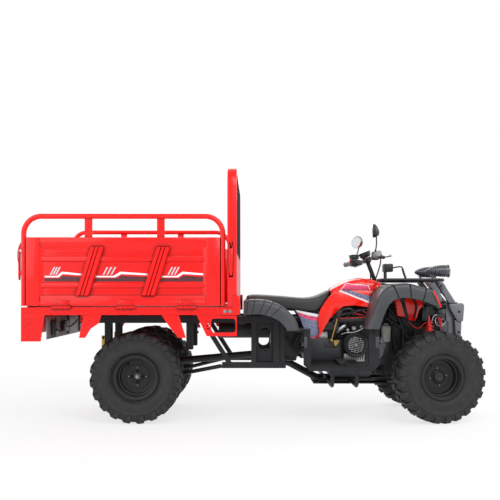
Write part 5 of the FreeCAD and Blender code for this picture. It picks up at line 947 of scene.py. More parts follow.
@dataclass
class BedTray(Area):
    """Chequer studs, tread bars, headboard, angle irons, latches and gates of the bed."""

    body: str = "cargo_bed"
    half: float = 0.6
    tail: float = -1.413
    skirt_high: float = 0.735
    stud_pitch: float = 0.0205
    stud_margin: float = 0.012
    stud_half: tuple[float, float] = (0.0115, 0.0038)
    stud_top: float = 0.62
    stud_proud: float = 0.0016
    skirt_rows: tuple[float, ...] = (0.702, 0.7215)
    iron_x: float = -0.235

    def stud(self, build: Builder, at: Vector, right: Vector, out: Vector, number: int) -> None:
        """Adds one diamond, turned the other way from its neighbours."""
        up = Vector((0, 0, 1))
        turn = 1 if number % 2 else -1
        long = (right + up * turn).normalized() * self.stud_half[0]
        short = (up - right * turn).normalized() * self.stud_half[1]
        base = [build.bm.verts.new(at + s) for s in (long, short, -long, -short)]
        if (base[1].co - base[0].co).cross(base[2].co - base[1].co).dot(out) < 0:
            base.reverse()
        raised = bmesh.ops.extrude_face_region(build.bm, geom=[build.bm.faces.new(base)])["geom"]
        for vert in only_verts(raised):
            vert.co = at + (vert.co - at) * self.stud_top + out * self.stud_proud

    def lozenges(self) -> None:
        """The raised diamonds of the chequer plate on every outer face."""
        build = self.piece("chequer_diamonds")
        pitch, first = self.stud_pitch, self.tail + self.stud_margin
        columns = math.ceil((self.iron_x - first) / pitch)
        for side in (1, -1):
            spots = [(first + column * pitch, z, row + column)
                     for row, z in enumerate(self.skirt_rows) for column in range(columns)]
            spots += [(self.tail + 0.014 + column * pitch, 0.5435 + row * pitch, row + column)
                      for row in range(7) for column in range(6 if row > 1 else 5)]
            for x, z, number in spots:
                self.stud(build, Vector((x, side * self.half, z)), Vector((1, 0, 0)),
                          Vector((0, side, 0)), number)
        for row, z in enumerate(self.skirt_rows):
            for column in range(int(self.half * 2 / pitch) - 1):
                at = Vector((self.tail, -self.half + 0.02 + column * pitch, z))
                self.stud(build, at, Vector((0, 1, 0)), Vector((-1, 0, 0)), row + column)
        build.done(BED_ENAMEL)

    def tread_floor(self) -> None:
        """Rows of raised bars on the load floor."""
        build = self.piece("floor_tread_bars")
        for y in spaced(-0.492, 0.082, 13):
            build.block((-1.34, y - 0.012, 0.7375), (-0.186, y + 0.012, 0.7405), 0.0012)
        build.block((-1.38, -0.566, 0.7352), (-1.342, 0.566, 0.7425), 0.001)
        build.done(BED_ENAMEL)

    def headboard(self) -> None:
        """The bent box-section arch with its sheet foot, rolled edges and mesh."""
        build = self.piece("headboard_arch")
        low, high, inner, corner = self.skirt_high, 1.592, 0.568, 0.12
        wall, sheet_top = self.half - inner, 1.06

        def bend(side: int, radius: float) -> list[tuple[float, float]]:
            """The spots of one rounded top corner, from its leg to the crown."""
            y, z = side * (self.half - corner), high - corner
            return [(y + side * radius * math.cos(turn), z + radius * math.sin(turn))
                    for turn in (step * math.pi / 18 for step in range(10))]

        outer = [(self.half, low), *bend(1, corner), *reversed(bend(-1, corner)), (-self.half, low)]
        hollow = [(-inner, low), *bend(-1, corner - wall), *reversed(bend(1, corner - wall)),
                  (inner, low)]
        build.prism(outer + hollow, -0.173, -0.116, 0.004, "YZ")
        build.block((-0.119, -inner - 0.002, low), (-0.116, inner + 0.002, sheet_top))
        build.block((-0.126, -inner, 1.046), (-0.1162, inner, 1.0598), 0.003)
        for z in (0.8, 0.88, 0.96):
            build.prism([(-0.119, z - 0.016), (-0.126, z - 0.01), (-0.126, z + 0.01),
                         (-0.119, z + 0.016)], -inner, inner)
        build.done(TUBE_ENAMEL, "headboard", "bed_red")
        mesh = self.piece("headboard_mesh")
        for y in spaced(-0.496, 0.992 / 13, 14):
            mesh.rod((-0.118, y, 1.058), (-0.118, y, 1.562), 0.002, sides=8)
        gap = (high - corner - sheet_top) / 7
        for z in spaced(sheet_top + gap, gap, 7):
            mesh.rod((-0.1215, -inner - 0.002, z), (-0.1215, inner + 0.002, z), 0.002, sides=8)
        mesh.done(FORGED_STEEL)

    def corner_irons(self) -> None:
        """The angle iron with two bolts at the headboard's foot, each side."""
        iron = self.piece("headboard_angle_iron")
        studs = self.piece("headboard_iron_bolts")
        y = self.half
        iron.prism([(-0.212, 0.69), (-0.098, 0.69), (-0.098, 0.806), (-0.141, 0.806), (-0.141, 0.735),
            (-0.212, 0.735)], y - 0.001, y + 0.004, 0.001)
        iron.block((-0.103, y - 0.04, 0.69), (-0.098, y + 0.003, 0.806), 0.001)
        for x in (-0.187, -0.156):
            studs.bolt((x, y + 0.004, 0.712), (0, 1, 0), 0.0075, 0.006)
        iron.mirrored().done(BED_ENAMEL)
        studs.mirrored().done(ZINC)

    def latches(self) -> None:
        """A slotted lever latch with its wire bail at the front end of each side gate."""
        middle = -0.151
        for side_name, side in SIDES:
            build = self.piece(f"gate_latch_{side_name}")
            bail = self.piece(f"gate_latch_bail_{side_name}")
            y = self.half - 0.006
            self.lever(build, middle, y + 0.008, 0.925, 1.09)
            build.block((-0.165, y, 0.915), (-0.137, y + 0.006, 1.13), 0.002)
            for x in (-0.163, -0.139):
                bail.pipe([(x, y + 0.01, 1.0), (x + 0.001, y + 0.016, 1.06),
                    (middle + (x - middle) * 0.4, y + 0.014, 1.122), (middle, y + 0.008, 1.136)],
                    0.0024)
            for made, finish in ((build, BED_ENAMEL), (bail, TUBE_ENAMEL)):
                if side < 0:
                    made.place(MIRROR)
                made.done(finish)

    @staticmethod
    def lever(build: Builder, x: float, y: float, low: float, high: float) -> None:
        """A pressed over-centre lever with a slot row."""
        build.prism([(x - 0.011, low + 0.03), (x - 0.006, low), (x + 0.006, low),
            (x + 0.011, low + 0.03), (x + 0.01, high), (x - 0.01, high)], y, y + 0.01, 0.002)
        for z in spaced(low + 0.04, 0.022, 5):
            build.block((x - 0.006, y + 0.009, z), (x + 0.006, y + 0.0115, z + 0.009), 0.0008)
        build.rod((x - 0.014, y + 0.004, high - 0.008), (x + 0.014, y + 0.004, high - 0.008),
                  0.0045)

    def tail_latches(self) -> None:
        """The tailgate's lever latches, one at each end."""
        build = Builder("tail_latch_levers", "tailgate")
        with build.placed(Matrix.Translation((-1.437, 0.538, 0)) @ turned(90, "Z")):
            self.lever(build, 0.0, 0.0, 0.9, 1.075)
            build.pipe([(-0.01, 0.004, 0.985), (-0.012, 0.016, 1.04), (-0.008, 0.008, 1.1),
                (0.0, -0.006, 1.134), (0.008, 0.008, 1.1), (0.012, 0.016, 1.04), (0.01, 0.004, 0.985)],
                0.0024)
        build.blocks(0.002, (-1.437, 0.527, 0.93), (-1.411, 0.549, 0.96), (-1.437, 0.527, 1.085),
            (-1.411, 0.549, 1.115))
        build.mirrored().done(BED_ENAMEL)

    def build(self) -> None:
        """Builds the bed's own pieces and its three gates."""
        self.lozenges()
        self.tread_floor()
        self.headboard()
        self.corner_irons()
        self.latches()
        self.tail_latches()
        for side_name, side in SIDES:
            face = Matrix.Translation((0, side * (self.half - Gate.thick), 0))
            if side < 0:
                face = face @ MIRROR
            Gate(f"side_gate_panel_{side_name}", f"side_gate_{side_name}", -1.3847, -0.2163,
                 (-1.091, -0.693), (-1.216, -0.827, -0.461), face).build()
            Stripes(side_name, face).build()
        end = Matrix.Translation((self.tail + Gate.thick, 0, 0)) @ turned(90, "Z")
        Gate("tailgate_panel", "tailgate", -0.558, 0.558, (-0.33, 0.15), (-0.425, 0.335),
             end).build()


# Bodywork


def smooth_line(points: Sequence[tuple[float, float]], shares: Sequence[float]) -> list[Vector]:
    """Spots at shares of the length of a smooth line through a few points.

    Args:
        points: the points of a plane that it goes through.
        shares: shares of its length, rising from 0 to 1.

    Returns:
        One spot for each share.
    """
    knots = [Vector((a, b, 0)) for a, b in points]
    ends = [knots[0] * 2 - knots[1], *knots, knots[-1] * 2 - knots[-2]]
    resolution = 17
    fine: list[Vector] = []
    for before, start, end, after in zip(ends, ends[1:], ends[2:], ends[3:]):
        lead, trail = start + (end - before) / 6, end - (after - start) / 6
        fine += interpolate_bezier(start, lead, trail, end, resolution)[:-1]
    fine.append(knots[-1])
    reach = [0.0]
    for first, second in zip(fine, fine[1:]):
        reach.append(reach[-1] + (second - first).length)
    spots, at = [], 0
    for part in shares:
        wanted = reach[-1] * part
        while at < len(reach) - 2 and reach[at + 1] < wanted:
            at += 1
        share = (wanted - reach[at]) / max(reach[at + 1] - reach[at], 1e-9)
        spots.append(fine[at].lerp(fine[at + 1], share))
    return spots


@dataclass(frozen=True)
class Flare:
    """A moulded mudguard: a crown that rolls over into a deep outer lip."""

    node: str
    corner: tuple[float, float]
    span: tuple[float, float]
    inner: float
    outer: float
    top_shares: tuple[tuple[float, float], ...]
    lip_shares: tuple[tuple[float, float], ...]
    grooves: tuple[float, ...]
    round_off: float = 0.03
    groove_deep: float = 0.009
    groove_half: float = 0.0052
    narrowing: float = 0.0
    narrow_share: float = 0.3
    steps: int = 72
    inset: float = 0.0025
    sheet: float = 0.003
    lip_wide: float = 0.012
    bulge_share: float = 0.62

    def shares(self) -> list[tuple[float, float]]:
        """Where the cross-sections stand along the flare, and how deep each is sunk."""
        half = self.groove_half
        spots = {number / self.steps: 0.0 for number in range(self.steps + 1)
                 if all(abs(number / self.steps - groove) > half * 2 for groove in self.grooves)}
        for groove in self.grooves:
            for side in (-1, 1):
                spots[groove + side * half * 1.3] = 0.0
                spots[groove + side * half] = self.groove_deep
        return sorted(spots.items())

    def line(self, knots: Sequence[tuple[float, float]]) -> list[Vector]:
        """A smooth line at shares of the flare's length and height."""
        (x, z), (length, height) = self.corner, self.span
        return smooth_line([(x + a * length, z + b * height) for a, b in knots],
                           [share for share, _ in self.shares()])

    def station(self, build: Builder, top: Vector, lip: Vector, sink: float, inner: float) -> list:
        """The open edge row of one cross-section, sunk where a groove runs."""
        down = (lip - top).normalized()
        crown = top + down * (sink + self.inset)
        edge = self.outer - 0.001 - sink
        row = [(crown, inner), (crown, (inner + edge) / 2), (crown, edge - self.round_off)]
        for turn in (0.25, 0.5, 0.75, 1.0):
            angle = turn * math.pi / 2
            row.append((crown + down * self.round_off * (1 - math.cos(angle)),
                        edge - self.round_off * (1 - math.sin(angle))))
        row += [(crown.lerp(lip, self.bulge_share), edge + 0.001), (lip, edge),
                (lip + down * 0.001, edge - self.lip_wide)]
        verts = [build.bm.verts.new((spot.x, y, spot.y)) for spot, y in row]
        return [build.bm.edges.new(pair) for pair in zip(verts, verts[1:])]

    def build(self) -> None:
        """Bridges the stations into a shell and gives it its thickness."""
        build = Builder(self.node + "_shell", "chassis")
        rows = []
        for top, lip, (share, sink) in zip(self.line(self.top_shares),
                                           self.line(self.lip_shares), self.shares()):
            inner = self.inner + self.narrowing * max(0.0, 1.0 - share / self.narrow_share)
            rows.append(self.station(build, top, lip, sink, inner))
        for first, second in zip(rows, rows[1:]):
            bmesh.ops.bridge_loops(build.bm, edges=first + second)
        bmesh.ops.recalc_face_normals(build.bm, faces=build.bm.faces)
        shell = bmesh.ops.extrude_face_region(build.bm, geom=list(build.bm.faces))["geom"]
        wheel_x, wheel_z = self.corner[0] + self.span[0] / 2, self.corner[1] - 0.2
        for vert in only_verts(shell):
            inward = Vector((wheel_x - vert.co.x, 0, wheel_z - vert.co.z)).normalized()
            vert.co += inward * self.sheet - Vector((0, self.inset, 0))
        build.mirrored().done(FLARE_PP, self.node, "flare_grey", smooth=50.0)


@dataclass
class Bodywork(Area):
    """Saddle, tank cover, side covers, mudguards and inner cowl."""

    seat_rows: tuple[Section, ...] = (Section(-0.068, 0.118, 0.715, 0.79, 0.7),
        Section(-0.055, 0.138, 0.7, 0.81, 0.6), Section(0.0, 0.146, 0.694, 0.813, 0.5),
        Section(0.11, 0.15, 0.702, 0.806, 0.42), Section(0.23, 0.15, 0.703, 0.797, 0.42),
        Section(0.33, 0.15, 0.691, 0.786, 0.42), Section(0.392, 0.148, 0.682, 0.797, 0.42),
        Section(0.418, 0.144, 0.69, 0.806, 0.45), Section(0.448, 0.137, 0.728, 0.819, 0.5),
        Section(0.476, 0.128, 0.772, 0.833, 0.55), Section(0.496, 0.112, 0.806, 0.845, 0.7))
    tank_rows: tuple[Section, ...] = (Section(0.497, 0.112, 0.76, 0.846, 0.7),
        Section(0.512, 0.124, 0.748, 0.858, 0.55), Section(0.56, 0.136, 0.7445, 0.882, 0.5),
        Section(0.61, 0.144, 0.7445, 0.906, 0.5), Section(0.665, 0.149, 0.7445, 0.921, 0.5),
        Section(0.724, 0.15, 0.7445, 0.927, 0.5), Section(0.78, 0.15, 0.7445, 0.917, 0.5),
        Section(0.83, 0.149, 0.7445, 0.897, 0.5), Section(0.875, 0.146, 0.7445, 0.872, 0.55),
        Section(0.893, 0.138, 0.7445, 0.858, 0.6))

    def seat(self) -> None:
        """The long saddle with its welts."""
        cushion = self.piece("saddle")
        cushion.loft(self.seat_rows, 40)
        cushion.done(SEAT_VINYL, "seat", "seat_vinyl", rounds=1)
        welt = self.piece("saddle_welts")
        for side in (1, -1):
            welt.pipe([(row.x, side * (row.half_width - 0.004),
                        row.low + (row.high - row.low) * 0.74) for row in self.seat_rows[1:-1]],
                      0.0022, order=4)
        welt.done(HOSE_RUBBER)

    def tank(self) -> None:
        """The crowned cover over the tank, its markings and the black scoop at its nose."""
        cover = self.piece("tank_shell")
        cover.loft(self.tank_rows, 40)
        shell = cover.done(BODY_ABS, "tank_cover", "body_red", smooth=60.0, rounds=1)
        wedge = (((0.556, 0.832), (-0.77, 0.64)), ((0.6, 0.886), (0.1, 1.0)),
            ((0.775, 0.8), (1.0, 0.35)), ((0.6, 0.8395), (0.0, -1.0)))
        self.skin_patch(shell, "tank_pale_outline", wedge, 0.0003, DECAL_PALE)
        inner = [((x - a * 0.004, z - b * 0.004), (a, b)) for (x, z), (a, b) in wedge[:3]]
        self.skin_patch(shell, "tank_pink_field", inner + [wedge[3]], 0.0006, DECAL_PINK)
        scoop = self.piece("tank_nose_scoop")
        scoop.loft([Section(0.8, 0.12, 0.842, 0.9, 0.6), Section(0.85, 0.135, 0.832, 0.893, 0.6),
            Section(0.905, 0.128, 0.826, 0.882, 0.6), Section(0.945, 0.1, 0.828, 0.866, 0.7)], 28)
        scoop.done(BLACK_NYLON, rounds=1)

    def skin_patch(self, thing: bpy.types.Object, name: str,
                   cuts: Sequence[tuple[tuple[float, float], tuple[float, float]]], proud: float,
                   finish: Finish) -> None:
        """A thin painted marking that follows a shell's sides.

        Args:
            thing: the shell it lies on.
            name: the marking's name.
            cuts: points of its outline's straight edges in X and Z, each with the way out.
            proud: how far it stands off the shell.
            finish: its finish.
        """
        build = self.piece(name)
        build.bm.from_object(thing, bpy.context.evaluated_depsgraph_get())
        for (x, z), (a, b) in cuts:
            bmesh.ops.bisect_plane(build.bm, geom=build.geom, plane_co=(x, 0, z),
                                   plane_no=(a, 0, b), clear_outer=True)
        crown_half = 0.09
        inside = [vert for vert in build.bm.verts if abs(vert.co.y) < crown_half]
        bmesh.ops.delete(build.bm, geom=inside, context="VERTS")
        build.bm.normal_update()
        for vert in build.bm.verts:
            vert.co += vert.normal * proud
        bmesh.ops.solidify(build.bm, geom=list(build.bm.faces), thickness=proud * 1.5)
        build.done(finish)

    def side_covers(self) -> None:
        """The swept red covers with their generic markings."""
        self.plates("side_cover_panels", BODY_ABS, 0.1503, 0.1575,
            [(0.402, 0.5115), (0.416, 0.5115), (0.455, 0.586), (0.492, 0.65), (0.545, 0.706),
            (0.585, 0.732), (0.652, 0.738), (0.767, 0.724), (0.835, 0.716), (0.858, 0.745),
            (0.845, 0.8), (0.8, 0.838), (0.56, 0.838), (0.505, 0.815), (0.462, 0.765), (0.428, 0.712),
            (0.415, 0.662), (0.415, 0.6), (0.422, 0.56)], bevel=0.0025, node="side_covers",
            slot="body_red")
        self.plates("side_cover_pale_lines", DECAL_PALE, 0.157, 0.1582,
            [(0.55, 0.838), (0.56, 0.829), (0.79, 0.738), (0.794, 0.748), (0.566, 0.838)])
        self.plates("side_cover_dark_wedge", DECAL_BLUE, 0.157, 0.1579,
            [(0.574, 0.8375), (0.79, 0.752), (0.806, 0.782), (0.77, 0.8), (0.69, 0.818),
            (0.63, 0.8375)])

    def under_seat(self) -> None:
        """The marked panels between the saddle and the side covers' tips."""
        self.plates("under_seat_panels", DECAL_BLUE, 0.14, 0.1475,
            [(0.262, 0.708), (0.424, 0.678), (0.422, 0.6), (0.43, 0.56), (0.404, 0.518), (0.345, 0.53),
            (0.315, 0.6), (0.29, 0.66)], bevel=0.002)
        self.plates("under_seat_pale_stripe", DECAL_PALE, 0.147, 0.1484,
            [(0.262, 0.708), (0.42, 0.678), (0.418, 0.66), (0.345, 0.672), (0.275, 0.695)])
        self.plates("under_seat_red_band", DECAL_PINK, 0.147, 0.1481,
            [(0.276, 0.694), (0.345, 0.671), (0.418, 0.659), (0.418, 0.632), (0.35, 0.648),
            (0.292, 0.668)], [(0.346, 0.527), (0.404, 0.516), (0.407, 0.524), (0.345, 0.536)])

    def cowl(self) -> None:
        """The red inner box over the nose with its strap and cable loop."""
        box = self.piece("inner_cowl")
        box.prism([(0.934, 0.7445), (1.1, 0.7445), (1.104, 0.79), (1.06, 0.842), (0.93, 0.838)], -0.157,
            0.157, 0.008)
        box.done(BODY_ABS, "front_cowl", "body_red")
        self.plates("inner_cowl_flanks", BODY_ABS, 0.112, 0.1585,
            [(0.926, 0.835), (0.926, 0.755), (0.94, 0.668), (0.985, 0.66), (1.02, 0.64), (1.055, 0.634),
            (1.07, 0.655), (1.085, 0.705), (1.112, 0.735), (1.108, 0.79), (1.06, 0.835)], bevel=0.008)
        strap = self.piece("cowl_strap_and_cables")
        for side in (1, -1):
            strap.prism([(0.962, 0.768), (0.986, 0.768), (1.016, 0.652), (0.996, 0.646)], side * 0.158,
                side * 0.1605, 0.0008)
            strap.prism([(0.958, 0.764), (0.99, 0.764), (0.992, 0.792), (0.96, 0.792)], side * 0.157,
                side * 0.163, 0.002)
            strap.pipe([(1.02, side * 0.15, 0.795), (1.048, side * 0.164, 0.782),
                (1.068, side * 0.166, 0.74), (1.06, side * 0.166, 0.69), (1.046, side * 0.16, 0.642),
                (1.04, side * 0.13, 0.622)], 0.0042)
        strap.done(HOSE_RUBBER)

    def flares(self) -> None:
        """The four mudguards and the red strip at the front pair's leading edge."""
        Flare("front_fenders", (0.675, 0.6), (0.472, 0.286), 0.1592, 0.5,
            ((0, 0), (0.12, 0.48), (0.19, 0.745), (0.3, 0.93), (0.52, 1.0), (0.73, 0.925), (0.88, 0.84),
            (1.0, 0.47)), ((0.18, 0), (0.235, 0.28), (0.318, 0.552), (0.434, 0.66), (0.56, 0.675),
            (0.75, 0.608), (0.98, 0.46)), (0.47, 0.62, 0.77), narrowing=0.22).build()
        Flare("rear_fenders", (-0.078, 0.59), (0.352, 0.194), 0.1505, 0.48,
            ((0, 0.96), (0.2, 1.0), (0.46, 0.95), (0.74, 0.72), (0.93, 0.34), (1, 0)),
            ((0, 0.5), (0.25, 0.52), (0.45, 0.46), (0.62, 0.32), (0.72, 0.15), (0.77, 0)),
            (0.06, 0.17, 0.31, 0.43, 0.56)).build()
        self.plates("front_flare_strips", BODY_ABS, 0.494, 0.5008,
            [(1.088, 0.836), (1.094, 0.838), (1.118, 0.79), (1.142, 0.736), (1.137, 0.733),
            (1.11, 0.788)])

    def build(self) -> None:
        """Builds all the bodywork."""
        self.seat()
        self.tank()
        self.side_covers()
        self.under_seat()
        self.cowl()
        self.flares()


# Engine bay


@dataclass
class EngineBay(Area):
    """The loose forms round the engine: grille, carburettor, boxes, hoses and lever."""

    fan: tuple[float, float, float] = (0.66, -0.2025, 0.479)
    fan_radius: float = 0.054
    fan_degrees: float = 12.0

    def fan_grille(self) -> None:
        """Alloy slats over the fan, with the centre bolt."""
        build = self.piece("fan_grille")
        for up in spaced(-4 * 0.0116, 0.0116, 9):
            half = math.sqrt(self.fan_radius ** 2 - up ** 2)
            build.block((-half, 0.0, up - 0.0014), (half, 0.004, up + 0.0014), 0.0006)
        for along in spaced(-2 * 0.0205, 0.0205, 5):
            half = math.sqrt(self.fan_radius ** 2 - along ** 2)
            build.block((along - 0.0011, 0.001, -half), (along + 0.0011, 0.005, half), 0.0004)
        build.rod((0, 0.004, 0), (0, -0.0005, 0), 0.009, 0.007, 20)
        build.place(Matrix.Translation(self.fan) @ turned(self.fan_degrees, "Y"))
        build.done(BARE_ALLOY)

    def alloy_parts(self) -> None:
        """The finned lower case, the carburettor's body and the intake elbow."""
        build = self.piece("alloy_castings")
        build.block((0.584, -0.176, 0.368), (0.722, -0.1, 0.42), 0.006)
        for x in spaced(0.592, 0.0145, 9):
            build.block((x, -0.182, 0.374), (x + 0.006, -0.172, 0.415), 0.0012)
        build.block((0.372, -0.12, 0.5), (0.482, -0.062, 0.566), 0.008)
        for x in (0.392, 0.43, 0.468):
            build.bolt((x, -0.12, 0.556), (0, -1, 0), 0.006, 0.005)
        build.pipe([(0.54, -0.104, 0.56), (0.552, -0.14, 0.566), (0.566, -0.15, 0.59),
            (0.592, -0.14, 0.602)], 0.013, 4)
        build.rod((0.652, -0.11, 0.585), (0.652, -0.158, 0.585), 0.015, 0.014, 24, 0.0015)
        build.rod((0.652, -0.157, 0.585), (0.652, -0.162, 0.585), 0.01, sides=6, bevel=0.001)
        build.rod((0.612, -0.12, 0.575), (0.612, -0.15, 0.575), 0.009, sides=18, bevel=0.001)
        build.rod((0.7, -0.122, 0.598), (0.7, -0.152, 0.598), 0.0075, sides=18, bevel=0.001)
        build.pipe([(0.57, -0.148, 0.545), (0.6, -0.156, 0.56), (0.64, -0.154, 0.556),
            (0.69, -0.15, 0.57), (0.735, -0.14, 0.6)], 0.0035)
        build.done(BARE_ALLOY)

    def air_box(self) -> None:
        """The long black intake tray, the filter box and the hoses over the engine."""
        tray = self.piece("intake_tray")
        tray.prism([(0.498, 0.626), (0.52, 0.65), (0.76, 0.658), (0.85, 0.652), (0.85, 0.634),
            (0.76, 0.632), (0.56, 0.626)], -0.149, -0.112, 0.003)
        tray.block((0.44, -0.142, 0.568), (0.556, -0.066, 0.628), 0.006)
        tray.pipe([(0.556, -0.14, 0.7), (0.59, -0.147, 0.716), (0.64, -0.147, 0.716),
            (0.66, -0.14, 0.694)], 0.0085)
        for at, run in ((0.6, 0.013), (0.668, -0.01), (0.726, 0.012)):
            tray.pipe([(at, -0.14, 0.655), (at + run, -0.148, 0.672), (at + run * 3, -0.144, 0.69),
                (at + run * 4, -0.132, 0.712)], 0.0055)
        for at in (0.59, 0.74):
            tray.pipe([(at, -0.14, 0.632), (at + 0.012, -0.147, 0.612),
                       (at + 0.006, -0.14, 0.588)], 0.007)
        tray.done(HOSE_RUBBER)
        line = self.piece("red_tray_line")
        line.pipe([(0.53, -0.1495, 0.651), (0.64, -0.1505, 0.656), (0.76, -0.1505, 0.66),
            (0.845, -0.149, 0.655)], 0.0022)
        for x, z in ((0.655, 0.694), (0.712, 0.704)):
            line.pipe([(x, -0.146, z), (x + 0.02, -0.149, z - 0.018), (x + 0.046, -0.148, z - 0.014),
                (x + 0.074, -0.142, z - 0.03)], 0.0024)
        line.pipe([(1.01, -0.17, 0.634), (1.03, -0.196, 0.612), (1.048, -0.2, 0.59),
            (1.08, -0.198, 0.588), (1.1, -0.19, 0.612), (1.122, -0.16, 0.622)], 0.0028)
        line.done(SPRING_RED)

    def shade_sheets(self) -> None:
        """Black sheets that close the bays behind the open parts: painted shade standing in for the
        dark inside of the machine.
        """
        shade_sheet = self.piece("bay_shade_sheets")
        shade_sheet.prism([(0.43, 0.585), (0.43, 0.728), (0.56, 0.742), (0.905, 0.742), (0.92, 0.64),
            (0.88, 0.52), (0.76, 0.52)], -0.06, 0.06, 0.006)
        shade_sheet.prism([(0.1, 0.36), (0.275, 0.36), (0.3, 0.47), (0.3, 0.655), (0.16, 0.655), (0.1, 0.6)],
            -0.046, 0.12, 0.008)
        shade_sheet.prism([(0.86, 0.38), (0.9, 0.742), (1.15, 0.742), (1.19, 0.64), (1.18, 0.56), (1.06, 0.5),
            (0.95, 0.4)], -0.08, 0.08, 0.006)
        for x in spaced(0.33, 0.022, 5):
            shade_sheet.block((x, -0.066, 0.56), (x + 0.01, 0.066, 0.68), 0.002)
        # Painted shade: the first box darkens the gap behind the winch
        shade_sheet.blocks(0.003, (1.15, 0.104, 0.548), (1.33, 0.112, 0.752), (0.3, -0.03, 0.48),
            (0.346, 0.03, 0.64), (0.43, -0.04, 0.486), (0.572, 0.04, 0.6), (0.885, -0.08, 0.715),
            (0.962, 0.08, 0.8), (1.1, -0.08, 0.735), (1.205, 0.08, 0.786), (0.742, -0.03, 0.4),
            (0.806, 0.03, 0.56))
        shade_sheet.done(BLACK_NYLON)
        tubes = self.piece("bay_tubes")
        for x1, z1, x2, z2, radius in ((0.866, 0.655, 1.023, 0.562, 0.013),
                (0.954, 0.662, 1.016, 0.52, 0.012), (0.905, 0.625, 0.936, 0.44, 0.011),
                (0.985, 0.6, 0.992, 0.43, 0.01), (0.88, 0.735, 1.0, 0.6, 0.008),
                (0.25, 0.46, 0.3, 0.56, 0.01), (0.205, 0.52, 0.29, 0.395, 0.008)):
            tubes.rod((x1, -0.108, z1), (x2, -0.102, z2), radius, bevel=0.001)
        tubes.mirrored().done(FORGED_STEEL)

    def lever(self) -> None:
        """The gear lever: a yellow plated rod and bracket under a blocky black knob."""
        rod = self.piece("gear_lever_rod")
        rod.rod((0.496, -0.215, 0.511), (0.543, -0.215, 0.684), 0.0048, sides=16)
        rod.rod((0.496, -0.1025, 0.511), (0.496, -0.222, 0.511), 0.0078, sides=20, bevel=0.001)
        rod.prism([(0.512, 0.508), (0.55, 0.51), (0.546, 0.498), (0.526, 0.468), (0.516, 0.476)],
            -0.199, -0.196, 0.001)
        rod.bolt((0.532, -0.199, 0.505), (0, -1, 0), 0.005, 0.004)
        rod.done(YELLOW_ZINC, "gear_lever", "zinc_steel")
        knob = self.piece("gear_lever_knob")
        knob.loft([Section(-0.042, 0.01, -0.011, 0.011, 0.6),
            Section(-0.014, 0.012, -0.014, 0.014, 0.5), Section(0.006, 0.0165, -0.019, 0.019, 0.5),
            Section(0.017, 0.016, -0.021, 0.017, 0.55), Section(0.022, 0.011, -0.016, 0.012, 0.8)],
            matrix=Matrix.Translation((0.546, -0.215, 0.686)) @ turned(-80, "Y"))
        knob.done(BLACK_NYLON, rounds=1)

    def heel_panels(self) -> None:
        """The black side panels behind the pegs, and the serrated footpegs."""
        panel = self.piece("heel_panels")
        panel.prism([(0.34, 0.366), (0.56, 0.366), (0.56, 0.44), (0.54, 0.508), (0.42, 0.52),
            (0.34, 0.52)], 0.172, 0.178, 0.002)
        panel.prism([(0.452, 0.462), (0.532, 0.462), (0.528, 0.496), (0.452, 0.502)], 0.177, 0.181,
            0.0015)
        panel.mirrored().done(HEEL_PP)
        pegs = self.piece("serrated_pegs")
        pegs.block((0.52, 0.18, 0.37), (0.572, 0.412, 0.38), 0.002)
        for y in spaced(0.188, 0.021, 11):
            pegs.block((0.519, y, 0.379), (0.573, y + 0.006, 0.388), 0.001)
        pegs.mirrored().done(POWDER_COAT)

    def bottle_and_cooler(self) -> None:
        """The grey expansion bottle and the oil cooler with its slanted fins."""
        bottle = self.piece("expansion_bottle")
        bottle.loft([Section(0.497, 0.021, -0.172, -0.12, 0.5), Section(0.506, 0.026, -0.178, -0.116),
            Section(0.56, 0.029, -0.18, -0.114), Section(0.596, 0.029, -0.18, -0.114),
            Section(0.604, 0.023, -0.174, -0.12, 0.5)], matrix=Matrix(((0, 1, 0, 0.866), (0, 0, 1, 0),
            (1, 0, 0, 0), (0, 0, 0, 1))))
        bottle.rod((0.866, -0.147, 0.603), (0.866, -0.147, 0.618), 0.013, sides=24, bevel=0.0015)
        bottle.done(TANK_PE)
        core = self.piece("oil_cooler_core")
        core.block((0.787, -0.16, 0.345), (0.88, -0.13, 0.488), 0.004)
        core.done(HOSE_RUBBER)
        fins = self.piece("oil_cooler_fins")
        for number in range(9):
            low = 0.352 + number * 0.0125
            fins.rod((0.794, -0.1625, low), (0.842 + number * 0.004, -0.1625, low + 0.066), 0.0014,
                     sides=6)
        fins.done(BARE_ALLOY)

    def build(self) -> None:
        """Builds everything round the engine."""
        self.shade_sheets()
        self.fan_grille()
        self.alloy_parts()
        self.air_box()
        self.lever()
        self.heel_panels()
        self.bottle_and_cooler()


# Controls


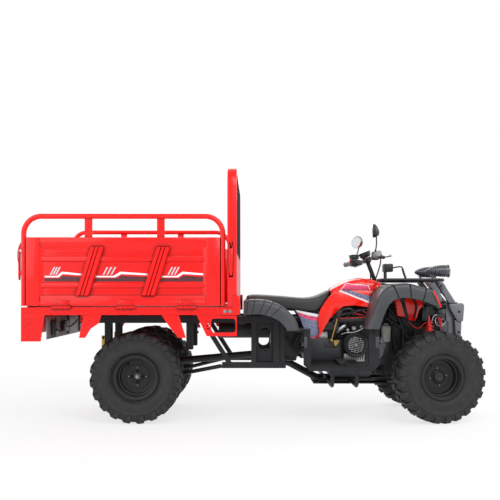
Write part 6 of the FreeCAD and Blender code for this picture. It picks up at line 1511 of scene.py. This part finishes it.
@dataclass
class Cockpit(Area):
    """Grips, levers, switch boxes, gauge and mirrors on the bars, and the box on the rack."""

    body: str = "handlebar"
    foot: tuple[float, float, float] = (1.021, 0.0, 0.372)
    rake: float = math.radians(21)
    rest_turn: float = math.radians(9)
    reach: float = 0.7262
    half: float = 0.385
    sweep: float = 0.04

    def __post_init__(self) -> None:
        """Works out the stem's line and the turn of the bars at rest."""
        foot = Vector(self.foot)
        self.axis = Vector((-math.sin(self.rake), 0, math.cos(self.rake)))
        self.top = foot + self.axis * self.reach
        self.turn = (Matrix.Translation(foot) @ Matrix.Rotation(self.rest_turn, 4, self.axis)
                     @ Matrix.Translation(-foot))

    def hand(self, side: int) -> Matrix:
        """One grip's frame: +X forwards, +Y up, +Z from the bar's end inwards."""
        end = self.top + Vector((-self.sweep, side * self.half, 0))
        along = (self.top + Vector((-self.sweep * 0.4, side * 0.2236, 0)) - end).normalized()
        ahead = Vector((0, 0, 1)).cross(along) * side
        axes = Matrix((ahead, (0, 0, 1), along)).transposed().to_4x4()
        return self.turn @ Matrix.Translation(end) @ axes

    def grips(self) -> None:
        """The ribbed rubber grips with their flanges."""
        build = self.piece("bar_grips")
        valley, ridge, flange = 0.0155, 0.0172, 0.021
        rings = [(-0.002, 0.0), (-0.002, 0.015), (0.001, 0.0185), (0.005, 0.0185), (0.008, valley)]
        for at in spaced(0.011, 0.0132, 8):
            rings += [(at, valley), (at + 0.002, ridge), (at + 0.009, ridge), (at + 0.011, valley)]
        rings += [(0.118, valley), (0.119, flange), (0.1225, flange), (0.1225, 0.0112)]
        for side in (1, -1):
            with build.placed(self.hand(side)):
                build.lathe(rings, sides=32)
        build.done(GRIP_RUBBER, "bar_controls", "fan_black")

    def switches(self) -> None:
        """The switch housings, lever perches, reservoir and cable stubs."""
        boxes, red = self.piece("switch_boxes"), self.piece("stop_button")
        alloy = self.piece("bar_levers")
        for side in (1, -1):
            hand = self.hand(side)
            with boxes.placed(hand), red.placed(hand), alloy.placed(hand):
                self.switch_box(boxes)
                self.lever(alloy)
                if side > 0:
                    boxes.block((-0.016, 0.028, 0.1), (0.036, 0.052, 0.158), 0.004)
                    boxes.block((-0.019, 0.051, 0.097), (0.039, 0.058, 0.161), 0.002)
                    red.rod((-0.02, 0.014, 0.138), (-0.029, 0.015, 0.138), 0.0075, sides=18,
                            bevel=0.001)
                else:
                    boxes.prism([(0.02, 0.004), (0.056, -0.004), (0.062, -0.018), (0.052, -0.024),
                        (0.022, -0.014)], 0.118, 0.14, 0.003, "XY")
        boxes.done(BLACK_NYLON)
        red.done(SPRING_RED)
        alloy.done(BARE_ALLOY)

    @staticmethod
    def switch_box(boxes: Builder) -> None:
        """One hand's housings with the cable that leaves them."""
        boxes.block((-0.021, -0.027, 0.124), (0.023, 0.026, 0.168), 0.006)
        boxes.blocks(0.005, (-0.016, -0.02, 0.172), (0.03, 0.018, 0.2), (0.018, -0.016, 0.16),
            (0.052, 0.01, 0.186))
        boxes.pipe([(0.04, -0.002, 0.186), (0.05, 0.002, 0.23), (0.06, -0.03, 0.275),
            (0.046, -0.1, 0.318), (0.03, -0.15, 0.345)], 0.0045)

    @staticmethod
    def lever(alloy: Builder) -> None:
        """One hand's brake lever, with a ball at its end."""
        alloy.pipe([(0.036, -0.003, 0.168), (0.06, -0.006, 0.148), (0.068, -0.01, 0.1),
            (0.071, -0.014, 0.05), (0.074, -0.013, 0.006)], 0.0062)
        alloy.lathe([(-0.0085, 0.0), (-0.0066, 0.0054), (0.0, 0.0085), (0.0066, 0.0054), (0.0085, 0.0)],
            (0.0745, -0.0132, 0.004), sides=16)

    def gauge(self) -> None:
        """The round gauge with its window, and the four-bolt bar clamp."""
        pod, pane = self.piece("gauge_pod"), self.piece("gauge_window")
        studs = self.piece("clamp_bolts")
        start = self.top + self.axis * 0.014
        pod.lathe([(0.0, 0.0), (0.0, 0.03), (0.008, 0.036), (0.028, 0.0415), (0.036, 0.0415),
            (0.038, 0.0395), (0.036, 0.035), (0.034, 0.0)], start, self.axis)
        middle, clamp = self.top + Vector((0, 0, -0.0062)), Vector((0.022, 0.031, 0.0195))
        pod.block(middle - clamp, middle + clamp, 0.006)
        pane.lathe([(0.0345, 0.0), (0.0345, 0.034), (0.0355, 0.034), (0.0365, 0.02), (0.0368, 0.0)],
            start, self.axis, 40)
        for x in (-0.014, 0.014):
            for y in (-0.024, 0.024):
                studs.bolt(middle + Vector((x, y, clamp.z)), (0, 0, 1), 0.005, 0.005)
        for part in (pod, pane, studs):
            part.place(self.turn)
        pod.done(BLACK_NYLON, "dashboard", "fan_black")
        pane.done(GAUGE_WINDOW)
        studs.done(ZINC)

    def mirrors(self) -> None:
        """Two teardrop mirrors on bent stems, each set towards the rider."""
        shells, glass = self.piece("mirror_shells"), self.piece("mirror_panes")
        rims = self.piece("mirror_rims")
        for side, shift, swing in ((1, 0.044, 27), (-1, -0.02, -13)):
            seat = self.turn @ Vector((0.7422, side * 0.3, 1.206))
            face = (Matrix.Translation(seat + Vector((shift, 0, 0)))
                    @ turned(swing, "Z") @ turned(-side * 8, "X"))
            shells.loft([Section(-0.011, 0.056, -0.04, 0.04, 0.85),
                Section(-0.008, 0.059, -0.044, 0.044, 0.85), Section(0.004, 0.056, -0.043, 0.041, 0.9),
                Section(0.016, 0.044, -0.038, 0.028, 0.95), Section(0.026, 0.024, -0.03, 0.008, 1.0),
                Section(0.03, 0.008, -0.02, -0.006, 1.0)], 36, face)
            glass.loft([Section(-0.0122, 0.052, -0.036, 0.036, 0.85),
                Section(-0.0108, 0.053, -0.037, 0.037, 0.85)], 36, face)
            rims.loft([Section(-0.0118, 0.0565, -0.0405, 0.0405, 0.85),
                Section(-0.009, 0.0605, -0.0448, 0.0448, 0.85)], 36, face)
            base = self.hand(side) @ Vector((0.004, 0.02, 0.15))
            low = face @ Vector((0.01, 0.0, -0.034))
            shells.rod(base, base + Vector((0, 0, 0.022)), 0.008, 0.006, bevel=0.001)
            shells.pipe([base + Vector((0, 0, 0.015)), base.lerp(low, 0.35) + Vector((0.003, 0, 0)),
                base.lerp(low, 0.7) + Vector((0.004, 0, 0)), low], 0.0042)
        shells.done(BLACK_NYLON, "mirrors", "fan_black", smooth=60.0)
        glass.done(MIRROR_GLASS)
        rims.done(CHROME)

    def nose_box(self) -> None:
        """The small black box on the rack's tail bar with its bent cable."""
        box = Builder("rack_tail_box", "chassis")
        box.block((0.872, -0.066, 0.964), (0.93, 0.03, 1.019), 0.006)
        box.blocks(0.002, (0.88, -0.05, 0.914), (0.89, -0.03, 0.968), (0.88, 0.0, 0.914),
            (0.89, 0.02, 0.968))
        box.pipe([(0.926, -0.02, 0.99), (0.96, -0.024, 0.998), (0.998, -0.03, 1.001),
            (1.004, -0.034, 0.972), (1.018, -0.04, 0.93), (1.022, -0.04, 0.907)], 0.0048)
        box.pipe([(1.0, -0.033, 0.985), (1.008, -0.036, 0.955), (1.02, -0.04, 0.922),
            (1.022, -0.04, 0.905)], 0.0078)
        box.done(BLACK_NYLON)
        window = Builder("rack_tail_box_lens", "chassis")
        window.block((0.9295, -0.05, 0.972), (0.933, 0.016, 1.01), 0.0012)
        window.done(AMBER_LENS)

    def build(self) -> None:
        """Builds all the controls."""
        self.grips()
        self.switches()
        self.gauge()
        self.mirrors()
        self.nose_box()


# Nose, frame and tail


@dataclass
class Fittings(Area):
    """Lamps, winch, bull bar covers, tail lamps and the bolts of the frame."""

    lamp_at: tuple[float, float, float] = (1.126, 0.17, 0.9665)
    drum: tuple[float, float] = (1.241, 0.633)
    coil_pitch: float = 0.0052

    def lamps(self) -> None:
        """Two finned bullet lamps with a bezel, a reflector and a lens."""
        pods, bezels, bowls, lenses = (self.piece(f"lamp_{name}")
                                       for name in ("pods", "bezels", "bowls", "lenses"))
        outline = [(0.0, 0.0), (0.004, 0.006)]
        for number, radius in enumerate((0.013, 0.0195, 0.025, 0.029, 0.032, 0.034, 0.0355, 0.0365,
                0.0372, 0.0378), 1):
            along = number * 0.012
            outline += [(along - 0.0028, radius - 0.0016), (along - 0.0018, radius + 0.0022),
                        (along + 0.0026, radius + 0.0026), (along + 0.0036, radius - 0.0008)]
        outline += [(0.132, 0.039), (0.15, 0.0405), (0.15, 0.036), (0.136, 0.028), (0.128, 0.0)]
        x, y, z = self.lamp_at
        for side in (1, -1):
            tail, foot_y = (x, side * y, z), side * y
            pods.lathe(outline, tail, (1, 0, 0), 40)
            pods.rod((1.171, foot_y, 0.913), (1.171, foot_y, 0.946), 0.0066)
            pods.block((1.158, foot_y - 0.012, 0.93), (1.196, foot_y + 0.012, 0.94), 0.002)
            bezels.lathe([(0.146, 0.038), (0.146, 0.044), (0.149, 0.0448), (0.1525, 0.0435),
                (0.1535, 0.0395), (0.15, 0.0375)], tail, (1, 0, 0), closed=True)
            bowls.lathe([(0.13, 0.0), (0.132, 0.014), (0.14, 0.028), (0.15, 0.0372), (0.149, 0.0378),
                (0.1385, 0.0285), (0.1305, 0.0145), (0.1285, 0.0)], tail, (1, 0, 0), 40)
            lenses.lathe([(0.1495, 0.0), (0.1495, 0.039), (0.1515, 0.0392), (0.1532, 0.03),
                (0.1538, 0.0)], tail, (1, 0, 0), 40)
        pods.done(LAMP_SHELL, "headlamps", "lamp_glass")
        bezels.done(CHROME)
        bowls.done(REFLECTOR)
        lenses.done(CLEAR_PC)

    def bull_covers(self) -> None:
        """The grey moulded arms and corner plates over the bull bar, with bolts."""
        build = self.piece("bull_bar_covers")
        build.prism([(1.2, 0.893), (1.2445, 0.893), (1.3357, 0.75), (1.288, 0.75)], 0.1165, 0.148,
            0.004)
        build.prism([(1.205, 0.874), (1.224, 0.888), (1.262, 0.872), (1.246, 0.846)], 0.147, 0.153,
            0.002)
        build.prism([(1.14, 0.893), (1.187, 0.893), (1.226, 0.836), (1.238, 0.764), (1.206, 0.764),
            (1.186, 0.82)], 0.138, 0.158, 0.005)
        build.prism([(1.285, 0.748), (1.313, 0.7495), (1.375, 0.7535), (1.3857, 0.738), (1.378, 0.633),
            (1.34, 0.629), (1.29, 0.722)], 0.1165, 0.156, 0.006)
        build.prism([(1.324, 0.64), (1.37, 0.64), (1.366, 0.53), (1.33, 0.519)], 0.1165, 0.147, 0.005)
        build.mirrored().done(FENDER_GREY)
        studs = self.piece("bull_bar_bolts")
        for x, y, z in ((1.35, 0.156, 0.696), (1.35, 0.147, 0.56), (1.232, 0.153, 0.868)):
            studs.bolt((x, y, z), (0, 1, 0), 0.0055, 0.004)
        studs.mirrored().done(HOSE_RUBBER)

    def winch(self) -> None:
        """Rope on the drum, alloy end rings, relay boxes with a cable and the hook strap."""
        rope = self.piece("winch_rope")
        x, z = self.drum
        for y in spaced(-7 * self.coil_pitch, self.coil_pitch, 15):
            rope.lathe([(-0.0026, 0.0), (-0.0026, 0.0262), (0.0, 0.0285), (0.0026, 0.0262),
                (0.0026, 0.0)], (x, y, z), (0, 1, 0), 28)
        rope.done(WIRE_ROPE)
        rings = self.piece("winch_end_rings")
        for side in (1, -1):
            rings.lathe([(0.0, 0.03), (0.0, 0.0372), (0.004, 0.0372), (0.004, 0.03)],
                (x, side * 0.0905, z), (0, side, 0), 40, closed=True)
            for number in range(4):
                across, up, _ = ring_spot(0.021, number * math.pi / 2 + 0.6)
                rings.bolt((x + across, side * 0.0895, z + up), (0, side, 0), 0.0045, 0.004)
            rings.pipe([(1.172, side * 0.11, 0.604), (1.18, side * 0.112, 0.64),
                (1.192, side * 0.11, 0.668), (1.214, side * 0.108, 0.6755)], 0.0045)
        rings.done(BARE_ALLOY)
        box = self.piece("winch_relay_box")
        box.blocks(0.003, (1.186, -0.112, 0.664), (1.3, 0.112, 0.674), (1.15, -0.112, 0.59),
            (1.166, 0.112, 0.674))
        box.block((1.104, -0.158, 0.634), (1.148, -0.112, 0.726), 0.004)
        box.pipe([(1.126, -0.135, 0.636), (1.134, -0.14, 0.606), (1.17, -0.124, 0.596),
            (1.206, -0.092, 0.612)], 0.0042)
        box.done(BLACK_NYLON)
        strap = self.piece("winch_hook_strap")
        strap.prism([(1.218, 0.652), (1.246, 0.652), (1.241, 0.618), (1.236, 0.578), (1.229, 0.578),
            (1.224, 0.618)], -0.128, -0.1245, 0.001)
        strap.pipe([(1.232, -0.126, 0.648), (1.232, -0.116, 0.668), (1.236, -0.102, 0.672)], 0.003)
        strap.done(WEBBING)

    def frame_bolts(self) -> None:
        """Bolt heads on the guards and frame, spring shackles and the guards' edges."""
        studs = self.piece("frame_bolts")
        for x, y, z, radius in ((0.306, 0.446, 0.578, 0.007), (0.738, 0.446, 0.578, 0.007),
                (-0.197, 0.278, 0.348, 0.009), (-0.325, 0.278, 0.65, 0.005), (0.12, 0.278, 0.65, 0.005),
                (-0.06, 0.278, 0.35, 0.005), (-0.415, 0.206, 0.54, 0.006), (-1.0, 0.214, 0.528, 0.006),
                (-1.0, 0.214, 0.47, 0.006)):
            studs.bolt((x, y, z), (0, 1, 0), radius, radius * 0.7)
        studs.mirrored().done(FORGED_STEEL)
        shackle = self.piece("spring_shackles")
        shackle.block((-1.012, 0.2065, 0.456), (-0.988, 0.214, 0.542), 0.003)
        shackle.mirrored().done(YELLOW_ZINC)
        caps = self.piece("guard_edges")
        caps.blocks(0.001, (0.3, 0.4435, 0.48), (0.318, 0.4465, 0.548), (0.745, 0.4435, 0.48),
            (0.766, 0.4465, 0.548))
        caps.mirrored().done(FLARE_PP)

    def tail(self) -> None:
        """The lamps, the relays and the backing plate at the bed's tail."""
        lamp, plate, red, amber = (Builder(name, "cargo_bed") for name in (
            "tail_lamp_cases", "tail_backing_plate", "tail_lamps", "tail_turn_lamps"))
        for side in (1, -1):
            lamp.block((-1.424, side * 0.33, 0.59), (-1.412, side * 0.51, 0.664), 0.004)
            red.block((-1.434, side * 0.336, 0.596), (-1.423, side * 0.44, 0.658), 0.005)
            amber.block((-1.434, side * 0.446, 0.596), (-1.423, side * 0.504, 0.658), 0.005)
        lamp.blocks(0.004, (-1.272, -0.25, 0.57), (-1.25, -0.12, 0.64), (-1.272, -0.48, 0.56),
            (-1.246, -0.4, 0.65))
        lamp.pipe([(-1.25, -0.44, 0.6), (-1.225, -0.38, 0.56), (-1.235, -0.3, 0.64),
            (-1.225, -0.2, 0.58), (-1.2, -0.1, 0.64)], 0.005)
        lamp.done(BLACK_NYLON)
        plate.block((-1.273, -0.56, 0.54), (-1.268, 0.56, 0.676), 0.001)
        for y in (-0.36, -0.06, 0.24):
            plate.block((-1.269, y - 0.02, 0.545), (-1.258, y + 0.02, 0.672), 0.002)
        plate.done(DULL_ZINC)
        red.done(RED_LENS)
        amber.done(AMBER_LENS)

    def build(self) -> None:
        """Builds all the fittings."""
        self.lamps()
        self.bull_covers()
        self.winch()
        self.frame_bolts()
        self.tail()


# Studio


def seen_by(tree: bpy.types.NodeTree, *rays: str) -> bpy.types.NodeSocket:
    """A socket that is 1 on a light path of any of the given kinds.

    Args:
        tree: the node tree that needs it.
        rays: kinds of ray, such as "Camera".

    Returns:
        The output socket.
    """
    path = add_node(tree, "ShaderNodeLightPath")
    level = path.outputs[f"Is {rays[0]} Ray"]
    for ray in rays[1:]:
        level = add_node(tree, "ShaderNodeMath", {"operation": "ADD", "use_clamp": True},
                         {0: level, 1: path.outputs[f"Is {ray} Ray"]}).outputs[0]
    return level


@dataclass
class Studio:
    """Floor, backdrop, lamps and the camera at the photograph's angle."""

    floor_half: float = 14.0
    camera_at: tuple[float, float, float] = (-0.016, -4.83, 0.832)
    lens_mm: float = 50.69
    shift: tuple[float, float] = (-0.0068, 0.0826)
    near_white: float = 0.72
    far_from: float = 1.7
    far_to: float = 3.6
    surround: float = 0.62
    lit: tuple[float, float, float] = (0.0, 0.0, 0.6)
    lamps: tuple[tuple[str, tuple[float, float, float], float, float],
        ...] = (("key", (1.8, -4.2, 4.2), 3.5, 170.0), ("fill", (-3.6, -3.6, 2.6), 4.0, 90.0),
        ("front", (4.4, 0.6, 2.6), 3.0, 60.0), ("back", (0.0, 4.4, 3.8), 4.0, 120.0))

    def paper(self) -> bpy.types.Material:
        """Matte paper whose shadows show faintly near the machine and fade into white."""
        material = bpy.data.materials.new("studio_paper")
        material.use_nodes = True
        tree = material.node_tree
        matte = tree.nodes["Principled BSDF"]
        matte.inputs["Base Color"].default_value = linear("#EFEFEF")
        matte.inputs["Roughness"].default_value = 0.9
        white = add_node(tree, "ShaderNodeEmission", {"Color": WHITE, "Strength": 1.0})
        place = add_node(tree, "ShaderNodeTexCoord")
        reach = add_node(tree, "ShaderNodeVectorMath", {"operation": "LENGTH"},
                         {0: place.outputs["Object"]})
        share = add_node(tree, "ShaderNodeMapRange",
                         {"From Min": self.far_from, "From Max": self.far_to,
                          "To Min": self.near_white, "To Max": 1.0},
                         {"Value": reach.outputs["Value"]})
        seen = seen_by(tree, "Camera", "Glossy", "Transmission")
        level = add_node(tree, "ShaderNodeMath", {"operation": "MULTIPLY"},
                         {0: share.outputs["Result"], 1: seen})
        mix = add_node(tree, "ShaderNodeMixShader", {},
                       {0: level.outputs[0], 1: matte.outputs[0], 2: white.outputs[0]})
        tree.links.new(mix.outputs[0], tree.nodes["Material Output"].inputs["Surface"])
        return material

    def build(self) -> None:
        """Sets up the whole studio."""
        bm = bmesh.new()
        bmesh.ops.create_grid(bm, x_segments=1, y_segments=1, size=self.floor_half)
        mesh = bpy.data.meshes.new("studio_floor")
        bm.to_mesh(mesh)
        bm.free()
        mesh.materials.append(self.paper())
        linked("studio_floor", mesh)
        self.world()
        self.light()
        self.camera()

    def world(self) -> None:
        """A soft even surround, pure white where the camera or a mirror sees it."""
        world = bpy.data.worlds.new("studio_world")
        bpy.context.scene.world = world
        world.use_nodes = True
        tree = world.node_tree
        sky = tree.nodes["Background"]
        sky.inputs["Color"].default_value = WHITE
        sky.inputs["Strength"].default_value = self.surround
        bright = add_node(tree, "ShaderNodeBackground", {"Color": WHITE, "Strength": 1.0})
        mix = add_node(tree, "ShaderNodeMixShader", {},
                       {0: seen_by(tree, "Camera", "Transmission"), 1: sky.outputs[0],
                        2: bright.outputs[0]})
        tree.links.new(mix.outputs[0], tree.nodes["World Output"].inputs["Surface"])

    def light(self) -> None:
        """Large soft lamps above, from both ends of the camera's side and from behind."""
        for name, at, size, watts in self.lamps:
            light = bpy.data.lights.new(name, "AREA")
            light.energy = watts
            light.size = size
            lamp = linked(name, light)
            lamp.location = at
            lamp.rotation_mode = "QUATERNION"
            lamp.rotation_quaternion = (Vector(self.lit) - Vector(at)).to_track_quat("-Z", "Y")

    def camera(self) -> None:
        """The camera square to the machine's right side, its frame shifted upwards."""
        data = bpy.data.cameras.new("camera")
        data.lens = self.lens_mm
        data.shift_x, data.shift_y = self.shift
        eye = linked("camera", data)
        eye.location = self.camera_at
        eye.rotation_euler = (math.pi / 2, 0, 0)
        bpy.context.scene.camera = eye
        bpy.context.scene.view_settings.view_transform = "Standard"


# The machine


NODE_FINISHES = (
    (BED_ENAMEL, ("bed_floor", "tail_panel", "bed_brackets")),
    (TUBE_ENAMEL, ("side_rail_left", "side_rail_right")),
    (FENDER_GREY, ("bull_bar",)),
    (POWDER_COAT, ("front_arms", "frame_rails", "frame_braces", "rear_rails",
                   "rear_side_frames", "rear_crossmembers", "spring_hangers", "rear_axle",
                   "foot_guards", "front_rack", "skid_plate", "handlebar",
                   "winch", "leaf_springs")),
    (FORGED_STEEL, ("knuckle_left", "knuckle_right", "prop_shaft", "torque_rods",
                    "steering_stem", "tie_rod_left", "tie_rod_right")),
    (SPRING_RED, ("front_shocks",)),
    (CAST_ALLOY, ("engine",)),
    (BLACK_NYLON, ("fan_cover", "foot_boards")),
    (STOVE_BLACK, ("muffler",)),
)


def main() -> None:
    """Builds the studio, the pieces and the finishes of the machine."""
    logging.basicConfig(level=logging.INFO, format="%(message)s")
    Studio().build()
    for end in WheelEnd:
        for side_name, side in SIDES:
            Wheel(end, side_name, side).build()
    for area in (BedTray, Bodywork, EngineBay, Cockpit, Fittings):
        area().build()
    for finish, nodes in NODE_FINISHES:
        for node in nodes:
            dress(node, finish)


if __name__ == "__main__":
    main()
